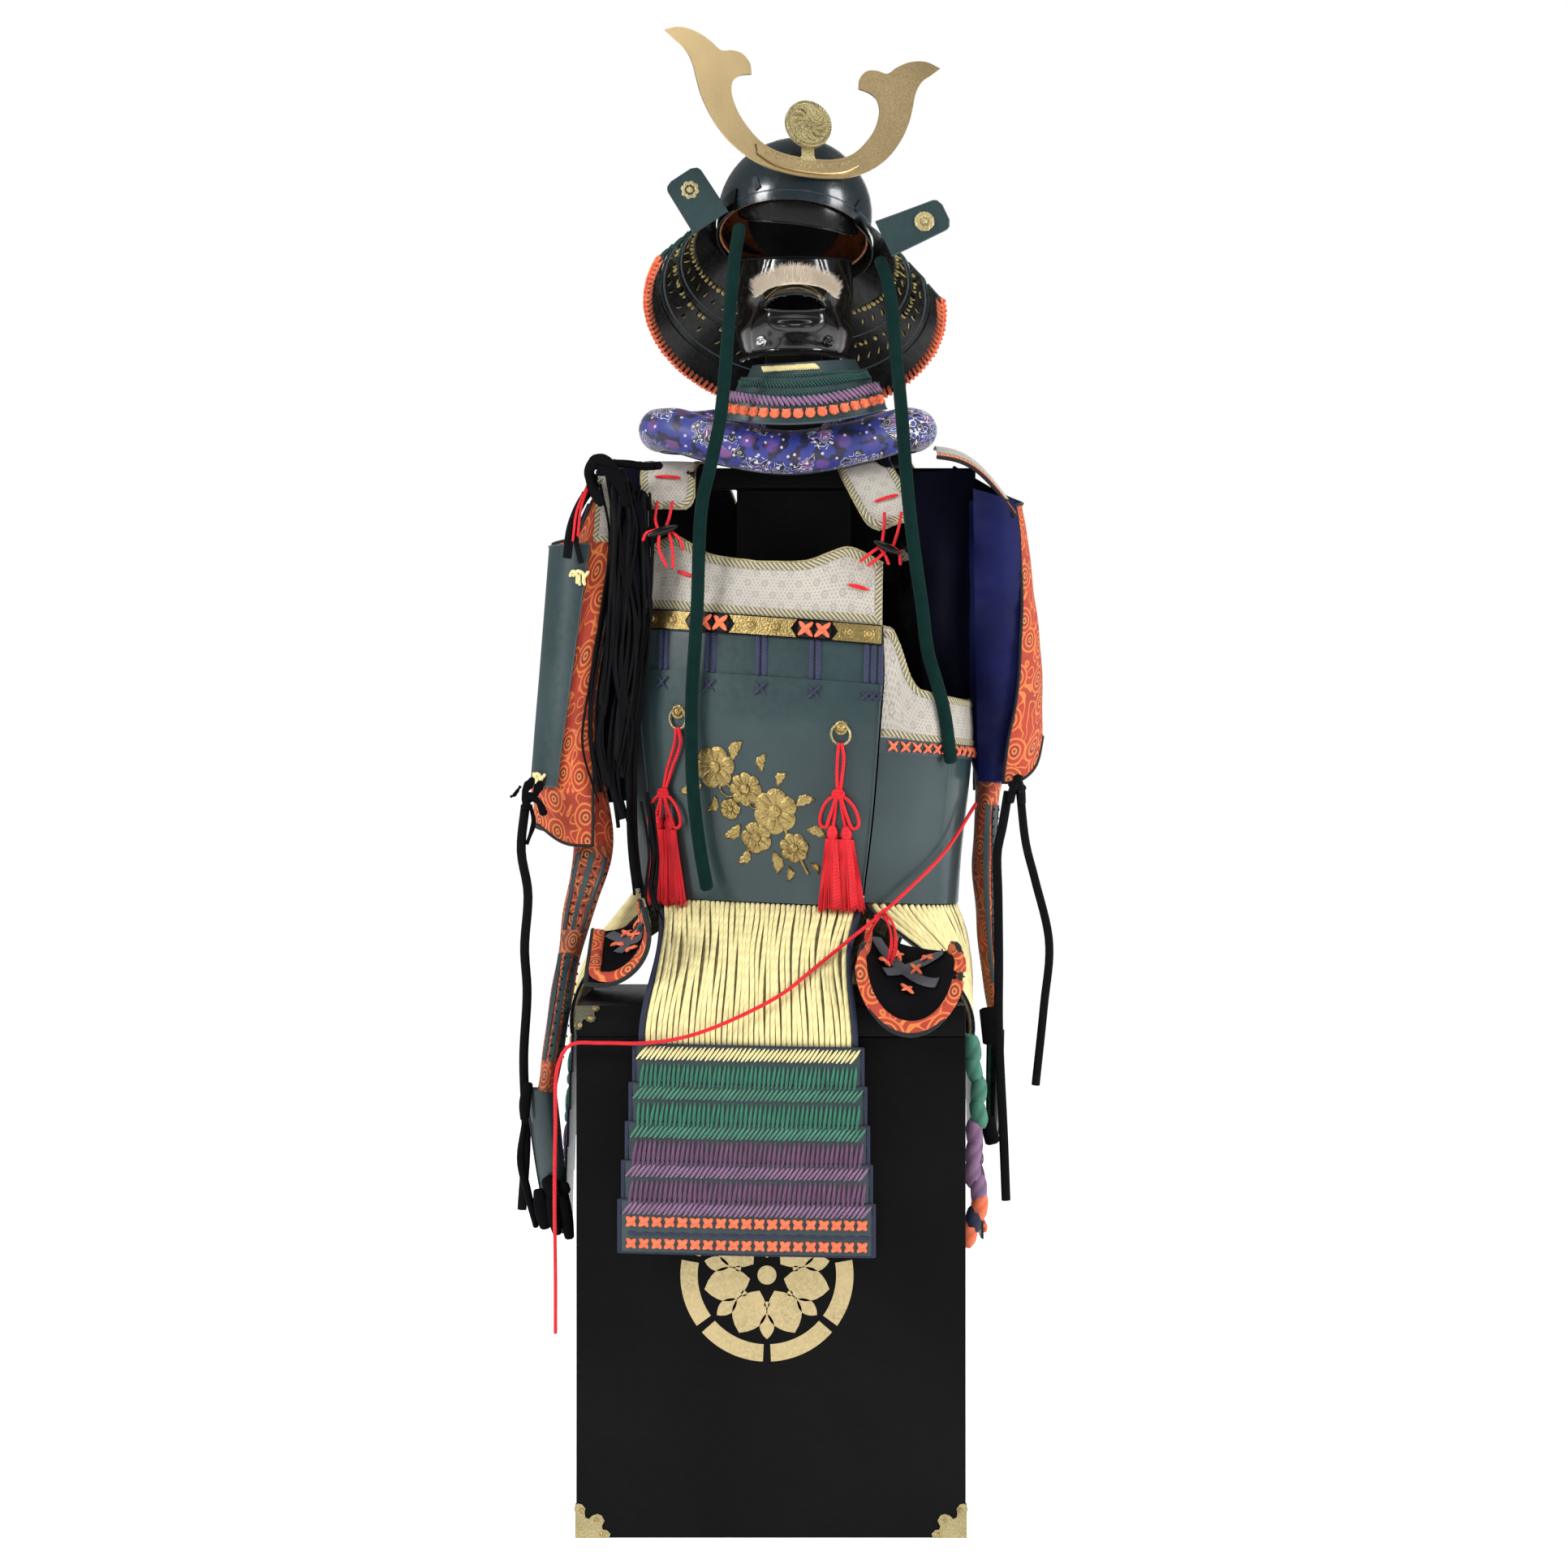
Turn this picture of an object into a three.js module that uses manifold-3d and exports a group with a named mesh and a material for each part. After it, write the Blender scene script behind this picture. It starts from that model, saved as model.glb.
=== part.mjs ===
// Samurai armour on its display stand, on the lid of its armour chest. Millimetres.
// Origin: middle of the chest's underside. X runs to the viewer's right, Y to the back, Z up.
// "left" and "right" in the names are the viewer's, seen from the front.
import * as THREE from "three";
import Module from "manifold-3d";

const wasm = await Module();
wasm.setup();

// ---------------------------------------------------------------- driving sizes
const CHEST = { wide: 450, deep: 430, high: 615, lid: 36, board: 12 };
const GAP = 0.3;
const SHEET = 2;
const FACE = -CHEST.deep / 2;
const SIDE = CHEST.wide / 2;

// The body armour stands askew: turned to the left, its right side hanging lower.
const BODY = { x: 18.5, turn: -17, power: 2.6, left: 0.96, right: 1.06 };
const BODY_TILT = [[730, 0.035], [900, 0.06], [1060, 0.085], [1200, 0.085]];
const BODY_WIDE = [[730, 200], [800, 204], [900, 214], [960, 217], [1060, 205], [1150, 188], [1200, 178]];
const BODY_DEEP = [[730, 122], [800, 128], [900, 137], [960, 140], [1060, 134], [1150, 120], [1200, 112]];
const FRONT_HALF = [[730, 125], [860, 142], [1000, 153], [1066, 150], [1170, 146]];
const HEM = 730;
const CHEST_SEAM = 996;
const BAND = { top: 1067, bottom: 1043 };
const NECKLINE = [[0, 1131], [60, 1136], [92, 1150], [108, 1156], [125, 1152], [150, 1140]];
const ARMHOLE = [[0, 1052], [0.05, 1044], [0.1, 990], [0.17, 968], [0.7, 966], [0.85, 1000], [1, 1090]];

// Skirt panels. Rows of the front one: how far left and right each plate reaches.
const LAMES = { count: 5, pitch: 47.6, tall: 49.4, step: 2.2, thick: 2.6 };
const FRONT_SKIRT = { top: 569.5, y: -231, left: -157, right: 105, moreLeft: 4.2, moreRight: 3.2, tilt: 0.02 };
const SIDE_SKIRT = { top: 572.5, out: 236, step: 2.6, front: { left: -70, right: -120 }, back: 94 };

// Helmet: its place and its turns, in degrees.
const HELMET = { x: 29, y: 8, z: 1562, yaw: 6, roll: 7, pitch: -16, wide: 95, deep: 113, high: 93 };
const NECK_GUARD = { x: 28, y: 8, lames: 4, step: 5, from: -36, to: 216, less: 5 };
const GUARD_RING = { wide: [97.2, 181], deep: [117, 185], z: [1542, 1446], pitch: [16, 29], roll: [0.12, 0.05] };
const HORNS = { at: [43, -101, 1607], across: [0.93, 0.34, -0.06], up: [0.0, 0.45, 0.87], tall: 1.16, thick: 2 };

// ---------------------------------------------------------------- small tools
const V = (x, y, z) => new THREE.Vector3(x, y, z);
const rad = (degrees) => (degrees * Math.PI) / 180;
const mix = (a, b, t) => a + (b - a) * t;
const clamp = (t) => Math.min(1, Math.max(0, t));
const group = new THREE.Group();

/** The value at t of a table of [t, value] rows, on a smooth line through them. */
function read(table, t) {
  const last = table.length - 1;
  let i = 0;
  while (i < last - 1 && t > table[i + 1][0]) i++;
  const slope = (k) => {
    const a = table[Math.max(0, k - 1)];
    const b = table[Math.min(last, k + 1)];
    return (b[1] - a[1]) / (b[0] - a[0]);
  };
  const [t0, p0] = table[i];
  const [t1, p1] = table[i + 1];
  const h = t1 - t0;
  const s = clamp((t - t0) / h);
  const a = 2 * s ** 3 - 3 * s ** 2 + 1;
  const b = s ** 3 - 2 * s ** 2 + s;
  const c = -2 * s ** 3 + 3 * s ** 2;
  const d = s ** 3 - s ** 2;
  return a * p0 + b * h * slope(i) + c * p1 + d * h * slope(i + 1);
}

/** A mesh from points and triangles, with its outside facing out. */
function closed(points, triangles) {
  let volume = 0;
  for (const [a, b, c] of triangles) {
    volume += points[a].dot(V(0, 0, 0).crossVectors(points[b], points[c])) / 6;
  }
  const turned = volume < 0 ? triangles.map(([a, b, c]) => [a, c, b]) : triangles;
  const geometry = new THREE.BufferGeometry();
  geometry.setAttribute("position", new THREE.Float32BufferAttribute(points.flatMap((p) => [p.x, p.y, p.z]), 3));
  geometry.setIndex(turned.flat());
  return geometry;
}

const steps = (n) => Array.from({ length: n + 1 }, (_, i) => i / n);

/** A panel: face(u, v) is its outer side, u runs anticlockwise seen from above and v down. */
function wall(face, across, down, thick, ring = false) {
  const us = ring ? steps(across).slice(0, -1) : steps(across);
  const vs = steps(down);
  const n = us.length;
  const e = 1e-3;
  const outer = [];
  const inner = [];
  for (const v of vs) {
    for (const u of us) {
      const p = face(u, v);
      const high = ring ? u + e : Math.min(1, u + e);
      const low = ring ? u - e : Math.max(0, u - e);
      const du = face(high, v).sub(face(low, v));
      const dv = face(u, Math.min(1, v + e)).sub(face(u, Math.max(0, v - e)));
      outer.push(p);
      inner.push(p.clone().addScaledVector(dv.cross(du).normalize(), -thick));
    }
  }
  const points = [...outer, ...inner];
  const back = outer.length;
  const at = (i, j) => j * n + (i % n);
  const wide = ring ? n : n - 1;
  const faces = [];
  for (let j = 0; j < vs.length - 1; j++) {
    for (let i = 0; i < wide; i++) {
      const [a, b, c, d] = [at(i, j), at(i + 1, j), at(i + 1, j + 1), at(i, j + 1)];
      faces.push([a, d, b], [b, d, c], [a + back, b + back, d + back], [b + back, c + back, d + back]);
    }
  }
  for (let i = 0; i < wide; i++) {
    const [a, b] = [at(i, 0), at(i + 1, 0)];
    const [c, d] = [at(i, vs.length - 1), at(i + 1, vs.length - 1)];
    faces.push([a, b, a + back], [b, b + back, a + back], [c, c + back, d], [d, c + back, d + back]);
  }
  for (let j = 0; j < vs.length - 1 && !ring; j++) {
    const [a, d] = [at(0, j), at(0, j + 1)];
    const [b, c] = [at(n - 1, j), at(n - 1, j + 1)];
    faces.push([a, a + back, d], [d, a + back, d + back], [b, c, b + back], [c, c + back, b + back]);
  }
  return closed(points, faces);
}

/** Rings along a smooth line: size(t) is the half width and half depth, side the way the width points. */
function rings(points, size, sides, count, side, loop) {
  const curve = new THREE.CatmullRomCurve3(points.map((p) => V(...p)), loop, "centripetal");
  const found = [];
  let carried = null;
  for (const t of steps(count)) {
    if (loop && t === 1) break;
    const p = curve.getPointAt(t);
    const along = curve.getTangentAt(t);
    const wanted = side ? V(...side) : carried || V(0.3, 0.2, 1).cross(along);
    const s = wanted.clone().addScaledVector(along, -wanted.dot(along)).normalize();
    const f = s.clone().cross(along);
    carried = s;
    const [wide, deep] = size(t);
    const ring = [];
    for (let k = 0; k < sides; k++) {
      const a = (k / sides) * 2 * Math.PI;
      ring.push(p.clone().addScaledVector(s, wide * Math.cos(a)).addScaledVector(f, deep * Math.sin(a)));
    }
    found.push({ p, ring });
  }
  return found;
}

/** A solid tube, cord or roll along a line. */
function sweep(points, size, sides, count, side = null, loop = false) {
  const all = rings(points, size, sides, count, side, loop);
  const places = all.flatMap((r) => r.ring);
  const faces = [];
  const n = all.length;
  for (let j = 0; j < (loop ? n : n - 1); j++) {
    for (let k = 0; k < sides; k++) {
      const next = ((j + 1) % n) * sides;
      const [a, b] = [j * sides + k, j * sides + ((k + 1) % sides)];
      const [c, d] = [next + ((k + 1) % sides), next + k];
      faces.push([a, b, c], [a, c, d]);
    }
  }
  if (!loop) {
    const [first, last] = [places.length, places.length + 1];
    places.push(all[0].p, all[n - 1].p);
    for (let k = 0; k < sides; k++) {
      const m = (k + 1) % sides;
      faces.push([first, m, k], [last, (n - 1) * sides + k, (n - 1) * sides + m]);
    }
  }
  return closed(places, faces);
}

/** A cloth tube with open ends. */
function pipe(points, size, thick, sides, count, side) {
  const outer = rings(points, size, sides, count, side, false);
  const inner = rings(points, (t) => size(t).map((s) => s - thick), sides, count, side, false);
  const places = [...outer, ...inner].flatMap((r) => r.ring);
  const back = outer.length * sides;
  const end = (outer.length - 1) * sides;
  const faces = [];
  for (let k = 0; k < sides; k++) {
    const m = (k + 1) % sides;
    for (let j = 0; j < outer.length - 1; j++) {
      const [a, b, c, d] = [j * sides + k, j * sides + m, (j + 1) * sides + m, (j + 1) * sides + k];
      faces.push([a, b, c], [a, c, d], [a + back, c + back, b + back], [a + back, d + back, c + back]);
    }
    faces.push([k, back + k, m], [m, back + k, back + m]);
    faces.push([end + k, end + m, back + end + k], [end + m, back + end + m, back + end + k]);
  }
  return closed(places, faces);
}

/** A flat plate from an outline of [across, up] points, thick along their normal. */
function plate(outline, thick, at, across, up) {
  const shape = new THREE.Shape(outline.map(([x, y]) => new THREE.Vector2(x, y)));
  const geometry = new THREE.ExtrudeGeometry(shape, { depth: thick, bevelEnabled: false, curveSegments: 6 });
  const x = V(...across).normalize();
  const y = V(...up).normalize();
  const z = x.clone().cross(y).normalize();
  geometry.translate(0, 0, -thick / 2);
  geometry.applyMatrix4(new THREE.Matrix4().makeBasis(x, y, z).setPosition(...at));
  return geometry;
}

function box(x0, x1, y0, y1, z0, z1) {
  const geometry = new THREE.BoxGeometry(x1 - x0, y1 - y0, z1 - z0);
  geometry.translate((x0 + x1) / 2, (y0 + y1) / 2, (z0 + z1) / 2);
  return geometry;
}

/** A solid for cutting. */
function solid(geometry) {
  const position = geometry.getAttribute("position");
  const found = new Map();
  const places = [];
  const numbers = [];
  for (let i = 0; i < position.count; i++) {
    const p = [position.getX(i), position.getY(i), position.getZ(i)];
    const key = p.map((x) => x.toFixed(4)).join();
    if (!found.has(key)) {
      found.set(key, places.length / 3);
      places.push(...p);
    }
    numbers.push(found.get(key));
  }
  const index = geometry.index ? Array.from(geometry.index.array, (i) => numbers[i]) : numbers;
  const mesh = { numProp: 3, vertProperties: new Float32Array(places), triVerts: new Uint32Array(index) };
  return new wasm.Manifold(new wasm.Mesh(mesh));
}

/** The first solid without the others. */
const cut = (from, ...away) => drawn(away.reduce((body, other) => body.subtract(solid(other)), solid(from)));

/** All the solids as one. */
const join = (...all) => drawn(all.slice(1).reduce((body, other) => body.add(solid(other)), solid(all[0])));

function drawn(body) {
  const mesh = body.getMesh();
  const geometry = new THREE.BufferGeometry();
  geometry.setAttribute("position", new THREE.Float32BufferAttribute(Array.from(mesh.vertProperties), 3));
  geometry.setIndex(Array.from(mesh.triVerts));
  return geometry;
}

const COLOURS = {
  green: 0x2f4845, black: 0x151515, wood: 0x101010, gold: 0xb39a4c, leather: 0xd9d3c8, orange: 0xd9481c,
  navy: 0x1a2260, blue: 0x3a45b8, cream: 0xe6dcae, red: 0xc3122a, velvet: 0x0e3a33, white: 0xe8e2d4,
};

function add(name, colour, geometry) {
  const mesh = new THREE.Mesh(geometry, new THREE.MeshStandardMaterial({ color: COLOURS[colour] }));
  mesh.name = name;
  group.add(mesh);
}

const even = (wide, deep) => () => [wide, deep];
const sized = (table) => {
  const wide = table.map(([t, a]) => [t, a]);
  const deep = table.map(([t, , b]) => [t, b]);
  return (t) => [read(wide, t), read(deep, t)];
};

// ---------------------------------------------------------------- chest
const seam = CHEST.high - CHEST.lid;
const inX = SIDE - CHEST.board;
const inY = -FACE - CHEST.board;
add("chest_body", "wood", cut(
  box(-SIDE, SIDE, FACE, -FACE, 0, seam - GAP),
  box(-inX, inX, -inY, inY, CHEST.board, seam + 20),
));
add("chest_lid", "wood", cut(
  box(-SIDE, SIDE, FACE, -FACE, seam, CHEST.high),
  box(-inX, inX, -inY, inY, seam - 20, CHEST.high - CHEST.board),
));

// ---------------------------------------------------------------- stand
const STAND = { x: 27, post: 70, neck: 35, foot: 55, y: 38, thick: 22, bar: 25 };
const BAR = { left: -214, right: 247, top: 1257, bottom: 1232 };
const HEAD = { x: 29, y: 16, z: 1566, wide: 60, deep: 70, high: 58 };
const footTop = CHEST.high + GAP + 18;
const postTop = HEAD.z - HEAD.high - GAP;
add("stand_frame", "wood", join(
  plate(
    [
      [-STAND.foot, footTop - 1], [STAND.foot, footTop - 1], [STAND.foot, 745], [STAND.post, 765],
      [STAND.post, 1236], [STAND.neck, 1262], [STAND.neck, postTop], [-STAND.neck, postTop],
      [-STAND.neck, 1262], [-STAND.post, 1236], [-STAND.post, 765], [-STAND.foot, 745],
    ],
    STAND.thick, [STAND.x, STAND.y + STAND.thick / 2, 0], [1, 0, 0], [0, 0, 1],
  ),
  box(STAND.x - 60, STAND.x + 60, -70, 120, CHEST.high + GAP, footTop),
  box(BAR.left, BAR.right, STAND.y + 1 - STAND.bar, STAND.y + 1, BAR.bottom, BAR.top),
));
const head = new THREE.SphereGeometry(1, 14, 9);
head.rotateX(Math.PI / 2);
head.scale(HEAD.wide, HEAD.deep, HEAD.high);
head.translate(HEAD.x, HEAD.y, HEAD.z);
add("stand_head", "wood", head);

// ---------------------------------------------------------------- body armour
const turn = rad(BODY.turn);
const signed = (c, power) => Math.sign(c) * Math.abs(c) ** power;

/** Half the body's width: the hinged right side stands out and the closing left side is drawn in. */
const bodyWide = (z, x) => read(BODY_WIDE, z) * (x < 0 ? BODY.left : BODY.right);

/** A point of the body's surface at an angle and a height, out millimetres further out. */
function body(angle, z, out) {
  const power = 2 / BODY.power;
  const x = (bodyWide(z, Math.cos(angle)) + out) * signed(Math.cos(angle), power);
  const y = (read(BODY_DEEP, z) + out) * signed(Math.sin(angle), power);
  const px = x * Math.cos(turn) - y * Math.sin(turn);
  const py = x * Math.sin(turn) + y * Math.cos(turn);
  return V(BODY.x + px, py, z - px * read(BODY_TILT, z));
}

/** The angle where the body's own sideways measure is x, on the front or the back. */
function angleAt(x, z, out, front = true) {
  const c = signed(x / (bodyWide(z, x) + out), BODY.power / 2);
  return (front ? -1 : 1) * Math.acos(Math.max(-1, Math.min(1, c)));
}

const front = (x, z, out) => body(angleAt(x, z, out), z, out);
const half = (z) => read(FRONT_HALF, z);

add("front_plate", "green", wall((u, v) => {
  const z = mix(CHEST_SEAM, HEM, v);
  return front(mix(-half(z), half(z), u), z, 0);
}, 14, 4, SHEET));
add("front_upper_lame", "green", wall((u, v) => {
  const z = mix(BAND.top - 1, CHEST_SEAM - 10, v);
  return front(mix(-half(z), half(z), u), z, -2.6);
}, 14, 1, SHEET));
add("chest_leather", "leather", wall((u, v) => {
  const x = mix(-1, 1, u);
  const z = mix(read(NECKLINE, Math.abs(x) * 148), BAND.top - 1 + GAP, v);
  return front(x * half(z), z, -2.6);
}, 20, 2, SHEET));
add("gilt_band", "gold", wall((u, v) => {
  const z = mix(BAND.top, BAND.bottom, v);
  return front(mix(-half(z), half(z), u), z, 0.6);
}, 14, 1, 2.2));

/** One side of the body between the front and the back plates. */
function flank(right, top, bottom, out) {
  return (u, v) => {
    const along = right ? u : 1 - u;
    const z = mix(top(along), bottom, v);
    const x = (half(Math.min(z, 1160)) + 1) * (right ? 1 : -1);
    const a = angleAt(x, z, out);
    const b = angleAt(x, z, out, false);
    return right ? body(mix(a, b, u), z, out) : body(mix(b, a + 2 * Math.PI, u), z, out);
  };
}
for (const [name, right] of [["left", false], ["right", true]]) {
  add(`side_plate_${name}`, "green", wall(flank(right, () => 906, 735, -3), 10, 2, SHEET));
  add(`side_leather_${name}`, "leather", wall(flank(right, (t) => read(ARMHOLE, t), 906 + GAP, -3), 20, 2, SHEET));
}
const rear = (top, bottom) => (u, v) => {
  const z = mix(top(u), bottom, v);
  const x = half(Math.min(z, 1160));
  return body(mix(angleAt(x, z, 0, false), angleAt(-x, z, 0, false), u), z, 0);
};
add("back_plate", "green", wall(rear((u) => 1168 - 26 * Math.sin(Math.PI * u), 735), 12, 5, SHEET));

const STRAPS = {
  left: [[-60, 144, 1118], [-62, 140, 1170], [-85, 88, 1238], [-112, 25, 1262], [-124, -44, 1250], [-123, -78, 1200]],
  right: [[190, 86, 1108], [187, 84, 1160], [150, 72, 1246], [122, 28, 1270], [110, -40, 1259], [128, -92, 1216], [147, -116, 1178]],
};
const strapSide = { left: [1, 0.1, 0], right: [0.97, 0.12, 0.12] };
const strapSize = sized([[0, 24, 2], [0.1, 29, 2], [0.9, 32, 2], [1, 24, 2]]);
for (const name of ["left", "right"]) {
  add(`strap_${name}`, "leather", sweep(STRAPS[name], strapSize, 8, 16, strapSide[name]));
}

// Red tassels on their rings: height above, half width and half depth, and how far off the plate.
const TASSELS = {
  left: { x: -108, drift: -16, ring: 946 },
  right: { x: 93, drift: 6, ring: 934 },
};
const TASSEL = [
  [0, 3, 3], [0.28, 3.5, 3.5], [0.33, 9, 6], [0.37, 26, 6], [0.48, 28, 6], [0.54, 12, 8], [0.6, 15, 9], [0.8, 24, 10], [1, 29, 10],
];
for (const [name, t] of Object.entries(TASSELS)) {
  const line = [0, 0.2, 0.4, 0.6, 0.8, 1].map((s) => {
    const z = mix(t.ring - 6, HEM + 4, s);
    return front(t.x + t.drift * Math.min(1, s * 2), z, 14).toArray();
  });
  add(`tassel_${name}`, "red", sweep(line, sized(TASSEL), 6, 16, [0.96, -0.25, 0]));
}

// ---------------------------------------------------------------- skirt
/** Laced panel from the body's hem to the top of its first plate, bulging clear of the lid's edge. */
function lacing(top, low, bulge, foot) {
  return (u, v) => {
    const a = top(u);
    const d = V(...low(u));
    const b = a.clone().add(V(...bulge(u)));
    const c = d.clone().add(V(...foot));
    const w = 1 - v;
    return a.multiplyScalar(w ** 3).addScaledVector(b, 3 * w * w * v)
      .addScaledVector(c, 3 * w * v * v).addScaledVector(d, v ** 3);
  };
}
const frontTop = (u) => front(mix(-123, 118, u), HEM - 1.2, -1);
const frontLow = (u) => [
  mix(-146, 94, u), -229 - 3 * Math.sin(Math.PI * u),
  FRONT_SKIRT.top + 0.8 - (mix(-146, 94, u) + 28) * FRONT_SKIRT.tilt,
];
const waist = (face) => (u, v) => {
  const p = face(u, v);
  const pinch = 1 - 0.08 * Math.sin(Math.PI * v) ** 2;
  return V(-29 + (p.x + 29) * pinch, p.y, p.z);
};
add("front_skirt_lacing", "cream", wall(
  waist(lacing(frontTop, frontLow, () => [0, -34, -26], [0, -16, 82])), 10, 7, 5,
));
const frontPlate = (i) => wall((u, v) => {
  const x = mix(FRONT_SKIRT.left - i * FRONT_SKIRT.moreLeft, FRONT_SKIRT.right + i * FRONT_SKIRT.moreRight, u);
  const z = FRONT_SKIRT.top - i * LAMES.pitch - v * LAMES.tall - (x + 28) * FRONT_SKIRT.tilt;
  return V(x, FRONT_SKIRT.y - i * LAMES.step - 5 * Math.sin(Math.PI * u), z);
}, 8, 1, LAMES.thick);
add("front_skirt_plates", "green", join(...[0, 1, 2, 3, 4].map(frontPlate)));

/** The stepped section of a hanging stack of plates: [out, height] points. */
function stack(top, out, step) {
  const outer = [];
  for (let i = 0; i < LAMES.count; i++) {
    const z = top - i * LAMES.pitch;
    outer.push([out + i * step, z], [out + i * step + 3, z - LAMES.pitch + 0.6]);
  }
  const inner = outer.map(([x, z]) => [x - 2.6, z]).reverse();
  return [...outer, ...inner];
}
for (const [name, sign] of [["left", -1], ["right", 1]]) {
  const right = sign > 0;
  const top = (u) => {
    const z = 733;
    const x = 132 * sign;
    const a = angleAt(x, z, -4);
    const b = angleAt(x, z, -4, false);
    return right ? body(mix(a, b, u), z, -4) : body(mix(b, a + 2 * Math.PI, u), z, -4);
  };
  const near = SIDE_SKIRT.front[name];
  const low = (u) => {
    const y = right ? mix(near, SIDE_SKIRT.back, u) : mix(SIDE_SKIRT.back, near, u);
    return [sign * (SIDE_SKIRT.out + 4), y, SIDE_SKIRT.top + GAP];
  };
  const face = lacing(top, low, () => (right ? [10, 0, -24] : [-24, 0, -34]), right ? [12, 0, 80] : [-12, 0, 79]);
  add(`side_skirt_lacing_${name}`, "cream", wall(face, 9, 5, 5));
  add(`side_skirt_plates_${name}`, "green", plate(
    stack(SIDE_SKIRT.top, SIDE_SKIRT.out + 1, SIDE_SKIRT.step), SIDE_SKIRT.back - near,
    [0, (near + SIDE_SKIRT.back) / 2, 0], [sign, 0, 0], [0, 0, 1],
  ));
}
const backTop = (u) => {
  const x = mix(128, -128, u);
  return body(angleAt(x, 733, -4, false), 733, -4);
};
add("back_skirt_lacing", "cream", wall(
  lacing(backTop, (u) => [mix(140, -110, u), 232, SIDE_SKIRT.top + GAP], () => [0, 28, -24], [0, 16, 80]), 9, 5, 5,
));
add("back_skirt_plates", "green", plate(
  stack(SIDE_SKIRT.top, 229, SIDE_SKIRT.step), 270, [15, 0, 0], [0, 1, 0], [0, 0, 1],
));

// ---------------------------------------------------------------- helmet
const helmet = new THREE.Matrix4().makeTranslation(HELMET.x, HELMET.y, HELMET.z)
  .multiply(new THREE.Matrix4().makeRotationZ(rad(HELMET.yaw)))
  .multiply(new THREE.Matrix4().makeRotationY(rad(HELMET.roll)))
  .multiply(new THREE.Matrix4().makeRotationX(rad(HELMET.pitch)));
add("helmet_bowl", "green", wall((u, v) => {
  const a = u * 2 * Math.PI;
  const rise = rad(mix(84, -18, v));
  const r = Math.cos(rise);
  const p = V(HELMET.wide * r * Math.cos(a), HELMET.deep * r * Math.sin(a), HELMET.high * Math.sin(rise));
  return p.applyMatrix4(helmet);
}, 22, 5, 2.5, true));

/** A point of the neck guard: t is 0 at the bowl and 1 at the rim. */
function guard(angle, t, more) {
  const of = (pair) => mix(pair[0], pair[1], t);
  const x = (of(GUARD_RING.wide) + more) * Math.cos(angle);
  const y = (of(GUARD_RING.deep) + more) * Math.sin(angle);
  const z = of(GUARD_RING.z) - y * Math.tan(rad(of(GUARD_RING.pitch))) - x * of(GUARD_RING.roll);
  return V(NECK_GUARD.x + x, NECK_GUARD.y + y, z);
}
for (let i = 0; i < NECK_GUARD.lames; i++) {
  const t0 = i / NECK_GUARD.lames;
  const t1 = (i + 1) / NECK_GUARD.lames + (i < NECK_GUARD.lames - 1 ? 0.05 : 0);
  add(`neck_guard_${i + 1}`, i ? "black" : "green", wall((u, v) => {
    const back = i ? 9 : 0;
    const angle = rad(mix(NECK_GUARD.from + back + i * NECK_GUARD.less, NECK_GUARD.to - back, u));
    return guard(angle, mix(t0, t1, v), NECK_GUARD.step * (1 - v) * (i ? 1 : 0));
  }, 22, 1, SHEET));
}

// The turned-back ends: where each starts, which way it runs and which way is up.
const TURN_BACKS = {
  left: { at: [-72, -78, 1541], along: [-0.52, 0.15, 0.84], up: [0.9, -0.1, 0.4], long: 68, start: 48, end: 46 },
  right: { at: [134, -78, 1522], along: [0.9, 0.2, 0.4], up: [-0.55, 0.05, 0.83], long: 82, start: 46, end: 38 },
};
for (const [name, t] of Object.entries(TURN_BACKS)) {
  const outline = [
    [0, -t.start / 2], [t.long - 8, -t.end / 2], [t.long - 2, -t.end / 2 + 2], [t.long, -t.end / 2 + 8],
    [t.long, t.end / 2 - 8], [t.long - 2, t.end / 2 - 2], [t.long - 8, t.end / 2], [0, t.start / 2],
  ];
  add(`turn_back_${name}`, "green", plate(outline, SHEET, t.at, t.along, t.up));
}

// Half of the horns: [across, up], up the inner edge to the tip and down the outer edge.
const HORN = [
  [0, 7], [32, 10], [56, 19], [75, 37], [89, 59], [95, 82], [92, 95], [84, 102], [69, 106], [71, 120], [81, 131],
  [94, 133], [107, 131], [120, 141], [139, 151], [160, 154], [178, 148], [166, 138], [153, 127], [144, 111],
  [139, 91], [133, 70], [121, 45], [103, 21], [79, 2], [52, -10], [22, -15], [0, -16],
];
const across = V(...HORNS.across).normalize();
const up = V(...HORNS.up).addScaledVector(across, -V(...HORNS.up).dot(across) * 0.2).normalize();
const sheared = (outline, thick, ahead) => {
  const geometry = plate(outline, thick, [0, 0, 0], [1, 0, 0], [0, 0, 1]);
  const away = up.clone().cross(across).normalize();
  const m = new THREE.Matrix4().makeBasis(across, away, up.clone().multiplyScalar(HORNS.tall)).setPosition(...HORNS.at);
  geometry.translate(0, -ahead, 0);
  geometry.applyMatrix4(m);
  return geometry;
};
const otherHorn = HORN.map(([x, y]) => [-x, y]).reverse();
add("horns", "gold", sheared([...HORN, ...otherHorn], HORNS.thick, 0));
const CRESCENT = [
  [-66, 18], [-44, 9], [-20, 4], [0, 3], [20, 4], [44, 9], [66, 18], [64, 4], [46, -6], [22, -11], [0, -12],
  [-22, -11], [-46, -6], [-64, 4],
];
add("horn_base", "gold", sheared(CRESCENT, 2.4, HORNS.thick / 2 + 1.2 + GAP));
const DISC = { up: 47, r: 29 };
const round = Array.from({ length: 20 }, (_, i) => {
  const a = (i / 20) * 2 * Math.PI;
  return [DISC.r * Math.cos(a), DISC.up + DISC.r * Math.sin(a)];
});
add("crest_disc", "gold", sheared(round, 6, 6));

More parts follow.
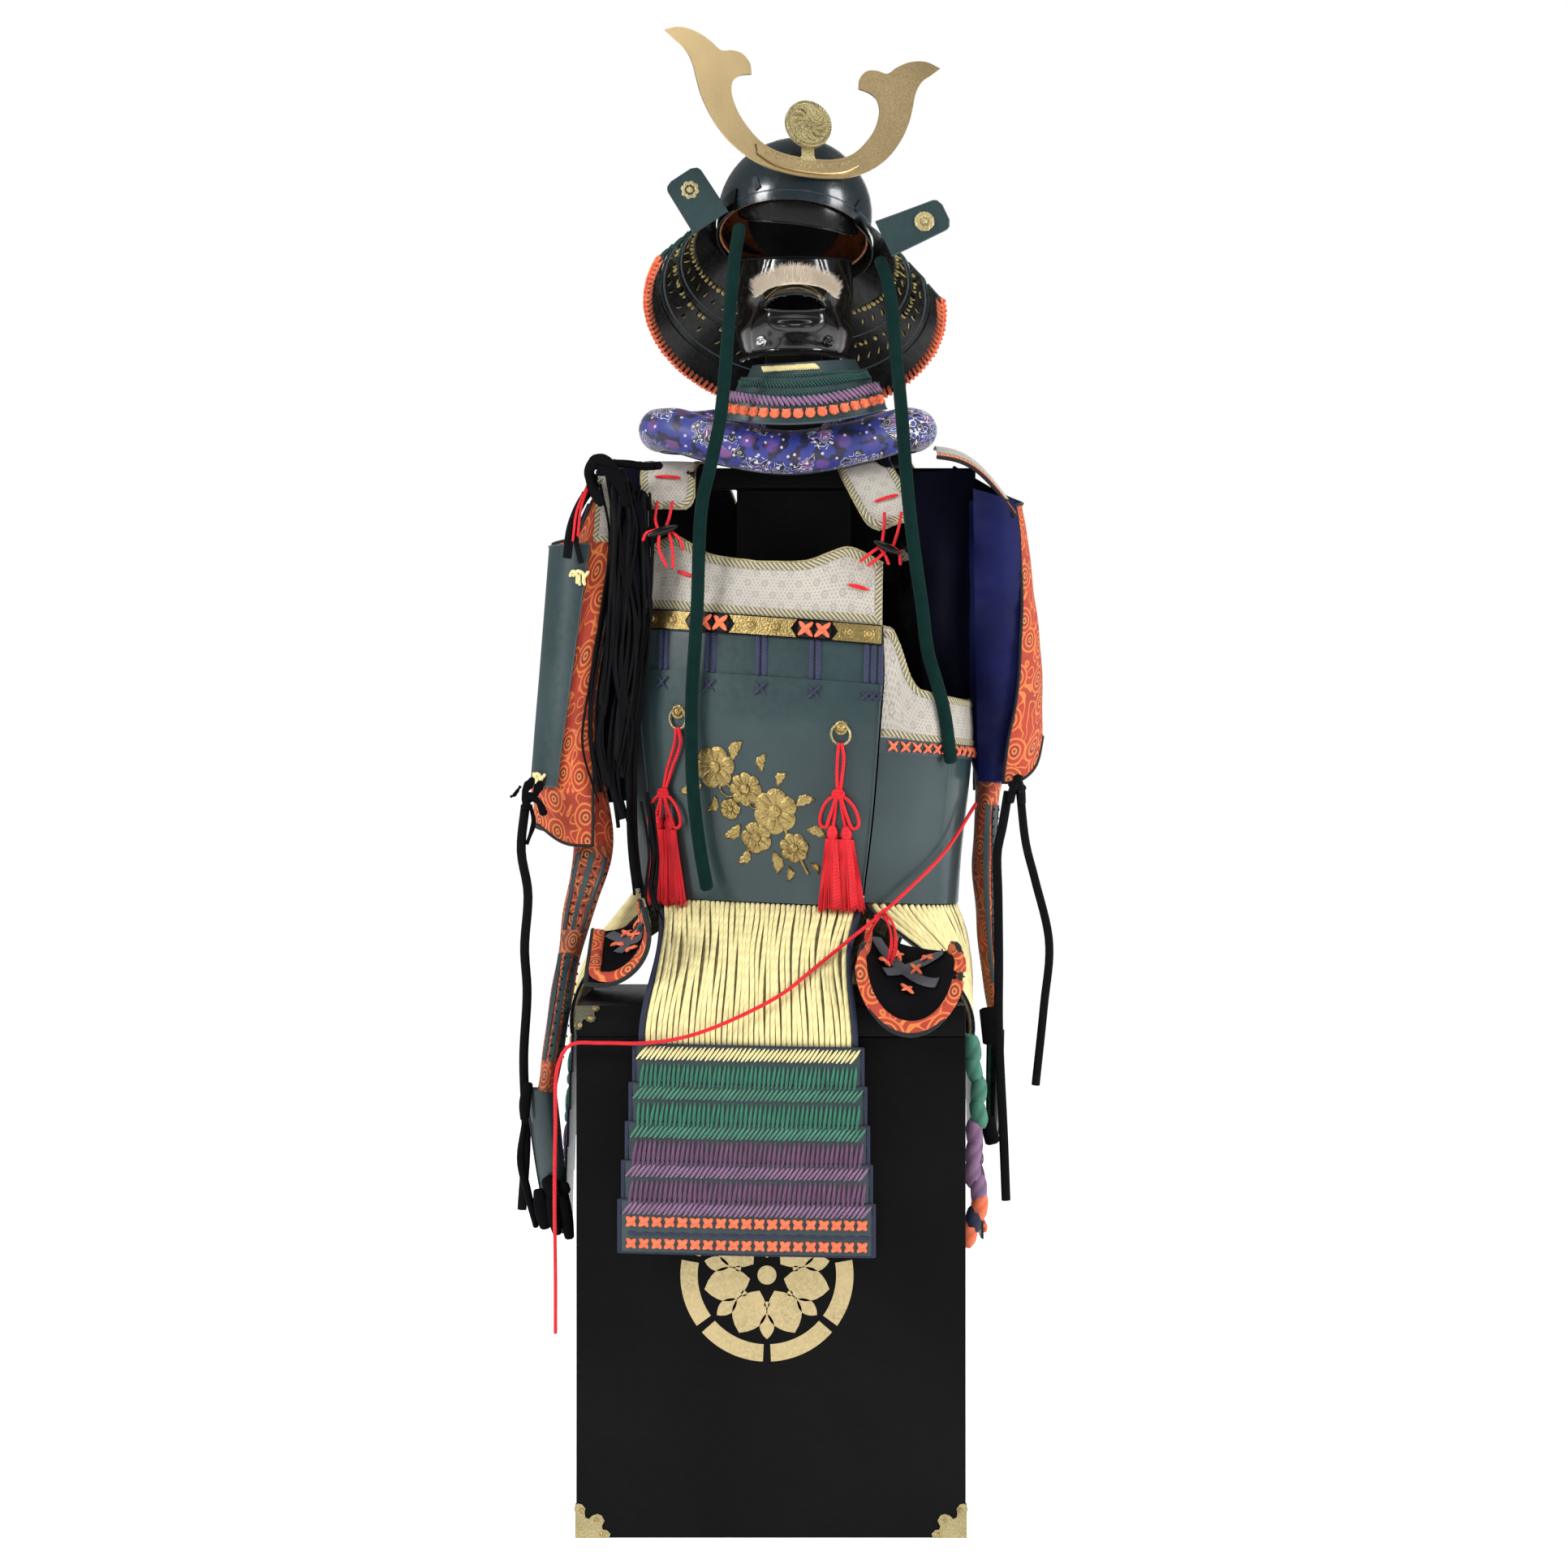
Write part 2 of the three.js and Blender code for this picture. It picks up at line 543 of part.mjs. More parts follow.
// ---------------------------------------------------------------- face mask and throat guard
const MASK = { x: 28, y: -8, wide: 70, deep: 88 };
const MASK_OUT = [[1384, 0.93], [1390, 0.86], [1402, 0.93], [1418, 1.0], [1440, 0.95], [1462, 0.99], [1498, 0.97]];
add("face_mask", "black", cut(
  wall((u, v) => {
    const z = mix(1498, 1384, v);
    const a = rad(mix(-88, 88, u));
    const out = read(MASK_OUT, z);
    const cheek = 18 * Math.abs(Math.sin(a)) ** 3 * (1 - v);
    return V(MASK.x + MASK.wide * out * Math.sin(a), MASK.y - MASK.deep * out * Math.cos(a), z + cheek * 0.4);
  }, 14, 6, 2.2),
  box(MASK.x - 24, MASK.x + 24, -140, -40, 1434, 1452),
));
add("moustache", "white", sweep(
  [[-25, -80, 1466], [-4, -98, 1477], [28, -107, 1482], [60, -98, 1476], [82, -79, 1465]],
  sized([[0, 8, 3], [0.2, 12, 4], [0.5, 13, 4], [0.8, 12, 4], [1, 8, 3]]), 8, 10, [0, 0, 1],
));
const THROAT = { x: 39, y: -30, tilt: 0.06 };
const THROAT_LAMES = [
  { top: 1374, bottom: 1352, a: 62, b: 72, rise: 4 }, { top: 1354, bottom: 1328, a: 76, b: 86, rise: 12 },
  { top: 1330, bottom: 1297, a: 90, b: 99, rise: 22 },
];
THROAT_LAMES.forEach((lame, i) => {
  add(`throat_guard_${i + 1}`, "green", wall((u, v) => {
    const a = rad(mix(-62, 62, u));
    const r = mix(lame.a, lame.b, v);
    const x = 1.13 * r * Math.sin(a);
    const z = mix(lame.top, lame.bottom, v) + lame.rise * Math.sin(a) ** 2 + x * THROAT.tilt;
    return V(THROAT.x + x, THROAT.y - 0.95 * r * Math.cos(a), z);
  }, 12, 1, SHEET));
});

// ---------------------------------------------------------------- neck roll
const ROLL = { x: 20, y: 15, wide: 156, deep: 86 };
const rollLine = Array.from({ length: 12 }, (_, i) => {
  const a = (i / 12) * 2 * Math.PI;
  const s = Math.sin(a);
  return [ROLL.x + ROLL.wide * Math.cos(a), ROLL.y + ROLL.deep * s, 1303 + (s < 0 ? 35 : 12) * s ** 3];
});
add("neck_roll", "blue", sweep(rollLine, even(27, 27), 8, 22, [0, 0, 1], true));

// ---------------------------------------------------------------- shoulder guards
const GUARDS = {
  left: { x: -236, y: -35, r: 51, from: 120, to: 295, plate: [168, 266], flare: 0.15 },
  right: { x: 268, y: -20, r: 60, from: -58, to: 109, plate: [12, 92], flare: 0 },
};
const GUARD_LEAN = { left: [[0, 28], [0.2, 22], [0.5, 12], [0.8, 2], [1, 0]], right: [[0, 0], [1, 0]] };
const GUARD_TOP = {
  left: [[0, 1175], [0.4, 1180], [0.75, 1205], [1, 1232]],
  right: [[0, 1206], [0.3, 1212], [0.7, 1205], [1, 1215]],
};
const GUARD_LOW = {
  left: [[0, 812], [0.5, 822], [0.8, 800], [1, 797]],
  right: [[0, 868], [0.35, 905], [0.7, 880], [1, 864]],
};
for (const [name, g] of Object.entries(GUARDS)) {
  const at = (angle, z, more) => {
    const s = (1230 - z) / 430;
    const x = g.x + read(GUARD_LEAN[name], s);
    const flare = 1 + g.flare * Math.max(0, s - 0.75);
    return V(x + (g.r * flare + more) * Math.cos(angle), g.y + (g.r * flare + more) * Math.sin(angle), z);
  };
  add(`shoulder_cloth_${name}`, "orange", wall((u, v) => {
    const angle = rad(mix(g.from, g.to, u));
    return at(angle, mix(read(GUARD_TOP[name], u), read(GUARD_LOW[name], u), v), 0);
  }, 12, 4, SHEET));
  add(`shoulder_plate_${name}`, "green", wall((u, v) => {
    const end = g.plate[1] - (g.flare ? 18 * v : 0);
    return at(rad(mix(g.plate[0], end, u)), mix(1157, 868, v), 4.5);
  }, 8, 4, SHEET));
}

// The shoulder piece over the right end of the crossbar, and the dark cloth that hangs at the armholes.
const CAP = { inner: [199, 1284], outer: [292, 1214], front: -66, back: 50, rise: 19 };
add("shoulder_cap", "leather", wall((u, v) => {
  const x = mix(CAP.inner[0], CAP.outer[0], u);
  const z = mix(CAP.inner[1], CAP.outer[1], u) + CAP.rise * Math.sin(Math.PI * u) - 20 * v ** 3;
  return V(x, mix(CAP.back, CAP.front, v), z);
}, 6, 4, SHEET));
const HANGINGS = {
  left: { x: [-206, -160], low: [-200, -168], y: -4, top: 1252, bottom: 1010 },
  right: { x: [176, 246], low: [190, 244], y: -4, top: 1252, bottom: 1052 },
};
for (const [name, h] of Object.entries(HANGINGS)) {
  add(`arm_cloth_${name}`, "navy", wall((u, v) => {
    const x = mix(mix(h.x[0], h.low[0], v), mix(h.x[1], h.low[1], v), u);
    return V(x, h.y - 6 * Math.cos(u * 3 * Math.PI) * v, mix(h.top, h.bottom, v));
  }, 9, 3, 1.5));
}

// ---------------------------------------------------------------- sleeves and hand guards
const SLEEVES = {
  left: {
    line: [[-228, -30, 1205], [-238, -32, 1050], [-232, -34, 900], [-214, -52, 800], [-234, -104, 700], [-249, -136, 607], [-262, -142, 520]],
    size: sized([[0, 28, 32], [0.25, 27, 32], [0.45, 25, 28], [0.6, 24, 22], [0.75, 15, 20], [1, 12, 24]]),
  },
  right: {
    line: [[266, -12, 1190], [270, -14, 1050], [269, -14, 930], [260, -12, 862], [258, -12, 759], [264, -12, 660], [272, -12, 580]],
    size: sized([[0, 18, 30], [0.5, 17, 28], [0.7, 15, 26], [1, 8, 24]]),
  },
};
for (const [name, s] of Object.entries(SLEEVES)) {
  add(`sleeve_${name}`, "orange", pipe(s.line, s.size, 1.5, 10, 8, [1, 0, 0]));
}
const HANDS = {
  left: { top: [-271, 514], low: [-252, 358], y: -158, wide: 17, deep: 12 },
  right: { top: [271, 573], low: [268, 448], y: -34, wide: 9, deep: 30 },
};
for (const [name, h] of Object.entries(HANDS)) {
  add(`hand_guard_${name}`, name === "left" ? "green" : "black", wall((u, v) => {
    const a = rad(mix(-80, 80, u));
    const taper = 1 - 0.35 * v ** 3;
    const x = mix(h.top[0], h.low[0], v) + h.wide * taper * Math.sin(a);
    return V(x, h.y + 12 - h.deep * taper * Math.cos(a), mix(h.top[1], h.low[1], v));
  }, 8, 4, SHEET));
}

// ---------------------------------------------------------------- shin guards on the lid
const SHINS = {
  left: { x: -198, r: 60, from: -16, to: 112, line: [[-214, 632], [-206, 642], [-172, 660], [-118, 690]], flat: 0.5, rise: 1 },
  right: { x: 160, r: 62, from: -84, to: 84, line: [[-238, 578], [-230, 612], [-186, 646], [-134, 682]], flat: 0.3, rise: 1.45 },
};
for (const [name, s] of Object.entries(SHINS)) {
  const line = new THREE.CatmullRomCurve3(s.line.map(([y, z]) => V(0, y, z)), false, "centripetal");
  add(`shin_guard_${name}`, "orange", wall((u, v) => {
    const p = line.getPoint(1 - v);
    const a = rad(mix(s.to, s.from, 1 - u));
    const low = s.rise * mix(s.flat, 1, clamp((v - 0.3) / 0.6));
    return V(s.x + s.r * mix(0.8, 1, v) * Math.sin(a), p.y, p.z + s.r * (1 - Math.cos(a)) * low + 4);
  }, 10, 6, -4));
}

// ---------------------------------------------------------------- cords
const CORDS = {
  chin_cord_left: {
    colour: "velvet", size: even(6.5, 4), side: [1, 0, 0], count: 26,
    points: [
      [-38, -74, 1538], [-44, -92, 1494], [-51, -112, 1410], [-60, -124, 1305], [-72, -126, 1246], [-82, -124, 1202],
      [-88, -122, 1071], [-94, -122, 972], [-94, -122, 898], [-92, -120, 857], [-84, -118, 791], [-76, -124, 748],
    ],
  },
  chin_cord_right: {
    colour: "velvet", size: even(6.5, 4), side: [1, 0, 0], count: 22,
    points: [
      [130, -62, 1500], [140, -74, 1467], [148, -90, 1387], [154, -112, 1315], [160, -128, 1227], [166, -146, 1161],
      [178, -146, 1074], [184, -142, 1028], [203, -134, 961], [212, -128, 898],
    ],
  },
  waist_cord: {
    colour: "red", size: even(2.2, 2.2), side: null, sides: 6, count: 44,
    points: [
      [245, -62, 847], [204, -118, 789], [156, -158, 743], [131, -170, 721], [91, -192, 690], [50, -214, 658],
      [9, -232, 627], [-72, -242, 589], [-115, -240, 577], [-153, -236, 573], [-196, -230, 573], [-232, -224, 570],
      [-246, -220, 545], [-249, -216, 470], [-250, -215, 390], [-249, -215, 300], [-249, -215, 237],
    ],
  },
  tie_left: {
    colour: "black", size: even(5.5, 1.2), side: [1, 0, 0], sides: 6, count: 22,
    points: [
      [-292, -104, 846], [-297, -104, 792], [-289, -104, 742], [-293, -104, 676], [-290, -104, 625], [-294, -104, 546],
      [-291, -106, 448], [-296, -106, 366],
    ],
  },
  tie_right_outer: {
    colour: "black", size: even(5, 1.2), side: [1, 0, 0], sides: 6, count: 16,
    points: [[296, -92, 862], [303, -92, 800], [314, -90, 757], [331, -88, 682], [325, -86, 607], [315, -86, 512]],
  },
  tie_right_inner: {
    colour: "black", size: even(5.5, 1.2), side: [1, 0, 0], sides: 6, count: 20,
    points: [
      [282, -92, 862], [275, -92, 820], [269, -90, 790], [270, -88, 741], [271, -86, 660], [271, -84, 580], [277, -82, 451],
      [280, -82, 374],
    ],
  },
};
for (const [name, c] of Object.entries(CORDS)) {
  add(name, c.colour, sweep(c.points, c.size, c.sides || 8, c.count, c.side));
}

export default group;
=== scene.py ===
"""Samurai armour on its display stand, on the lid of its armour chest.

Sizes are in millimetres and meshes in metres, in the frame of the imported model: X to the viewer's
right, Y to the back, Z up, from the middle of the chest's underside. "left" and "right" are the
viewer's, seen from the front.
"""
import math
import random

import bmesh
import bpy
from mathutils import Matrix, Vector


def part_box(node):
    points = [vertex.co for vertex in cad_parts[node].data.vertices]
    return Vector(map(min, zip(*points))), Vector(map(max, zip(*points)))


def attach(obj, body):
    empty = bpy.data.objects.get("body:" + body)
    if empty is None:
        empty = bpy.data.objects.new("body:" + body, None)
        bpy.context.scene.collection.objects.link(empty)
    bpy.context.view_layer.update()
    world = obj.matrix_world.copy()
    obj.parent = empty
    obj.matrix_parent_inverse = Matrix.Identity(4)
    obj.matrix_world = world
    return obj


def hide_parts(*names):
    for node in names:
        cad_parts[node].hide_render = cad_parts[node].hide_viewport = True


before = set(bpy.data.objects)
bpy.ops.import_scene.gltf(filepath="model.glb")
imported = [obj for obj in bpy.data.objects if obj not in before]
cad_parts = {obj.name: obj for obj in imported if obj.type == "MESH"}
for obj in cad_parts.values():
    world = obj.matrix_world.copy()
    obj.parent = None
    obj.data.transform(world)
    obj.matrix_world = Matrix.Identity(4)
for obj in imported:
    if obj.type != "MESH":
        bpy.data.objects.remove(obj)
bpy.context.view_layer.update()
MM = 0.001
LUCK = random.Random(7)

# ---------------------------------------------------------------- driving sizes
CHEST = {"wide": 450, "deep": 430, "high": 615, "lid": 36}
CHEST_FRONT = -CHEST["deep"] / 2
CHEST_SIDE = CHEST["wide"] / 2
SHEET = 2

# The body armour: its place, its turn in degrees and how square its section is.
BODY = {"x": 18.5, "turn": -17, "power": 2.6, "left": 0.96, "right": 1.06}
BODY_TILT = [(730, 0.035), (900, 0.06), (1060, 0.085), (1200, 0.085)]
BODY_WIDE = [(730, 200), (800, 204), (900, 214), (960, 217), (1060, 205), (1150, 188), (1200, 178)]
BODY_DEEP = [(730, 122), (800, 128), (900, 137), (960, 140), (1060, 134), (1150, 120), (1200, 112)]
FRONT_HALF = [(730, 125), (860, 142), (1000, 153), (1066, 150), (1170, 146)]
HEM = 730
CHEST_SEAM = 996
BAND_TOP = 1067
BAND_LOW = 1043
SIDE_SEAM = 932
NECKLINE = [(0, 1131), (60, 1136), (92, 1150), (108, 1156), (125, 1152), (150, 1140)]
ARMHOLE = [(0, 1066), (0.05, 1060), (0.1, 1014), (0.17, 993), (0.7, 991), (0.85, 1016), (1, 1092)]

# Skirt plates: how many, their pitch and height, how far each stands out from the one above.
LAMES = {"count": 5, "pitch": 47.6, "tall": 49.4, "step": 2.2, "thick": 2.6}
FRONT_SKIRT = {
    "top": 569.5, "y": -231, "left": -157, "right": 105, "more_left": 4.2, "more_right": 3.2, "tilt": 0.02
}
SIDE_SKIRT = {"top": 572.5, "out": 236, "step": 2.6, "front": {"left": -70, "right": -120}, "back": 94}

HELMET = {"at": (29, 8, 1562), "yaw": 6, "roll": 7, "pitch": -16, "wide": 95, "deep": 113, "high": 93}
NECK_GUARD = {"x": 28, "y": 8, "lames": 4, "step": 5, "from": -36, "to": 216, "less": 5}
GUARD_RING = {
    "wide": (97.2, 181), "deep": (117, 185), "z": (1542, 1446), "pitch": (16, 29), "roll": (0.12, 0.05)
}
HORNS = {
    "at": (43, -101, 1607), "across": (0.93, 0.34, -0.06), "up": (0.0, 0.45, 0.87), "tall": 1.16,
    "thick": 2,
}
DISC = {"up": 47, "r": 29}


# ---------------------------------------------------------------- small tools
def V(x, y, z):
    return Vector((x, y, z))


def rad(degrees):
    return degrees * math.pi / 180


def mix(a, b, t):
    return a + (b - a) * t


def clamp(t):
    return min(1, max(0, t))


def steps(n):
    return [i / n for i in range(n + 1)]


def around(count):
    """Evenly spaced angles of a full turn."""
    return [2 * math.pi * k / count for k in range(count)]


def read(table, t):
    """The value at t of a table of (t, value) rows, on a smooth line through them."""
    last = len(table) - 1
    i = 0
    while i < last - 1 and t > table[i + 1][0]:
        i += 1

    def slope(k):
        a, b = table[max(0, k - 1)], table[min(last, k + 1)]
        return (b[1] - a[1]) / (b[0] - a[0])

    (t0, p0), (t1, p1) = table[i][:2], table[i + 1][:2]
    h = t1 - t0
    s = clamp((t - t0) / h)
    a = 2 * s**3 - 3 * s**2 + 1
    b = s**3 - 2 * s**2 + s
    c = -2 * s**3 + 3 * s**2
    d = s**3 - s**2
    return a * p0 + b * h * slope(i) + c * p1 + d * h * slope(i + 1)


def sized(table):
    """Half width and half depth along a line, from (t, width, depth) rows."""
    wide = [(t, a) for t, a, _ in table]
    deep = [(t, b) for t, _, b in table]
    return lambda t: (read(wide, t), read(deep, t))


def even(wide, deep=None):
    return lambda t: (wide, wide if deep is None else deep)


def smooth_line(points, count, loop=False):
    """count + 1 evenly spaced points on a smooth line through the points."""
    pts = [Vector(p) for p in points]
    n = len(pts)
    fine = []
    for s in range(n if loop else n - 1):
        before = pts[s - 1] if loop or s > 0 else 2 * pts[0] - pts[1]
        p1, p2 = pts[s], pts[(s + 1) % n]
        after = pts[(s + 2) % n] if loop or s + 2 < n else 2 * pts[-1] - pts[-2]
        gaps = [max((b - a).length, 1e-6) ** 0.5 for a, b in ((before, p1), (p1, p2), (p2, after))]
        d0, d1, d2 = gaps
        m1 = ((p1 - before) / d0 - (p2 - before) / (d0 + d1) + (p2 - p1) / d1) * d1
        m2 = ((p2 - p1) / d1 - (after - p1) / (d1 + d2) + (after - p2) / d2) * d1
        for k in range(12):
            t = k / 12
            fine.append(
                (2 * t**3 - 3 * t**2 + 1) * p1 + (t**3 - 2 * t**2 + t) * m1
                + (-2 * t**3 + 3 * t**2) * p2 + (t**3 - t**2) * m2
            )
    fine.append(pts[0].copy() if loop else pts[-1].copy())
    reach = [0.0]
    for a, b in zip(fine, fine[1:]):
        reach.append(reach[-1] + (b - a).length)
    found = []
    k = 0
    for t in steps(count):
        want = t * reach[-1]
        while k < len(fine) - 2 and reach[k + 1] < want:
            k += 1
        span = max(reach[k + 1] - reach[k], 1e-9)
        found.append(fine[k].lerp(fine[k + 1], clamp((want - reach[k]) / span)))
    return found[:-1] if loop else found


def border(face, down, across, closed=False):
    """Points along a panel's sides and foot, and along its top if closed."""
    line = [face(0, v) for v in steps(down)] + [face(u, 1) for u in steps(across)][1:-1]
    line += [face(1, v) for v in reversed(steps(down))]
    return line + [face(u, 0) for u in reversed(steps(across))][1:-1] if closed else line


def line_length(points):
    return sum((b - a).length for a, b in zip(points, points[1:]))


def frame_of(face, u, v):
    """A point of a surface with its direction across, its direction down and its outward normal."""
    e = 2e-3
    p = face(u, v)
    du = (face(min(1, u + e), v) - face(max(0, u - e), v)).normalized()
    dv = (face(u, min(1, v + e)) - face(u, max(0, v - e))).normalized()
    n = dv.cross(du).normalized()
    return p, du, dv, n


class Heap:
    """The faces of one piece, gathered stroke by stroke."""

    def __init__(self):
        self.points, self.faces, self.uvs, self.marks = [], [], [], []

    def grid(self, rows, mark=0, wrap=False, loop=False, flip=False):
        """Faces between rows of points. wrap closes each row and loop joins the last row to the first."""
        start, wide, tall = len(self.points), len(rows[0]), len(rows)
        self.points.extend(p for row in rows for p in row)
        middle = rows[tall // 2]
        column = [row[wide // 2] for row in rows]
        us, vs = [0.0], [0.0]
        for i in range(wide):
            us.append(us[-1] + (middle[(i + 1) % wide] - middle[i]).length * MM)
        for j in range(tall):
            vs.append(vs[-1] + (column[(j + 1) % tall] - column[j]).length * MM)
        for j in range(tall if loop else tall - 1):
            for i in range(wide if wrap else wide - 1):
                m, k = (i + 1) % wide, (j + 1) % tall
                u0, u1, v0, v1 = us[i], us[i + 1], vs[j], vs[j + 1]
                corners = [(j, i, u0, v0), (j, m, u1, v0), (k, m, u1, v1), (k, i, u0, v1)]
                if flip:
                    corners.reverse()
                self.faces.append([start + a * wide + b for a, b, _, _ in corners])
                self.uvs.append([(u, v) for _, _, u, v in corners])
                self.marks.append(mark)
        return self

    def fan(self, ring, mark=0, flip=False):
        start = len(self.points)
        self.points.extend(ring)
        order = list(range(start, start + len(ring)))
        if flip:
            order.reverse()
        self.faces.append(order)
        self.uvs.append([(self.points[i].x * MM, self.points[i].z * MM) for i in order])
        self.marks.append(mark)

    def solid(self, rows, mark=0):
        """Rows of closed rings, with a face over the first ring and the last."""
        self.grid(rows, mark, wrap=True)
        self.fan(rows[0], mark, flip=True)
        self.fan(rows[-1], mark)
        return self

    def wall(self, face, across, down, thick, ring=False, marks=(0, 0, 0)):
        """A panel with a thickness: its outer side, its inner side and its edges each have a mark."""
        us = steps(across)[:-1] if ring else steps(across)
        outer, inner = [], []
        e = 1e-3
        for v in steps(down):
            row, back = [], []
            for u in us:
                p = face(u, v)
                high = u + e if ring else min(1, u + e)
                low = u - e if ring else max(0, u - e)
                du = face(high, v) - face(low, v)
                dv = face(u, min(1, v + e)) - face(u, max(0, v - e))
                row.append(p)
                back.append(p - dv.cross(du).normalized() * thick)
            outer.append(row)
            inner.append(back)
        self.grid(outer, marks[0], wrap=ring, flip=True)
        self.grid(inner, marks[1], wrap=ring)
        self.grid([outer[0], inner[0]], marks[2], wrap=ring)
        self.grid([outer[-1], inner[-1]], marks[2], wrap=ring, flip=True)
        if not ring:
            self.grid([[r[0] for r in outer], [r[0] for r in inner]], marks[2], flip=True)
            self.grid([[r[-1] for r in outer], [r[-1] for r in inner]], marks[2])
        return self

    def tube(self, line, size, sides=8, side=None, loop=False, mark=0, round_ends=True):
        """A tube along a line of points; size(t) is its half width and half depth."""
        n = len(line)
        carried = None
        rows = []
        for j, p in enumerate(line):
            ahead = line[(j + 1) % n] if loop else line[min(j + 1, n - 1)]
            behind = line[j - 1] if loop else line[max(j - 1, 0)]
            along = (ahead - behind).normalized()
            if callable(side):
                wanted = side(j)
            else:
                wanted = Vector(side) if side else carried or V(0.3, 0.2, 1).cross(along)
            s = (wanted - along * wanted.dot(along)).normalized()
            f = s.cross(along)
            carried = s
            wide, deep = size(j / max(1, n - 1))
            rows.append([p + s * (wide * math.cos(a)) + f * (deep * math.sin(a)) for a in around(sides)])
        if loop:
            return self.grid(rows, mark, wrap=True, loop=True)
        if round_ends:
            for end, inward in ((0, 1), (-1, -1)):
                centre = line[end]
                out = (line[end] - line[end + inward]).normalized() * min(size(0 if end == 0 else 1))
                small = [centre + (q - centre) * 0.6 + out * 0.6 for q in rows[end]]
                rows = [small] + rows if end == 0 else rows + [small]
        return self.solid(rows, mark)

    def slab(self, outline, thick, place):
        """A flat plate: place(x, y, h) turns outline points and heights into points."""
        top = [place(x, y, thick) for x, y in outline]
        low = [place(x, y, 0) for x, y in outline]
        self.fan(top)
        self.fan(low, flip=True)
        return self.grid([low, top], wrap=True)


PIECES = []


def made(name, heap, finishes, sharp=40, replaces=()):
    """The finished piece: seams closed, faces outwards, attached to the root and hiding the parts it
    replaces.
    """
    mesh = bpy.data.meshes.new(name)
    mesh.from_pydata([p * MM for p in heap.points], [], heap.faces)
    layer = mesh.uv_layers.new(name="UVMap")
    flat = [c for face in heap.uvs for uv in face for c in uv]
    layer.data.foreach_set("uv", flat)
    mesh.polygons.foreach_set("material_index", heap.marks)
    bm = bmesh.new()
    bm.from_mesh(mesh)
    bmesh.ops.remove_doubles(bm, verts=bm.verts, dist=2e-6)
    bmesh.ops.dissolve_degenerate(bm, edges=bm.edges, dist=1e-6)
    bmesh.ops.recalc_face_normals(bm, faces=bm.faces)
    bm.to_mesh(mesh)
    bm.free()
    mesh.shade_smooth()
    mesh.set_sharp_from_angle(angle=rad(sharp))
    return placed(name, mesh, finishes, replaces)


def placed(name, mesh, finishes, replaces=()):
    piece = bpy.data.objects.new(name, mesh)
    bpy.context.scene.collection.objects.link(piece)
    if finishes:
        if len(mesh.materials):
            mesh.materials.clear()
        for finish in finishes:
            mesh.materials.append(FINISH[finish])
    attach(piece, "root")
    if replaces:
        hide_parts(*replaces)
    PIECES.append(piece)
    return piece


# ---------------------------------------------------------------- finishes
FINISH = {}


class Nodes:
    """Short ways to add to a node tree."""

    def add(self, kind, inputs=None, **settings):
        return add_node(self.tree, kind, inputs, **settings)

    def math(self, operation, *values):
        return self.add("ShaderNodeMath", dict(enumerate(values)), operation=operation).outputs[0]

    def cells(self, vector, scale, uneven):
        inputs = {"Vector": vector, "Scale": scale, "Randomness": uneven}
        return self.add("ShaderNodeTexVoronoi", inputs, voronoi_dimensions="2D").outputs

    def step(self, value, low=0.0, high=1.0, a=0.0, b=1.0):
        return self.add("ShaderNodeMapRange", {0: value, 1: low, 2: high, 3: a, 4: b}).outputs[0]


class Look(Nodes):
    """A material's node tree."""

    def __init__(self, name, slot):
        self.material = bpy.data.materials.new(name)
        self.material.use_nodes = True
        self.tree = self.material.node_tree
        self.shader = self.tree.nodes["Principled BSDF"]
        self.coords = self.tree.nodes.new("ShaderNodeTexCoord")
        FINISH[name] = self.material

    def group(self, name, **inputs):
        node = self.tree.nodes.new("ShaderNodeGroup")
        node.node_tree = EFFECT[name]
        for key, value in inputs.items():
            plug(self.tree, value, node.inputs[key.replace("_", " ")])
        return node

    def set(self, **inputs):
        for key, value in inputs.items():
            plug(self.tree, value, self.shader.inputs[key.replace("_", " ")])

    def blend(self, a, b, share):
        node = self.add("ShaderNodeMix", data_type="RGBA")
        plug(self.tree, share, node.inputs[0])
        plug(self.tree, a, node.inputs[6])
        plug(self.tree, b, node.inputs[7])
        return node.outputs[2]

    def bump(self, height, strength, distance=0.001):
        node = self.add("ShaderNodeBump", {"Strength": strength, "Distance": distance, "Height": height})
        plug(self.tree, node.outputs[0], self.shader.inputs["Normal"])


def plug(tree, value, socket):
    if isinstance(value, bpy.types.NodeSocket):
        tree.links.new(value, socket)
    elif isinstance(value, (tuple, list)) and len(value) == 3 and len(socket.default_value) == 4:
        socket.default_value = (*value, 1)
    else:
        socket.default_value = value


def add_node(tree, kind, inputs=None, **settings):
    node = tree.nodes.new(kind)
    for key, value in settings.items():
        setattr(node, key, value)
    for key, value in (inputs or {}).items():
        plug(tree, value, node.inputs[key])
    return node


EFFECT = {}


class Effect(Nodes):
    """A shader node group that gives masks or heights from a vector and some numbers."""

    def __init__(self, name, gives, **takes):
        self.tree = bpy.data.node_groups.new(name, "ShaderNodeTree")
        new = self.tree.interface.new_socket
        new("Vector", in_out="INPUT", socket_type="NodeSocketVector")
        for label, value in takes.items():
            new(label, in_out="INPUT", socket_type="NodeSocketFloat").default_value = value
        for label in gives:
            new(label, in_out="OUTPUT", socket_type="NodeSocketFloat")
        self.taken = self.tree.nodes.new("NodeGroupInput").outputs
        self.given = self.tree.nodes.new("NodeGroupOutput").inputs
        EFFECT[name] = self.tree

    def noise(self, scale, detail):
        vector = self.taken["Vector"]
        return self.add("ShaderNodeTexNoise", {"Vector": vector, "Scale": scale, "Detail": detail}).outputs

    def give(self, **outputs):
        for key, value in outputs.items():
            plug(self.tree, value, self.given[key])


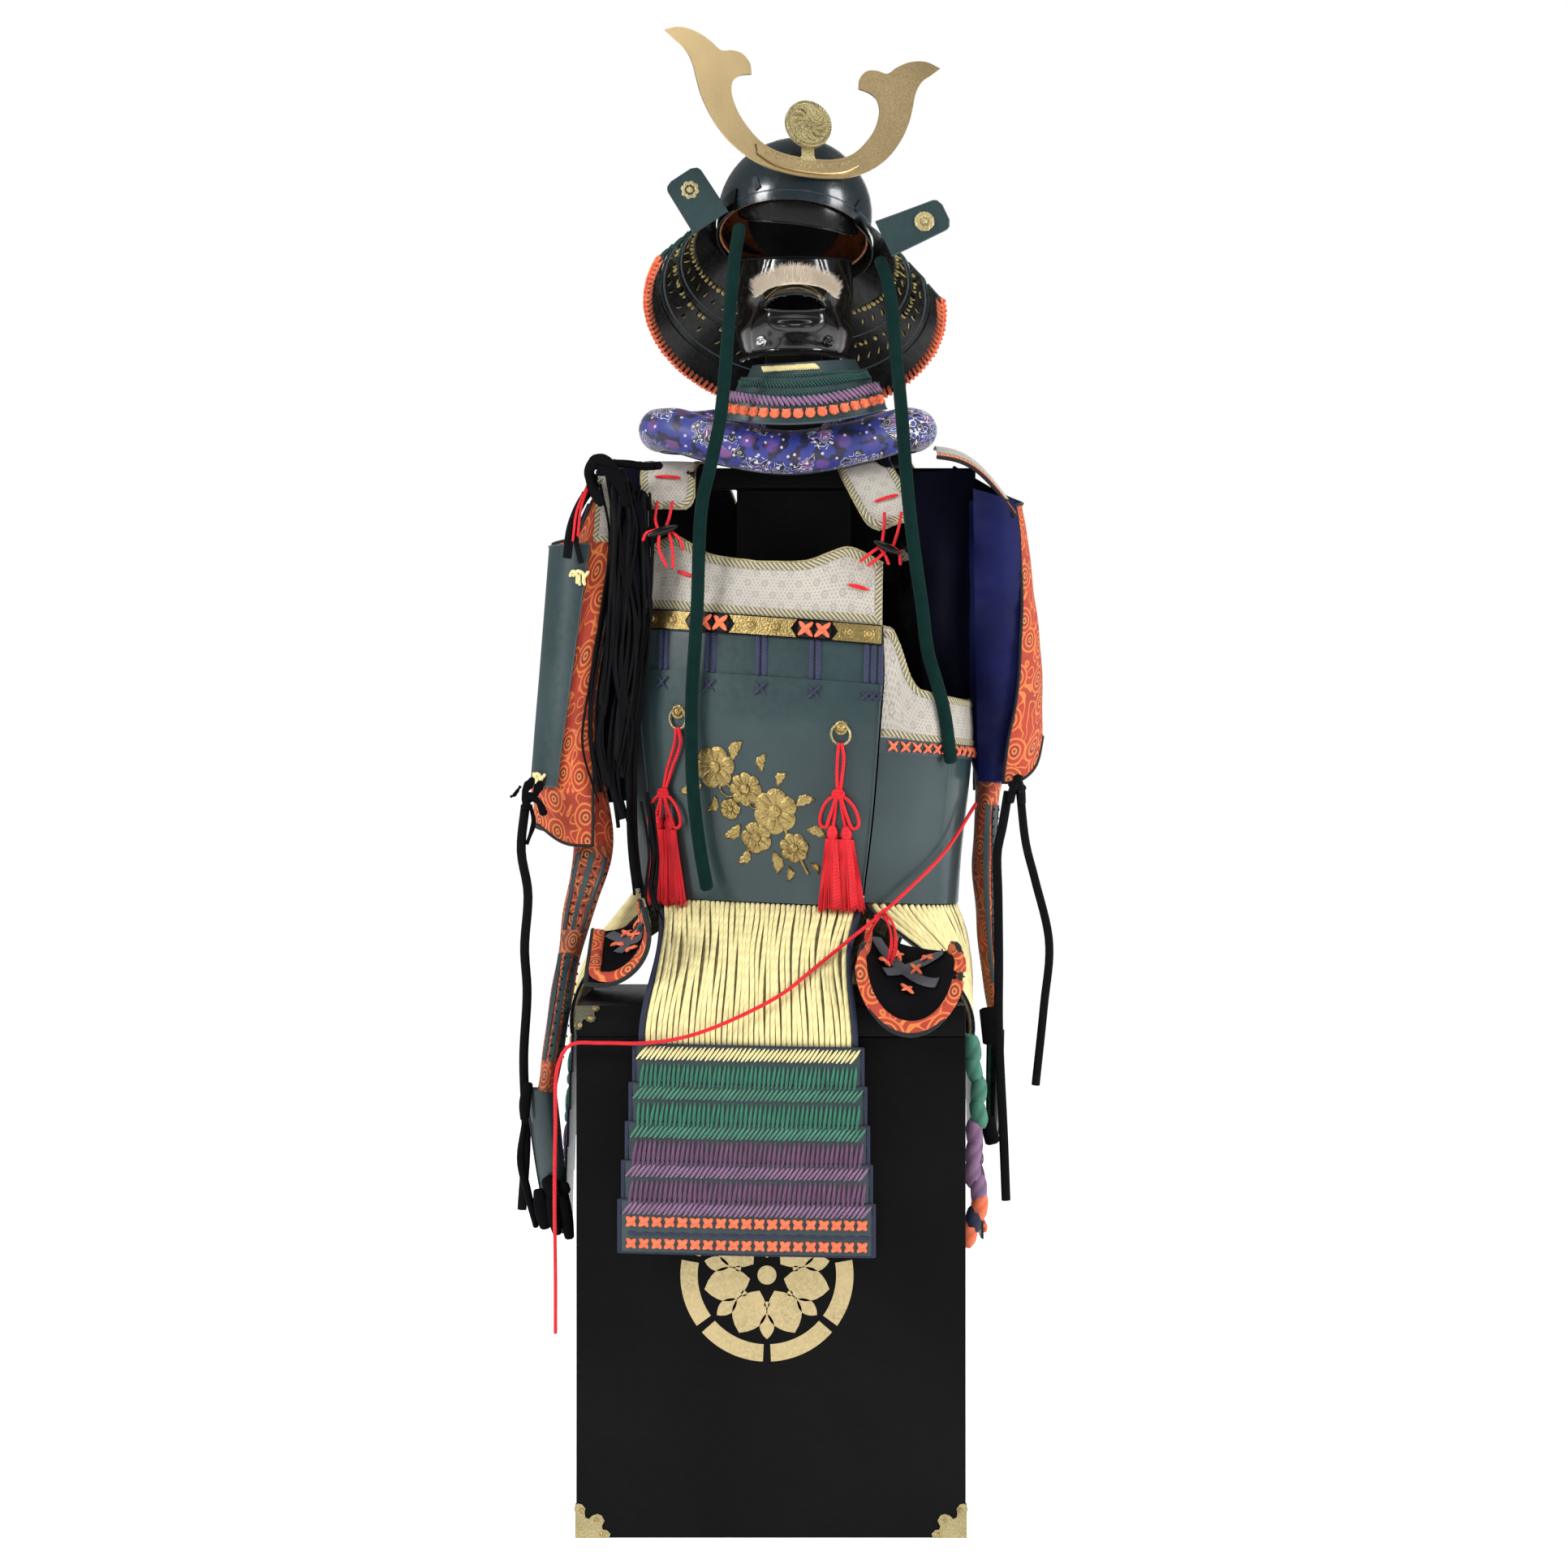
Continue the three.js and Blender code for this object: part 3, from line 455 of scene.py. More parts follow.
def make_effects():
    # Cloudy change of shade: a broad cloud and a fine one.
    e = Effect("Clouding", ("Broad", "Fine"), Broad=9.0, Fine=90.0)
    broad = e.noise(e.taken["Broad"], 4.0)[0]
    fine = e.noise(e.taken["Fine"], 5.0)[0]
    e.give(Broad=e.step(broad, 0.3, 0.7), Fine=e.step(fine, 0.3, 0.7))

    # Dust and rubbed specks on lacquer.
    e = Effect("Specks", ("Mask",), Scale=400.0, Amount=0.3)
    dots = e.step(e.noise(e.taken["Scale"], 2.0)[0], 0.62, 0.74)
    patch = e.step(e.noise(14.0, 3.0)[0], 0.35, 0.75)
    e.give(Mask=e.math("MULTIPLY", e.math("MULTIPLY", dots, patch), e.taken["Amount"]))

    # Plain weave from the cloth's own directions: threads over and under.
    e = Effect("Weave", ("Height", "Mask"), Pitch=0.0011)
    scaled = e.add("ShaderNodeVectorMath", {0: e.taken["Vector"]}, operation="SCALE")
    plug(e.tree, e.math("DIVIDE", 6.2832, e.taken["Pitch"]), scaled.inputs["Scale"])
    parts = e.add("ShaderNodeSeparateXYZ", {0: scaled.outputs[0]})
    height = e.math("MULTIPLY", e.math("SINE", parts.outputs[0]), e.math("SINE", parts.outputs[1]))
    e.give(Height=height, Mask=e.step(height, -1.0, 1.0))

    # Distance to the nearest spot of a staggered lattice, in cells.
    e = Effect("Lattice", ("Distance", "Angle"), Cell=0.02, Squeeze=0.58)
    parts = e.add("ShaderNodeSeparateXYZ", {0: e.taken["Vector"]})
    across = e.math("DIVIDE", parts.outputs[0], e.taken["Cell"])
    down = e.math("DIVIDE", parts.outputs[1], e.math("MULTIPLY", e.taken["Cell"], e.taken["Squeeze"]))
    found = []
    for shift in (0.0, 0.5):
        x = e.math("SUBTRACT", e.math("FRACT", e.math("ADD", across, shift)), 0.5)
        y = e.math("SUBTRACT", e.math("FRACT", e.math("ADD", e.math("MULTIPLY", down, 0.5), shift)), 0.5)
        y = e.math("MULTIPLY", y, e.math("MULTIPLY", e.taken["Squeeze"], 2.0))
        square = e.math("ADD", e.math("MULTIPLY", x, x), e.math("MULTIPLY", y, y))
        found.append((e.math("SQRT", square), x, y))
    (d0, x0, y0), (d1, x1, y1) = found
    first = e.math("LESS_THAN", d0, d1)
    x = e.add("ShaderNodeMix", {0: first, 2: x1, 3: x0}).outputs[0]
    y = e.add("ShaderNodeMix", {0: first, 2: y1, 3: y0}).outputs[0]
    e.give(Distance=e.math("MINIMUM", d0, d1), Angle=e.math("ARCTAN2", y, x))

    # Brocade: ringed roundels with curling tendrils between them.
    e = Effect("Roundels", ("Lines", "Hearts"), Scale=26.0)
    warp = {0: e.noise(30.0, 1.0)[1], 1: (0.006, 0.006, 0.006)}
    warp = e.add("ShaderNodeVectorMath", warp, operation="MULTIPLY").outputs[0]
    at = e.add("ShaderNodeVectorMath", {0: e.taken["Vector"], 1: warp}, operation="ADD").outputs[0]
    away = e.cells(at, e.taken["Scale"], 0.55)["Distance"]
    ring, inner, dots = [e.math("ABSOLUTE", e.math("SUBTRACT", away, r)) for r in (0.36, 0.2, 0.07)]
    lines = e.math("MINIMUM", e.math("MINIMUM", ring, inner), dots)
    curl = e.math("FRACT", e.math("MULTIPLY", e.noise(62.0, 0.0)[0], 4.0))
    tendril = e.math("ABSOLUTE", e.math("SUBTRACT", curl, 0.5))
    outside = e.step(away, 0.38, 0.42)
    scroll = e.math("MULTIPLY", e.step(tendril, 0.16, 0.05), outside)
    e.give(Lines=e.math("MAXIMUM", e.step(lines, 0.04, 0.015), scroll), Hearts=e.step(away, 0.2, 0.14))

    # Twist of a laid cord: slanting strands round it.
    e = Effect("Twist", ("Height",), Around=160.0, Along=420.0)
    parts = e.add("ShaderNodeSeparateXYZ", {0: e.taken["Vector"]})
    turn = e.math("MULTIPLY", parts.outputs[0], e.taken["Around"])
    slant = e.math("ADD", turn, e.math("MULTIPLY", parts.outputs[1], e.taken["Along"]))
    e.give(Height=e.step(e.math("SINE", e.math("MULTIPLY", slant, 6.2832)), -1.0, 1.0))


def lacquer(name, slot, colour, deep, rough, coat, specks, dust=(0.3, 0.3, 0.28), broad=7.0, mirror=0.35):
    """Lacquer over metal or wood: cloudy depth, a clear coat and fine dust."""
    look = Look(name, slot)
    at = look.coords.outputs["Object"]
    cloud = look.group("Clouding", Vector=at, Broad=broad, Fine=120.0)
    speck = look.group("Specks", Vector=at, Scale=520.0, Amount=specks)
    base = look.blend(deep, colour, cloud.outputs["Broad"])
    look.set(Base_Color=look.blend(base, dust, speck.outputs["Mask"]), Coat_Weight=coat, Coat_Roughness=0.12)
    look.set(Specular_IOR_Level=mirror)
    gloss = look.step(cloud.outputs["Fine"], a=rough - 0.06, b=rough + 0.08)
    look.set(Roughness=gloss)
    look.bump(cloud.outputs["Fine"], 0.06)


def metal(name, slot, colour, dark, rough, grain=(1.0, 1.0, 1.0), scale=260.0, relief=0.25):
    """Gilt or brass: rubbed highlights, darker hollows and a fine worked surface."""
    look = Look(name, slot)
    place = look.add("ShaderNodeMapping", {"Vector": look.coords.outputs["Object"], "Scale": grain})
    cloud = look.group("Clouding", Vector=place.outputs[0], Broad=22.0, Fine=scale)
    shade = look.math("MULTIPLY", cloud.outputs["Broad"], cloud.outputs["Fine"])
    look.set(Base_Color=look.blend(colour, dark, shade), Metallic=1.0)
    gloss = look.step(cloud.outputs["Fine"], a=rough - 0.07, b=rough + 0.1)
    look.set(Roughness=gloss)
    look.bump(cloud.outputs["Fine"], relief)


def cord_finish(
    name, slot, light, dark, rough=0.62, around=150.0, along=260.0, relief=0.6, sheen=0.08, mirror=0.3
):
    """Braided or laid cord: slanting strands, shade between them and a soft sheen."""
    look = Look(name, slot)
    uv = look.coords.outputs["UV"]
    twist = look.group("Twist", Vector=uv, Around=around, Along=along)
    cloud = look.group("Clouding", Vector=look.coords.outputs["Object"], Broad=60.0, Fine=700.0)
    shade = look.step(cloud.outputs["Broad"], b=0.45)
    base = look.blend(light, dark, shade)
    hollow = look.step(twist.outputs[0], 0.0, 0.5, 0.55, 0.0)
    look.set(
        Base_Color=look.blend(base, dark, hollow), Roughness=rough, Sheen_Weight=sheen,
        Sheen_Roughness=0.4,
    )
    look.set(Specular_IOR_Level=mirror)
    look.bump(twist.outputs[0], relief, 0.0006)


def brocade_orange(name, ground, line, heart, dark=0.0):
    look = Look(name, "brocade_orange")
    uv = look.coords.outputs["UV"]
    figure = look.group("Roundels", Vector=uv, Scale=27.0)
    weave = look.group("Weave", Vector=uv, Pitch=0.0016)
    cloud = look.group("Clouding", Vector=look.coords.outputs["Object"], Broad=20.0, Fine=240.0)
    base = look.blend(ground, heart, figure.outputs["Hearts"])
    # Cloudy darkening: random wear, and in the shaded copy a stronger darkening that is painted shade.
    wear_and_painted_shade = look.step(cloud.outputs["Broad"], 0.35, 0.8, 0.0, 0.25 + dark)
    base = look.blend(base, (0.1, 0.03, 0.012), wear_and_painted_shade)
    base = look.blend(base, line, figure.outputs["Lines"])
    threads = look.step(weave.outputs["Mask"], b=0.12)
    look.set(
        Base_Color=look.blend(base, heart, threads), Roughness=0.6, Sheen_Weight=0.08,
        Sheen_Roughness=0.45,
    )
    raised = look.math("ADD", figure.outputs["Lines"], weave.outputs["Mask"])
    look.bump(raised, 0.45, 0.0007)


def brocade_blue():
    look = Look("brocade_blue", "brocade_blue")
    uv = look.coords.outputs["UV"]
    cloud = look.group("Clouding", Vector=look.coords.outputs["Object"], Broad=26.0, Fine=420.0)
    bloom = look.cells(uv, 34.0, 0.9)
    small = look.cells(uv, 95.0, 1.0)
    curl = look.add("ShaderNodeTexNoise", {"Vector": uv, "Scale": 75.0, "Detail": 1.0})
    base = look.blend((0.013, 0.024, 0.18), (0.034, 0.042, 0.26), cloud.outputs["Broad"])
    night = look.step(curl.outputs[0], 0.5, 0.56)
    base = look.blend(base, (0.008, 0.009, 0.035), night)
    petals = look.step(bloom["Distance"], 0.34, 0.2, 0.0, 0.75)
    pick = look.add("ShaderNodeSeparateColor", {0: bloom["Color"]})
    chosen = look.math("MULTIPLY", petals, pick.outputs[0])
    base = look.blend(base, (0.26, 0.09, 0.3), chosen)
    thread = look.math("MULTIPLY", curl.outputs[0], 9.0)
    thread = look.math("FRACT", thread)
    thread = look.math("SUBTRACT", thread, 0.5)
    thread = look.math("ABSOLUTE", thread)
    vine = look.step(thread, 0.12, 0.05)
    where = look.step(pick.outputs[1], 0.45, 0.55)
    vine = look.math("MULTIPLY", vine, where)
    base = look.blend(base, (0.72, 0.7, 0.55), vine)
    seeds = look.step(small["Distance"], 0.2, 0.12, 0.0, 0.8)
    tint = look.add("ShaderNodeSeparateColor", {0: small["Color"]})
    some = look.step(tint.outputs[2], 0.62, 0.66)
    seeds = look.math("MULTIPLY", seeds, some)
    base = look.blend(base, (0.75, 0.62, 0.7), seeds)
    look.set(Base_Color=base, Roughness=0.5, Sheen_Weight=0.25, Sheen_Roughness=0.4)
    look.bump(vine, 0.35, 0.0006)


def printed_leather():
    """White leather with rows of small printed rosettes between fine dotted lines."""
    look = Look("printed_leather", "printed_leather")
    uv = look.coords.outputs["UV"]
    big = look.group("Lattice", Vector=uv, Cell=0.021, Squeeze=0.62)
    small = look.group("Lattice", Vector=uv, Cell=0.0045, Squeeze=0.8)
    cloud = look.group("Clouding", Vector=look.coords.outputs["Object"], Broad=14.0, Fine=330.0)
    base = look.blend((0.5, 0.455, 0.385), (0.39, 0.35, 0.295), cloud.outputs["Broad"])
    petals = look.math("MULTIPLY", big.outputs["Angle"], 6.0)
    petals = look.math("SINE", petals)
    edge = look.math("MULTIPLY_ADD", petals, 0.018, 0.15)
    gap = look.math("SUBTRACT", big.outputs["Distance"], edge)
    gap = look.math("ABSOLUTE", gap)
    ring = look.step(gap, 0.05, 0.02, 0.0, 0.75)
    heart = look.step(big.outputs["Distance"], 0.06, 0.035, 0.0, 0.7)
    dots = look.step(small.outputs["Distance"], 0.34, 0.2, 0.0, 0.55)
    clear = look.step(big.outputs["Distance"], 0.2, 0.24)
    dots = look.math("MULTIPLY", dots, clear)
    for mask in (dots, ring, heart):
        base = look.blend(base, (0.2, 0.2, 0.2), mask)
    look.set(Base_Color=base, Roughness=0.58)
    look.bump(cloud.outputs["Fine"], 0.2)


def braid_trim():
    """Flat braid along the leather's edges: gold and green chevrons."""
    look = Look("braid_trim", "printed_leather")
    parts = look.add("ShaderNodeSeparateXYZ", {0: look.coords.outputs["UV"]})
    fold = look.math("PINGPONG", parts.outputs[0], 0.012)
    slant = look.math("ADD", fold, parts.outputs[1])
    wave = look.math("MULTIPLY", slant, 170.0)
    turn = look.math("FRACT", wave)
    gold = look.step(turn, 0.28, 0.36)
    green = look.step(turn, 0.66, 0.74)
    base = look.blend((0.52, 0.47, 0.36), (0.27, 0.21, 0.085), gold)
    base = look.blend(base, (0.07, 0.09, 0.065), green)
    look.set(Base_Color=base, Roughness=0.7)
    look.bump(turn, 0.5, 0.0006)


def satin_lining(name, slot, colour, deep, rough=0.42, sheen=0.35, mirror=0.3):
    look = Look(name, slot)
    uv = look.coords.outputs["UV"]
    weave = look.group("Weave", Vector=uv, Pitch=0.0011)
    cloud = look.group("Clouding", Vector=look.coords.outputs["Object"], Broad=12.0, Fine=160.0)
    look.set(
        Base_Color=look.blend(deep, colour, cloud.outputs["Broad"]), Roughness=rough, Sheen_Weight=sheen,
        Sheen_Roughness=0.35,
    )
    look.set(Specular_IOR_Level=mirror)
    raised = look.math("ADD", cloud.outputs["Fine"], weave.outputs["Mask"])
    look.bump(raised, 0.25, 0.0008)


def make_finishes():
    make_effects()
    lacquer(
        "lacquer_green", "lacquer_green", (0.03, 0.055, 0.057), (0.015, 0.03, 0.033), 0.36, 0.3, 0.1,
        (0.16, 0.2, 0.19),
    )
    lacquer(
        "lacquer_dull", "lacquer_green", (0.05, 0.07, 0.078), (0.03, 0.045, 0.055), 0.5, 0.05, 0.06,
        (0.12, 0.14, 0.15),
    )
    lacquer(
        "lacquer_black", "lacquer_black", (0.005, 0.005, 0.005), (0.002, 0.002, 0.002), 0.26, 0.12, 0.01,
        (0.06, 0.06, 0.05), 7.0, 0.18,
    )
    lacquer(
        "lacquer_bowl", "lacquer_green", (0.016, 0.025, 0.03), (0.008, 0.014, 0.018), 0.24, 0.4, 0.05,
        (0.08, 0.1, 0.11), mirror=0.4,
    )
    lacquer(
        "lacquer_gloss", "lacquer_black", (0.005, 0.005, 0.005), (0.002, 0.002, 0.002), 0.2, 0.45, 0.0,
        (0.1, 0.1, 0.1),
    )
    lacquer(
        "wood_black", "wood_black", (0.0035, 0.0035, 0.0038), (0.0012, 0.0012, 0.0014), 0.5, 0.0, 0.04,
        (0.02, 0.02, 0.02), 5.0, 0.08,
    )
    metal("gilt", "gilt", (0.42, 0.31, 0.12), (0.14, 0.095, 0.03), 0.36, scale=420.0, relief=0.5)
    metal(
        "horn_brass", "gilt", (0.56, 0.42, 0.22), (0.36, 0.26, 0.13), 0.4, grain=(1.0, 1.0, 0.12),
        scale=900.0, relief=0.03,
    )
    # The brass darkened for the lid's corner fittings: painted shade.
    metal("brass_painted_shade", "gilt", (0.15, 0.14, 0.095), (0.05, 0.047, 0.03), 0.5, scale=500.0, relief=0.4)
    metal("old_gold", "gilt", (0.5, 0.42, 0.22), (0.17, 0.14, 0.07), 0.46, scale=500.0, relief=0.6)
    metal("copper_lining", "gilt", (0.5, 0.22, 0.1), (0.16, 0.05, 0.03), 0.5, scale=120.0, relief=0.5)
    metal("roundel_gold", "gilt", (0.62, 0.5, 0.27), (0.44, 0.36, 0.19), 0.55, scale=300.0, relief=0.1)
    metal("thread_gold", "gilt", (0.6, 0.5, 0.22), (0.25, 0.2, 0.08), 0.45, scale=800.0, relief=0.3)
    metal("silver", "silver", (0.72, 0.72, 0.72), (0.3, 0.3, 0.3), 0.28, scale=300.0, relief=0.2)
    brocade_orange("brocade_orange", (0.42, 0.028, 0.004), (0.74, 0.2, 0.035), (0.2, 0.014, 0.005))
    # A darker copy of the orange brocade: painted shade for the sleeve parts in shadow.
    brocade_orange("brocade_shaded", (0.3, 0.022, 0.004), (0.52, 0.14, 0.028), (0.05, 0.008, 0.005), 0.5)
    brocade_blue()
    printed_leather()
    braid_trim()
    satin_lining(
        "lining_navy", "lining_navy", (0.007, 0.0095, 0.072), (0.004, 0.0055, 0.04), 0.5, 0.02, 0.12
    )
    satin_lining(
        "cloth_dark", "lining_navy", (0.004, 0.0045, 0.017), (0.0015, 0.0015, 0.007), 0.5, 0.02, 0.06
    )
    satin_lining("silk_inside", "silk_red", (0.16, 0.02, 0.015), (0.07, 0.01, 0.008), 0.5, 0.1)
    satin_lining(
        "crepe_black", "ribbon_black", (0.004, 0.004, 0.005), (0.0015, 0.0015, 0.002), 0.7, 0.0, 0.05
    )
    cord_finish(
        "ribbon_black", "ribbon_black", (0.0035, 0.0036, 0.0045), (0.001, 0.001, 0.0013), 0.5, 300.0,
        500.0, 0.2, 0.0, 0.07,
    )
    cord_finish("piping_black", "ribbon_black", (0.009, 0.009, 0.01), (0.003, 0.003, 0.0035), 0.6)
    cord_finish(
        "ribbon_grey", "ribbon_black", (0.075, 0.08, 0.09), (0.03, 0.033, 0.04), 0.7, 300.0, 500.0, 0.35
    )
    cord_finish("piping_navy", "lacing_navy", (0.02, 0.026, 0.056), (0.009, 0.011, 0.026), 0.66)
    cord_finish(
        "cord_cream", "lacing_cream", (0.83, 0.74, 0.37), (0.6, 0.5, 0.21), 0.6, 90.0, 60.0, 0.15, 0.3
    )
    # The cream cord darkened for the lacing's back layer: painted shade.
    cord_finish(
        "cord_cream_painted_shade", "lacing_cream", (0.3, 0.25, 0.11), (0.12, 0.095, 0.04), 0.65, 90.0, 60.0, 0.2,
        0.3,
    )
    cord_finish("cord_green", "lacing_green", (0.036, 0.185, 0.115), (0.01, 0.07, 0.045))
    cord_finish("cord_moss", "lacing_green", (0.02, 0.085, 0.07), (0.008, 0.035, 0.03))
    cord_finish("cord_purple", "lacing_purple", (0.15, 0.068, 0.135), (0.05, 0.02, 0.046))
    cord_finish("cord_lilac", "lacing_purple", (0.27, 0.15, 0.26), (0.11, 0.055, 0.11))
    cord_finish("cord_sage", "lacing_green", (0.07, 0.235, 0.16), (0.025, 0.1, 0.068))
    cord_finish("cord_pink", "silk_red", (0.75, 0.16, 0.15), (0.5, 0.07, 0.07))
    cord_finish("cord_orange", "lacing_orange", (0.88, 0.2, 0.085), (0.5, 0.08, 0.035))
    cord_finish("cord_navy", "lacing_navy", (0.034, 0.038, 0.09), (0.012, 0.014, 0.038))
    cord_finish("cord_red", "silk_red", (0.74, 0.01, 0.02), (0.4, 0.004, 0.01), 0.5, 130.0, 240.0, 0.5, 0.05)
    cord_finish(
        "velvet_green", "velvet_green", (0.004, 0.026, 0.022), (0.0015, 0.008, 0.0075), 0.9, 420.0, 700.0,
        0.8, 0.04, 0.06,
    )
    cord_finish("bristle_white", "bristle_white", (0.74, 0.65, 0.53), (0.5, 0.41, 0.3), 0.6, 40.0, 30.0, 0.2)


make_finishes()


# ---------------------------------------------------------------- camera, light and floor
CAMERA = {"at": (15, -4215, 871), "lens": 79.5, "sensor": 36}
ROOM = {"light": 0.36, "mirror": 0.2, "floor": 0.7}


def make_studio():
    scene = bpy.context.scene
    data = bpy.data.cameras.new("camera")
    data.lens = CAMERA["lens"]
    data.sensor_width = CAMERA["sensor"]
    data.clip_end = 60
    camera = bpy.data.objects.new("camera", data)
    camera.location = V(*CAMERA["at"]) * MM
    camera.rotation_euler = (math.pi / 2, 0, 0)
    scene.collection.objects.link(camera)
    scene.camera = camera
    scene.view_settings.view_transform = "Standard"
    # The room is plain white to look at and darker in what it lights and in what mirrors it.
    world = bpy.data.worlds.new("studio")
    world.use_nodes = True
    tree = world.node_tree
    shown = tree.nodes["Background"]
    shown.inputs[0].default_value = (1, 1, 1, 1)
    shown.inputs[1].default_value = 1.0
    room = add_node(tree, "ShaderNodeBackground", {0: (0.93, 0.96, 1.0, 1), 1: ROOM["light"]})
    ray = add_node(tree, "ShaderNodeLightPath", {})
    dim = add_node(tree, "ShaderNodeBackground", {0: (0.93, 0.96, 1.0, 1), 1: ROOM["mirror"]})
    lit = add_node(
        tree, "ShaderNodeMixShader",
        {0: ray.outputs["Is Glossy Ray"], 1: room.outputs[0], 2: dim.outputs[0]},
    )
    both = add_node(
        tree, "ShaderNodeMixShader",
        {0: ray.outputs["Is Camera Ray"], 1: lit.outputs[0], 2: shown.outputs[0]},
    )
    tree.links.new(both.outputs[0], tree.nodes["World Output"].inputs[0])
    scene.world = world
    # Softboxes: where each stands, where it points, its size and its strength.
    for name, at, to, size, power in (
        ("key", (-3.5, -1.9, 2.8), (0, 0, 1.0), 1.3, 135),
        ("fill", (3.6, -1.7, 2.2), (0, 0, 1.0), 1.5, 120),
        ("top", (0.1, -0.9, 3.9), (0, 0, 0.9), 1.6, 34),
        ("back", (0.6, 3.2, 2.4), (0, 0, 1.0), 2.0, 30),
    ):
        light = bpy.data.lights.new(name, "AREA")
        light.size = size
        light.energy = power
        lamp = bpy.data.objects.new(name, light)
        lamp.location = at
        lamp.rotation_euler = (Vector(to) - Vector(at)).to_track_quat("-Z", "Y").to_euler()
        scene.collection.objects.link(lamp)
    floor = bpy.data.meshes.new("floor")
    r = 30.0
    floor.from_pydata([(-r, -r, 0), (r, -r, 0), (r, r, 0), (-r, r, 0)], [], [(0, 1, 2, 3)])
    ground = bpy.data.objects.new("floor", floor)
    pale = bpy.data.materials.new("pale_floor")
    pale.use_nodes = True
    for label, value in (
        ("Base Color", (0.93, 0.93, 0.93, 1)), ("Roughness", 0.9), ("Specular IOR Level", 0.0),
        ("Emission Color", (1, 1, 1, 1)), ("Emission Strength", ROOM["floor"]),
    ):
        pale.node_tree.nodes["Principled BSDF"].inputs[label].default_value = value
    floor.materials.append(pale)
    scene.collection.objects.link(ground)


make_studio()


# ---------------------------------------------------------------- free cords
CORDS = {
    "chin_cord_left": {
        "finish": "velvet_green", "half": (7.8, 5), "side": (
            1, 0, 0
        ), "stiff": "limp", "end": "bare", "count": 60,
        "points": [
            (-38, -74, 1538), (-44, -92, 1494), (-51, -112, 1410), (-60, -124, 1305), (-72, -126, 1246),
            (-82, -124, 1202), (-88, -122, 1071), (-94, -122, 972), (-94, -122, 898), (-92, -120, 857),
            (-84, -118, 791), (-76, -124, 748),
        ],
    },
    "chin_cord_right": {
        "finish": "velvet_green", "half": (7.8, 5), "side": (
            1, 0, 0
        ), "stiff": "limp", "end": "bare", "count": 54,
        "points": [
            (130, -62, 1500), (140, -74, 1467), (148, -90, 1387), (154, -112, 1315), (160, -128, 1227),
            (166, -146, 1161), (178, -146, 1074), (184, -142, 1028), (203, -134, 961), (212, -128, 898),
        ],
    },
    "waist_cord": {
        "finish": "cord_red", "half": (2.2, 2.2), "side": None, "stiff": "limp", "end": "bare", "count": 110,
        "points": [
            (245, -62, 847), (
                204, -118, 789
            ), (156, -158, 743), (131, -170, 721), (91, -192, 690), (50, -214, 658),
            (9, -232, 627), (-72, -242, 589), (-115, -240, 577), (-153, -236, 573), (-196, -230, 573),
            (-232, -224, 570), (-246, -220, 545), (-249, -216, 470), (-250, -215, 390), (-249, -215, 300),
            (-249, -215, 237),
        ],
    },
    "tie_left": {
        "finish": "ribbon_black", "half": (
            5.5, 1.2
        ), "side": (1, 0, 0), "stiff": "limp", "end": "bare", "count": 44,
        "points": [
            (-292, -104, 846), (-297, -104, 792), (-289, -104, 742), (-293, -104, 676), (-290, -104, 625),
            (-294, -104, 546), (-291, -106, 448), (-296, -106, 366),
        ],
    },
    "tie_right_outer": {
        "finish": "ribbon_black", "half": (5, 1.2), "side": (
            1, 0, 0
        ), "stiff": "limp", "end": "bare", "count": 34,
        "points": [
            (
                296, -92, 862
            ), (303, -92, 800), (314, -90, 757), (331, -88, 682), (325, -86, 607), (315, -86, 512),
        ],
    },
    "tie_right_inner": {
        "finish": "ribbon_black", "half": (
            5.5, 1.2
        ), "side": (1, 0, 0), "stiff": "limp", "end": "bare", "count": 42,
        "points": [
            (
                282, -92, 862
            ), (275, -92, 820), (269, -90, 790), (270, -88, 741), (271, -86, 660), (271, -84, 580),
            (277, -82, 451), (280, -82, 374),
        ],
    },
}


def make_cords():
    for name, c in CORDS.items():
        heap = Heap()
        line = smooth_line(c["points"], c["count"])
        heap.tube(line, even(*c["half"]), 10, c["side"])
        cord = made(f"{name}_braid", heap, [c["finish"]], 60, [name])
        path = [tuple(p * MM) for p in line]
        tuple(path[0])
        line_length(line) * MM


make_cords()


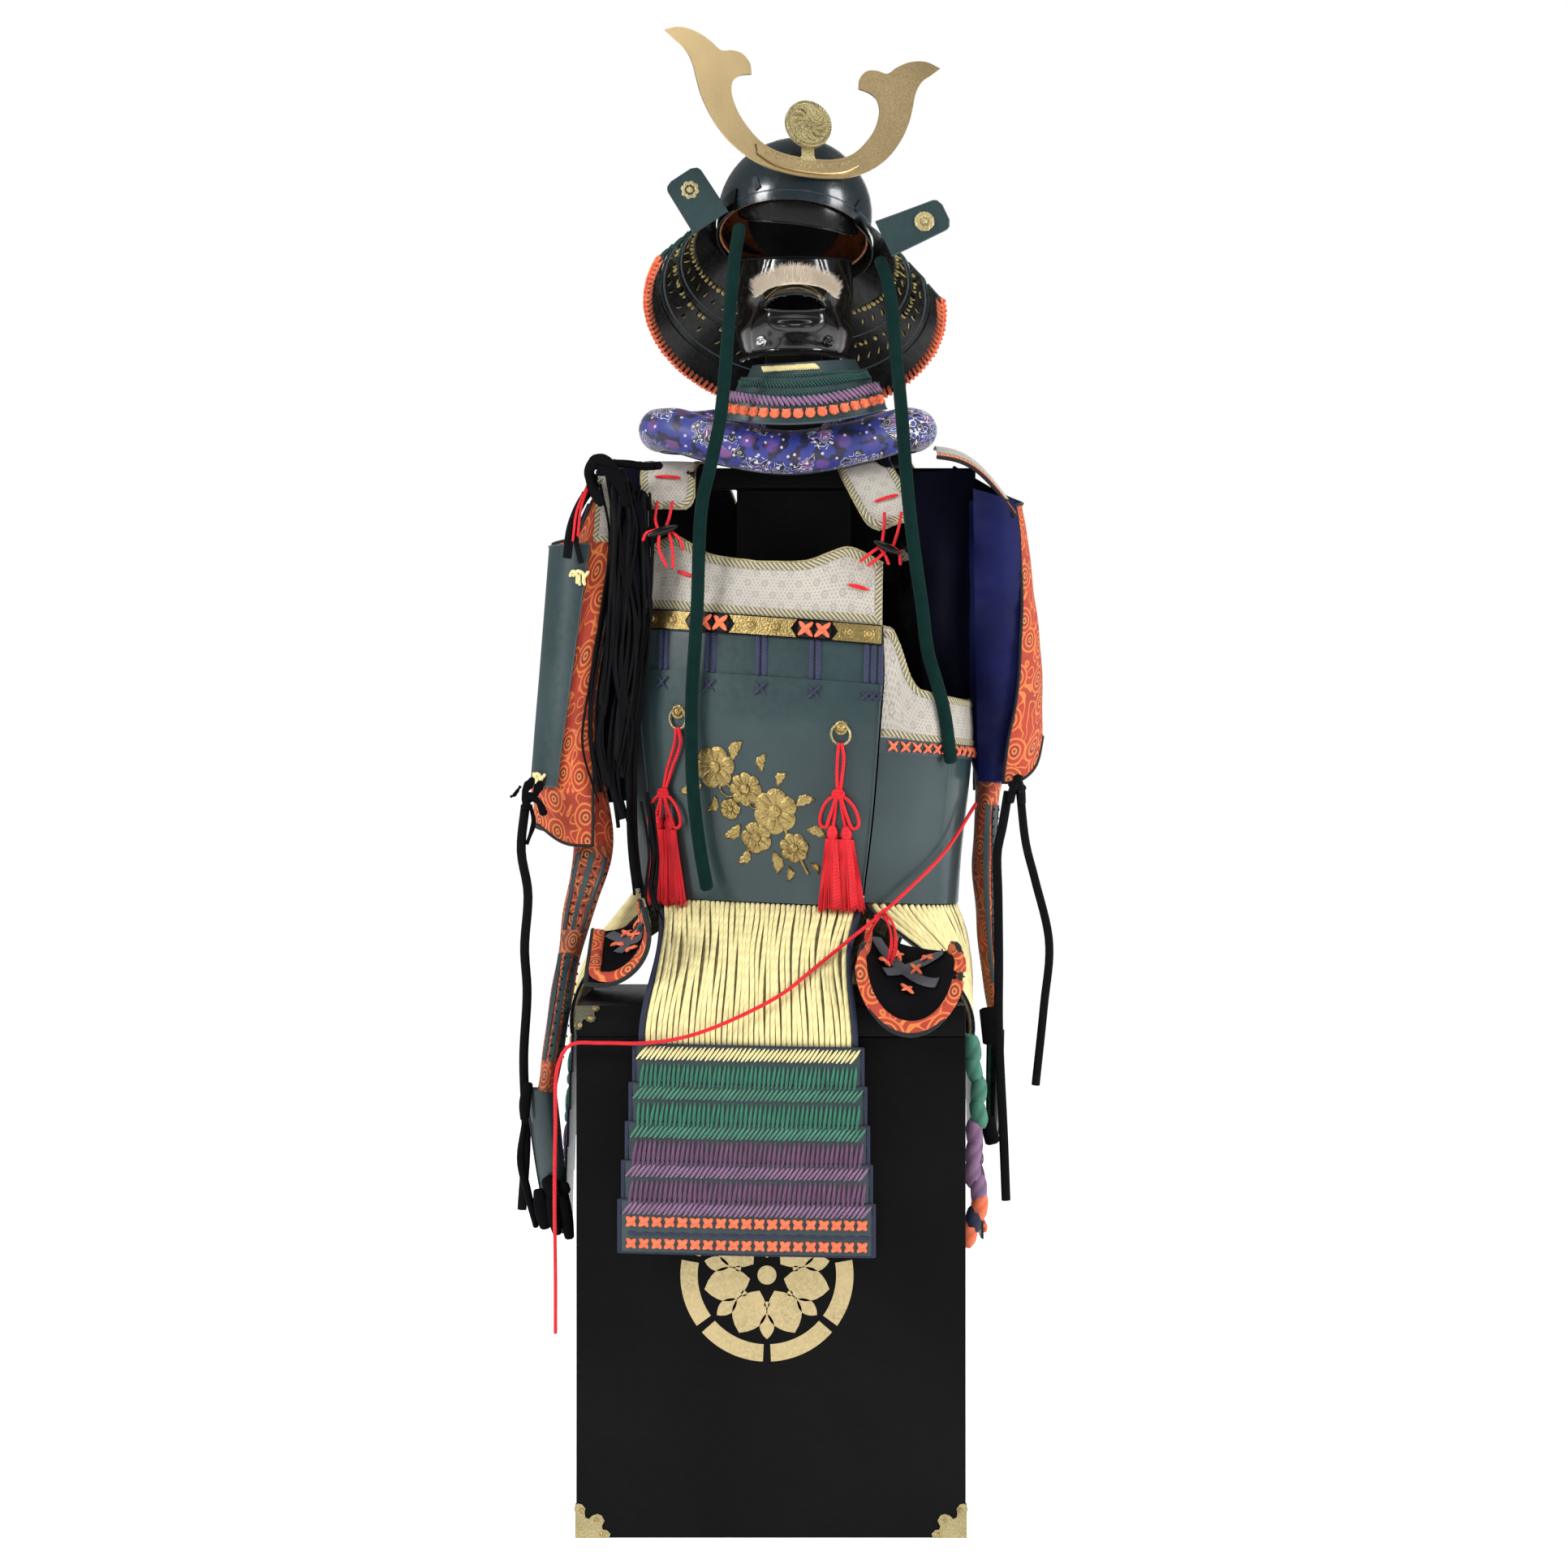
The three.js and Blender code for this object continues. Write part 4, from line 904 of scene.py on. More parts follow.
# ---------------------------------------------------------------- repeated small pieces
def make_repeater():
    """Sets copies of a small shape on points that carry their own turn and size."""
    tree = bpy.data.node_groups.new("Set in rows", "GeometryNodeTree")
    face = tree.interface
    face.new_socket("Geometry", in_out="INPUT", socket_type="NodeSocketGeometry")
    face.new_socket("Shape", in_out="INPUT", socket_type="NodeSocketObject")
    face.new_socket("Finish", in_out="INPUT", socket_type="NodeSocketMaterial")
    for label, value in (("Scale", 1.0), ("Loose", 0.0), ("Vary", 0.0)):
        face.new_socket(label, in_out="INPUT", socket_type="NodeSocketFloat").default_value = value
    face.new_socket("Seed", in_out="INPUT", socket_type="NodeSocketInt").default_value = 3
    face.new_socket("Geometry", in_out="OUTPUT", socket_type="NodeSocketGeometry")
    taken = tree.nodes.new("NodeGroupInput").outputs
    given = tree.nodes.new("NodeGroupOutput").inputs
    turn = add_node(tree, "GeometryNodeInputNamedAttribute", {"Name": "turn"}, data_type="QUATERNION")
    size = add_node(tree, "GeometryNodeInputNamedAttribute", {"Name": "size"}, data_type="FLOAT_VECTOR")
    shape = add_node(tree, "GeometryNodeObjectInfo", {"Object": taken["Shape"]})
    low = add_node(tree, "ShaderNodeMath", {0: 1.0, 1: taken["Vary"]}, operation="SUBTRACT")
    high = add_node(tree, "ShaderNodeMath", {0: 1.0, 1: taken["Vary"]}, operation="ADD")
    vary = add_node(
        tree, "FunctionNodeRandomValue", {2: low.outputs[0], 3: high.outputs[0], "Seed": taken["Seed"]},
        data_type="FLOAT",
    )
    scaled = add_node(tree, "ShaderNodeMath", {0: vary.outputs[1], 1: taken["Scale"]}, operation="MULTIPLY")
    full = add_node(
        tree, "ShaderNodeVectorMath", {0: size.outputs[0], "Scale": scaled.outputs[0]}, operation="SCALE"
    )
    back = add_node(tree, "ShaderNodeMath", {0: taken["Loose"], 1: -1.0}, operation="MULTIPLY")
    slack = add_node(
        tree, "FunctionNodeRandomValue", {0: back.outputs[0], 1: taken["Loose"], "Seed": taken["Seed"]},
        data_type="FLOAT_VECTOR",
    )
    place = add_node(tree, "GeometryNodeInstanceOnPoints", {
        "Points": taken[
            "Geometry"
        ], "Instance": shape.outputs["Geometry"], "Rotation": turn.outputs[0], "Scale": full.outputs[0],
    })
    ease = add_node(
        tree, "GeometryNodeRotateInstances", {"Instances": place.outputs[0], "Rotation": slack.outputs[0]}
    )
    real = add_node(tree, "GeometryNodeRealizeInstances", {"Geometry": ease.outputs[0]})
    coat = add_node(
        tree, "GeometryNodeSetMaterial", {"Geometry": real.outputs[0], "Material": taken["Finish"]}
    )
    tree.links.new(coat.outputs[0], given[0])
    return tree


REPEATER = make_repeater()


def repeat(name, shape, places, finish, loose=0.0, vary=0.0, scale=1.0, seed=3):
    """One piece of many copies: places are (point, turn as a 3x3 matrix, size in millimetres)."""
    mesh = bpy.data.meshes.new(name)
    mesh.from_pydata([p * MM for p, _, _ in places], [], [])
    turn = mesh.attributes.new("turn", "QUATERNION", "POINT")
    turn.data.foreach_set("value", [x for _, m, _ in places for x in m.to_quaternion()])
    size = mesh.attributes.new("size", "FLOAT_VECTOR", "POINT")
    size.data.foreach_set("vector", [x * MM for _, _, s in places for x in s])
    host = bpy.data.objects.new(name + "_host", mesh)
    bpy.context.scene.collection.objects.link(host)
    rows = host.modifiers.new("Rows", "NODES")
    rows.node_group = REPEATER
    wanted = {
        "Shape": SHAPE[shape], "Finish": FINISH[finish], "Scale": scale, "Loose": loose, "Vary": vary,
        "Seed": seed,
    }
    for item in REPEATER.interface.items_tree:
        if item.in_out == "INPUT" and item.name in wanted:
            rows[item.identifier] = wanted[item.name]
    depsgraph = bpy.context.evaluated_depsgraph_get()
    plain = bpy.data.meshes.new_from_object(host.evaluated_get(depsgraph))
    plain.name = name
    bpy.data.objects.remove(host)
    for extra in [a.name for a in plain.attributes if a.name in ("turn", "size")]:
        plain.attributes.remove(plain.attributes[extra])
    plain.shade_smooth()
    plain.set_sharp_from_angle(angle=rad(50))
    return placed(name, plain, [finish])


def axes(x, y):
    """A turn whose own X runs along x, Z along x cross y and Y squared to them, as a matrix."""
    x = Vector(x).normalized()
    z = x.cross(Vector(y)).normalized()
    return Matrix((x, z.cross(x), z)).transposed()


def on(face, u, v, lift=0.0, turn=0.0):
    """A place on a surface: its point lifted off it, and a turn with X across, Y up and Z out."""
    p, du, dv, n = frame_of(face, u, v)
    across = du * math.cos(turn) - dv * math.sin(turn)
    m = Matrix((across, n.cross(across), n)).transposed()
    return p + n * lift, m


def hanging(down):
    """A turn whose Y runs along down."""
    x, y = down.orthogonal().normalized(), down.normalized()
    return Matrix((x, y, x.cross(y))).transposed()


SHAPE = {}
# Finishes of an outer side and an inner side, and half a turn that faces a place the other way.
LACQUERED = ["lacquer_green", "lacquer_black"]
LEATHER = ["printed_leather", "lacquer_black"]
OVER = Matrix.Rotation(math.pi, 3, "X")


def keep_shape(name, heap):
    """A small shape kept out of sight, one unit across, for the rows to copy."""
    mesh = bpy.data.meshes.new("shape_" + name)
    mesh.from_pydata(heap.points, [], heap.faces)
    layer = mesh.uv_layers.new(name="UVMap")
    layer.data.foreach_set("uv", [c * 6 for face in heap.uvs for uv in face for c in uv])
    bm = bmesh.new()
    bm.from_mesh(mesh)
    bmesh.ops.remove_doubles(bm, verts=bm.verts, dist=1e-4)
    bmesh.ops.recalc_face_normals(bm, faces=bm.faces)
    bm.to_mesh(mesh)
    bm.free()
    SHAPE[name] = bpy.data.objects.new("shape_" + name, mesh)


def facing(out):
    """A turn whose Z runs along out."""
    return axes(out.orthogonal(), out.cross(out.orthogonal()))


def dome_rows(profile, sides, petals=0, depth=0.0):
    """Rings of a turned or petalled shape from (radius, height) rows."""
    rows = []
    for r, h in profile:
        ring = []
        for k in range(sides):
            a = 2 * math.pi * k / sides
            reach = r * (1 + depth * math.cos(petals * a)) if petals else r
            ring.append(V(reach * math.cos(a), reach * math.sin(a), h))
        rows.append(ring)
    return rows


def make_shapes():
    # A stitch lies along Y: it rises out of the plate at both ends and is round across.
    heap = Heap()
    arch = [V(0, mix(-0.5, 0.5, t), 0.26 * math.sin(math.pi * t) ** 0.4 - 0.02) for t in steps(6)]
    heap.tube(
        arch, lambda t: (0.4 + 0.1 * math.sin(math.pi * t) ** 0.5, 0.3 + 0.08 * math.sin(math.pi * t)), 6,
        (1, 0, 0),
    )
    keep_shape("stitch", heap)
    # A boss is a half ball on a low rim.
    heap = Heap()
    rows = dome_rows(
        [(0.5, -0.1), (0.5, 0.06), (0.44, 0.1), (0.34, 0.1), (0.32, 0.2), (0.24, 0.32), (0.1, 0.38)], 12
    )
    heap.solid(rows)
    keep_shape("boss", heap)
    # A rivet is a plain low dome.
    heap = Heap()
    rows = dome_rows([(0.5, -0.1), (0.5, 0.02), (0.42, 0.16), (0.24, 0.26), (0.08, 0.3)], 10)
    heap.solid(rows)
    keep_shape("rivet", heap)
    # A rosette has eight petals round a bead, on a thin disc.
    heap = Heap()
    rows = dome_rows([(0.5, -0.05), (0.5, 0.05)], 32)
    heap.grid(rows, wrap=True)
    heap.fan(rows[0], flip=True)
    petals = dome_rows([(0.48, 0.05), (0.42, 0.12), (0.3, 0.13), (0.2, 0.06)], 32, 8, 0.1)
    heap.grid([rows[-1]] + petals, wrap=True)
    bead = dome_rows([(0.18, 0.06), (0.16, 0.16), (0.08, 0.22)], 32)
    heap.grid([petals[-1]] + bead, wrap=True)
    heap.fan(bead[-1])
    keep_shape("rosette", heap)
    # A thread hangs down its own Y, thin and slightly tapered. A hair is the same with a point.
    for name, tip in (("thread", 0.85), ("hair", 0.15)):
        heap = Heap()
        line = [V(0, -t, 0) for t in steps(2)]
        heap.tube(line, lambda t, tip=tip: (0.5 * mix(1, tip, t),) * 2, 4, (1, 0, 0), round_ends=False)
        keep_shape(name, heap)


make_shapes()


def cross_stitches(places, wide, long, thick):
    """Two stitches crossed over each place, as (point, turn, size) rows."""
    found = []
    for p, m in places:
        for k, angle in enumerate((45, -45)):
            spin = Matrix.Rotation(rad(angle), 3, "Z")
            found.append((p + m.col[2] * (k * thick * 0.25), m @ spin, (wide, long, thick)))
    return found


def trim(heap, face, route, wide, lift=0.5, thick=0.7, count=40):
    """A flat band laid on a surface along route(t), which gives (u, v)."""
    line, sides = [], []
    spots = [frame_of(face, *route(t)) for t in steps(count)]
    for j, (p, _, _, n) in enumerate(spots):
        ahead = spots[min(j + 1, count)][0]
        behind = spots[max(j - 1, 0)][0]
        line.append(p + n * lift)
        sides.append((ahead - behind).cross(n).normalized())
    return heap.tube(line, even(wide / 2, thick), 8, lambda j: sides[j])


def spot(face, x, z):
    """The (u, v) of the surface's point that stands at x and z, on the side that faces forward."""
    best = None
    for v in steps(28):
        for u in steps(56):
            p = face(u, v)
            away = (p.x - x) ** 2 + (p.z - z) ** 2 + p.y * 0.02
            if best is None or away < best[0]:
                best = (away, u, v)
    return best[1], best[2]


def softened(node, finish, width):
    """A CAD board with its edges rounded."""
    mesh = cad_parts[node].data.copy()
    bm = bmesh.new()
    bm.from_mesh(mesh)
    bmesh.ops.remove_doubles(bm, verts=bm.verts, dist=1e-5)
    bmesh.ops.dissolve_limit(bm, angle_limit=rad(1), verts=bm.verts, edges=bm.edges)
    sharp = [e for e in bm.edges if len(e.link_faces) == 2 and e.calc_face_angle(0) > rad(30)]
    bmesh.ops.bevel(bm, geom=sharp, offset=width * MM, segments=2, affect="EDGES", profile=0.6)
    bmesh.ops.triangulate(bm, faces=[f for f in bm.faces if len(f.verts) > 4])
    bm.to_mesh(mesh)
    bm.free()
    mesh.shade_smooth()
    mesh.set_sharp_from_angle(angle=rad(35))
    return placed(node + "_finished", mesh, [finish], [node])


# ---------------------------------------------------------------- chest and stand
ROUNDEL = {"x": -4.7, "z": 303.8, "r": 100}
# A corner fitting: three lobes on a plate that hugs the corner, as (across, up) from the corner.
FITTING = [
    (0, 0), (38, 0), (40, 5), (36, 9), (31, 10), (30, 14), (33, 20), (30, 26), (25, 28), (19, 26), (15, 22),
    (11, 24), (10, 29), (11, 34), (7, 39), (2, 40), (0, 38),
]


def arc_tile(x, z, inner, outer, a, b, count=10):
    """Outline of a piece of a ring between two radii and two angles, in degrees."""
    turns = [rad(mix(a, b, t)) for t in steps(count)]
    rim = [(x + outer * math.cos(t), z + outer * math.sin(t)) for t in turns]
    return rim + [(x + inner * math.cos(t), z + inner * math.sin(t)) for t in reversed(turns)]


def disc_tile(x, z, r, turn):
    """Outline of a disc, with a corner every so many degrees."""
    return [(x + r * math.cos(rad(t)), z + r * math.sin(rad(t))) for t in range(0, 360, turn)]


def lens(x, z, a, near, far, half, count=9):
    """Outline of a pointed petal from radius near to radius far at an angle in degrees."""
    c, s = math.cos(rad(a)), math.sin(rad(a))
    side = [(mix(near, far, t), half * math.sin(math.pi * t) ** 0.8) for t in steps(count)]
    rim = side + [(r, -w) for r, w in reversed(side[1:-1])]
    return [(x + r * c - w * s, z + r * s + w * c) for r, w in rim]


def make_chest():
    softened("chest_body", "wood_black", 1.6)
    softened("chest_lid", "wood_black", 1.6)
    softened("stand_frame", "wood_black", 1.5)
    heap = Heap()
    x, z, r = ROUNDEL["x"], ROUNDEL["z"], ROUNDEL["r"]
    face = lambda a, b, h: V(a, CHEST_FRONT - h, b)
    count = 7
    for k in range(count):
        a = 90 + 360 * k / count
        heap.slab(arc_tile(x, z, r * 0.8, r, a - 23, a + 23, 12), 0.5, face)
        heap.slab(lens(x, z, a, r * 0.2, r * 0.74, r * 0.2), 0.5, face)
        heap.slab(lens(x, z, a + 180 / count, r * 0.44, r * 0.74, r * 0.085), 0.5, face)
        dot = rad(a + 180 / count)
        heap.slab(disc_tile(x + r * 0.34 * math.cos(dot), z + r * 0.34 * math.sin(dot), 3.4, 30), 0.5, face)
    heap.slab(disc_tile(x, z, 11, 15), 0.5, face)
    made("chest_roundel", heap, ["roundel_gold"], 30)

    heap, lid_corners = Heap(), Heap()
    rivets = []
    corners = (
        [(sx, sy, 0, 1) for sx in (-1, 1) for sy in (-1, 1)]
        + [(-1, sy, CHEST["high"], -1) for sy in (-1, 1)]
    )
    for sx, sy, base, up in corners:
        scale = 0.7 if base else 1.0

        def on_front(a, b, h):
            return V(sx * (CHEST_SIDE + 0.4 - a * scale), sy * (-CHEST_FRONT + h), base + up * b * scale)

        def on_side(a, b, h):
            return V(sx * (CHEST_SIDE + h), sy * (-CHEST_FRONT + 0.4 - a * scale), base + up * b * scale)
        for place in (on_front, on_side):
            (lid_corners if base else heap).slab(FITTING, 1.2, place)
            for a, b in ((7, 32), (31, 4), (24, 21)):
                p = place(a, b, 1.2)
                out = (place(a, b, 2.2) - p).normalized()
                rivets.append((p, facing(out), (6, 6, 5)))
    made("chest_corners", heap, ["old_gold"], 30)
    # The lid's corner fittings take the darkened brass: painted shade.
    made("chest_lid_corners", lid_corners, ["brass_painted_shade"], 30)
    repeat("chest_corner_rivets", "rivet", rivets, "gilt")
    # The padded block that carries the helmet.
    x0, x1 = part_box("stand_head")
    heap = Heap()
    c, half_size = (x0 + x1) / 2 / MM, (x1 - x0) / 2 / MM
    rows = []
    for v in steps(14)[1:-1]:
        rise = math.pi * (v - 0.5)
        wide, deep = half_size.x * math.cos(rise), half_size.y * math.cos(rise)
        rows.append(
            [
                c + V(wide * math.cos(a), deep * math.sin(a), half_size.z * math.sin(rise))
                for a in around(28)
            ]
        )
    heap.solid(rows)
    made("stand_head_block", heap, ["crepe_black"], 60, ["stand_head"])


# ---------------------------------------------------------------- body armour
TURN = rad(BODY["turn"])


def signed(c, power):
    return math.copysign(abs(c) ** power, c)


def body_wide(z, x):
    return read(BODY_WIDE, z) * (BODY["left"] if x < 0 else BODY["right"])


def body(angle, z, out):
    """A point of the body's surface at an angle and a height, out millimetres further out."""
    power = 2 / BODY["power"]
    x = (body_wide(z, math.cos(angle)) + out) * signed(math.cos(angle), power)
    y = (read(BODY_DEEP, z) + out) * signed(math.sin(angle), power)
    px = x * math.cos(TURN) - y * math.sin(TURN)
    py = x * math.sin(TURN) + y * math.cos(TURN)
    return V(BODY["x"] + px, py, z - px * read(BODY_TILT, z))


def angle_at(x, z, out, front_side=True):
    c = signed(x / (body_wide(z, x) + out), BODY["power"] / 2)
    return (-1 if front_side else 1) * math.acos(max(-1, min(1, c)))


def front(x, z, out):
    return body(angle_at(x, z, out), z, out)


def half(z):
    return read(FRONT_HALF, z)


def band(top, low, out, half_of=half):
    """A face on the front between two heights, as wide as the front plate."""
    def face(u, v):
        z = mix(top, low, v)
        return front(mix(-half_of(z), half_of(z), u), z, out)
    return face


def flank(right, top, bottom, out):
    def face(u, v):
        along = u if right else 1 - u
        z = mix(top(along), bottom, v)
        x = (half(min(z, 1160)) + 1) * (1 if right else -1)
        a, b = angle_at(x, z, out), angle_at(x, z, out, False)
        return body(mix(a, b, u), z, out) if right else body(mix(b, a + 2 * math.pi, u), z, out)
    return face


def leather_face(u, v):
    x = mix(-1, 1, u)
    z = mix(read(NECKLINE, abs(x) * 148), BAND_TOP - 0.7, v)
    return front(x * half(z), z, -2.6)


def rear(u, v):
    z = mix(1168 - 26 * math.sin(math.pi * u), 735, v)
    x = half(min(z, 1160))
    return body(mix(angle_at(x, z, 0, False), angle_at(-x, z, 0, False), u), z, 0)


LACED = {"cord_x": (-116, -54, 10, 75, 142), "gap": 4.0}


def make_body():
    heap = Heap()
    plate = band(CHEST_SEAM, HEM, 0)
    heap.wall(plate, 48, 16, SHEET, marks=(0, 1, 0))
    made("front_plate_lacquered", heap, LACQUERED, 40, ["front_plate"])
    heap = Heap()
    for x in (-1, 1):
        line = [
            front(x * (half(z) - 1), z, 0.6) for z in [mix(CHEST_SEAM - 1, HEM + 1, t) for t in steps(18)]
        ]
        heap.tube(line, even(1.2), 6)
    made("front_plate_edges", heap, ["lacquer_dull"])
    made(
        "front_upper_lame_lacquered",
        Heap().wall(band(BAND_TOP - 1, CHEST_SEAM - 10, -2.6), 48, 6, SHEET, marks=(0, 1, 0)), LACQUERED,
        40, ["front_upper_lame"],
    )

    # White printed leather over the chest, with braid along its edges.
    made(
        "chest_leather_printed", Heap().wall(leather_face, 70, 10, SHEET, marks=(0, 1, 0)), LEATHER, 40,
        ["chest_leather"],
    )
    heap = Heap()
    for down in (0.07, 0.92):
        trim(heap, leather_face, lambda t: (mix(0.012, 0.988, t), down), 10, 0.5, 0.7, 90)
    for across in (0.014, 0.986):
        trim(heap, leather_face, lambda t: (across, mix(0.05, 0.95, t)), 8, 0.6, 0.7, 24)
    made("chest_leather_braid", heap, ["braid_trim"], 60)
    made(
        "chest_leather_piping",
        Heap().tube([leather_face(t, 0) + V(0, -0.4, 0.4) for t in steps(60)], even(1.3), 6),
        ["old_gold"], 60,
    )

    # Gilt band: swallow-tailed plates on a lacquered strip, with crossed knots between them.
    made(
        "gilt_band_strip", Heap().wall(band(BAND_TOP, BAND_LOW, 0.6), 48, 2, 2.2), ["lacquer_black"], 40,
        ["gilt_band"],
    )
    heap = Heap()
    bosses, knots = [], []
    top, low = BAND_TOP - 1.5, BAND_LOW + 1.5
    for x0, x1, notch in ((-150, -80, 0), (-30, 53, 1), (95, 151, 2)):
        def tongue(u, v, x0=x0, x1=x1, notch=notch):
            nip = 7 * (1 - abs(2 * v - 1))
            a = x0 + (nip if notch else 0)
            b = x1 - (nip if notch != 2 else 0)
            return front(mix(a, b, u), mix(top, low, v), 2.0)
        heap.wall(tongue, 16, 4, 1.6)
        for s in (0.28, 0.72):
            bosses.append((*on(tongue, s, 0.5, 0.3), (13, 13, 10)))
    made("gilt_band_plates", heap, ["gilt"], 35)
    repeat("gilt_band_bosses", "boss", bosses, "gilt")
    strip = band(BAND_TOP, BAND_LOW, 0.6)
    for x in (-61, -41, 64, 84):
        u = (x / half(1055) + 1) / 2
        knots.append(on(strip, u, 0.5, 1.2))
    repeat("gilt_band_knots", "stitch", cross_stitches(knots, 6.5, 16, 7), "cord_orange", 0.05, 0.05)
    repeat(
        "gilt_band_knot_backs", "rivet", [(p - m.col[2] * 1.0, m, (20, 20, 3)) for p, m in knots],
        "piping_black",
    )

    # Pairs of vertical cords on the upper plate and a small cross stitch below each.
    heap = Heap()
    crosses = []
    for k, x in enumerate(LACED["cord_x"]):
        shifts = (-1, 1) if k < 4 else (-2, 0, 2)
        for s in shifts:
            at = x + s * LACED["gap"]
            line = [front(at, z, -1.4) for z in [mix(BAND_LOW + 1, CHEST_SEAM + 1, t) for t in steps(8)]]
            heap.tube(line, even(3, 1.3), 8, (1, 0, 0))
            if k == 4:
                crosses.append(on(plate, (at / half(982) + 1) / 2, 0.055, 0.4))
        if k < 4:
            crosses.append(on(plate, (x / half(982) + 1) / 2, 0.055, 0.4))
    made("upper_lame_cords", heap, ["cord_navy"], 60)
    repeat(
        "plate_crosses", "stitch",
        cross_stitches(crosses[:4], 3, 15, 4) + cross_stitches(crosses[4:], 2.4, 10, 3), "cord_navy",
    )

    # Sides and back.
    for name, right in (("left", False), ("right", True)):
        heap = Heap()
        low_side = flank(right, lambda t: SIDE_SEAM, 735, -3)
        heap.wall(low_side, 30, 10, SHEET, marks=(0, 1, 0))
        made(f"side_plate_{name}_lacquered", heap, LACQUERED, 40, [f"side_plate_{name}"])
        heap = Heap()
        high_side = flank(right, lambda t: read(ARMHOLE, t), SIDE_SEAM + 0.3, -3)
        heap.wall(high_side, 60, 8, SHEET, marks=(0, 1, 0))
        made(f"side_leather_{name}_printed", heap, LEATHER, 40, [f"side_leather_{name}"])
        heap = Heap()
        trim(heap, high_side, lambda t: (mix(0.004, 0.996, t), 0.07), 8, 0.5, 0.7, 90)
        trim(heap, high_side, lambda t: (mix(0.004, 0.996, t), 0.95), 8, 0.5, 0.7, 60)
        made(f"side_leather_{name}_braid", heap, ["braid_trim"], 60)
        made(
            f"side_leather_{name}_piping",
            Heap().tube([high_side(t, 0) for t in steps(70)], even(1.3), 6), ["old_gold"], 60,
        )
        strip = flank(right, lambda t: SIDE_SEAM + 1, SIDE_SEAM - 18, -2.2)
        made(f"side_strip_{name}", Heap().wall(strip, 30, 1, 0.7), ["lacquer_dull"])
        knots = [on(strip, t, 0.5, 0.6) for t in steps(20)[1:-1]]
        repeat(f"side_knots_{name}", "stitch", cross_stitches(knots, 3.8, 11, 4.4), "cord_orange", 0.06, 0.05)
    made(
        "back_plate_lacquered", Heap().wall(rear, 40, 20, SHEET, marks=(0, 1, 0)), LACQUERED, 40,
        ["back_plate"],
    )
    rows = []
    for k in range(5):
        v = 0.24 + 0.15 * k
        rows += [(*on(rear, t, v, 0.3), (2.6, 13, 3)) for t in steps(54)[2:-2]]
    repeat("back_plate_lacing", "stitch", rows, "cord_navy", 0.05, 0.05)
    heap = Heap()
    for k in range(5):
        v = 0.24 + 0.15 * k + 0.024
        trim(heap, rear, lambda t, v=v: (mix(0.01, 0.99, t), v), 2.2, 0.3, 0.8, 40)
    trim(heap, rear, lambda t: (mix(0.01, 0.99, t), 0.02), 7, 0.4, 0.8, 40)
    made("back_plate_edges", heap, ["lacquer_dull"], 60)


STRAPS = {
    "left": [
        (-60, 144, 1118), (-62, 140, 1170), (-85, 88, 1238), (-112, 25, 1262), (-124, -44, 1250),
        (-123, -78, 1200),
    ],
    "right": [
        (190, 86, 1108), (187, 84, 1160), (150, 72, 1246), (122, 28, 1270), (
            110, -40, 1259
        ), (128, -92, 1216),
        (147, -116, 1178),
    ],
}
STRAP_SIDE = {"left": (1, 0.1, 0), "right": (0.97, 0.12, 0.12)}
# The lines of the braid and the piping on a strap, as (across, along) from 0 to 1.
STRAP_BRAID = [
    (0.07, 0.02), (0.07, 0.9), (0.12, 0.965), (0.5, 0.982), (0.88, 0.965), (0.93, 0.9), (0.93, 0.02)
]
STRAP_PIPING = [
    (0, 0), (0, 0.92), (0.03, 0.985), (0.12, 1), (0.5, 1), (0.88, 1), (0.97, 0.985), (1, 0.92), (1, 0),
]
# Where the red dash crosses each strap, as (across, along).
STRAP_DASH = {"left": (0.5, 0.875), "right": (0.58, 0.905)}
STRAP_TIES = [
    ((-136, -80, 1208), (-138, -98, 1186), (-134, -112, 1172)),
    ((-118, -80, 1208), (-122, -98, 1186), (-126, -112, 1172)),
    ((-132, -114, 1172), (-133, -124, 1150), (-124, -128, 1128)),
    ((-122, -114, 1172), (-117, -124, 1150), (-116, -130, 1126)),
    ((-118, -114, 1170), (-108, -122, 1160), (-104, -126, 1148)),
    ((-136, -114, 1172), (-148, -116, 1168), (-152, -112, 1160)),
    ((134, -114, 1192), (133, -126, 1172), (130, -136, 1152)),
    ((154, -118, 1192), (150, -128, 1172), (144, -136, 1152)),
    ((130, -138, 1152), (116, -142, 1142), (105, -142, 1133)),
    ((138, -138, 1150), (126, -143, 1137), (114, -144, 1128)),
    ((140, -138, 1152), (150, -138, 1144), (152, -136, 1130)),
    ((126, -138, 1152), (134, -140, 1140), (138, -142, 1130)),
]


def strap_face(name):
    """The strap's upper side: v runs from its back end to its rounded front end."""
    line = smooth_line(STRAPS[name], 60)
    side = Vector(STRAP_SIDE[name])

    def face(u, v):
        at = v * 60
        k = min(59, int(at))
        p = line[k].lerp(line[k + 1], at - k)
        along = (line[min(60, k + 2)] - line[max(0, k - 1)]).normalized()
        s = (side - along * side.dot(along)).normalized()
        f = along.cross(s)
        wide = read([(0, 27), (0.1, 29), (0.9, 32), (1, 32)], v)
        end = clamp((v - 0.93) / 0.07)
        wide *= 1 - 0.34 * end**3
        x = mix(-1, 1, u)
        return p + s * (x * wide) + f * (1.6 - 1.2 * x * x)
    return face


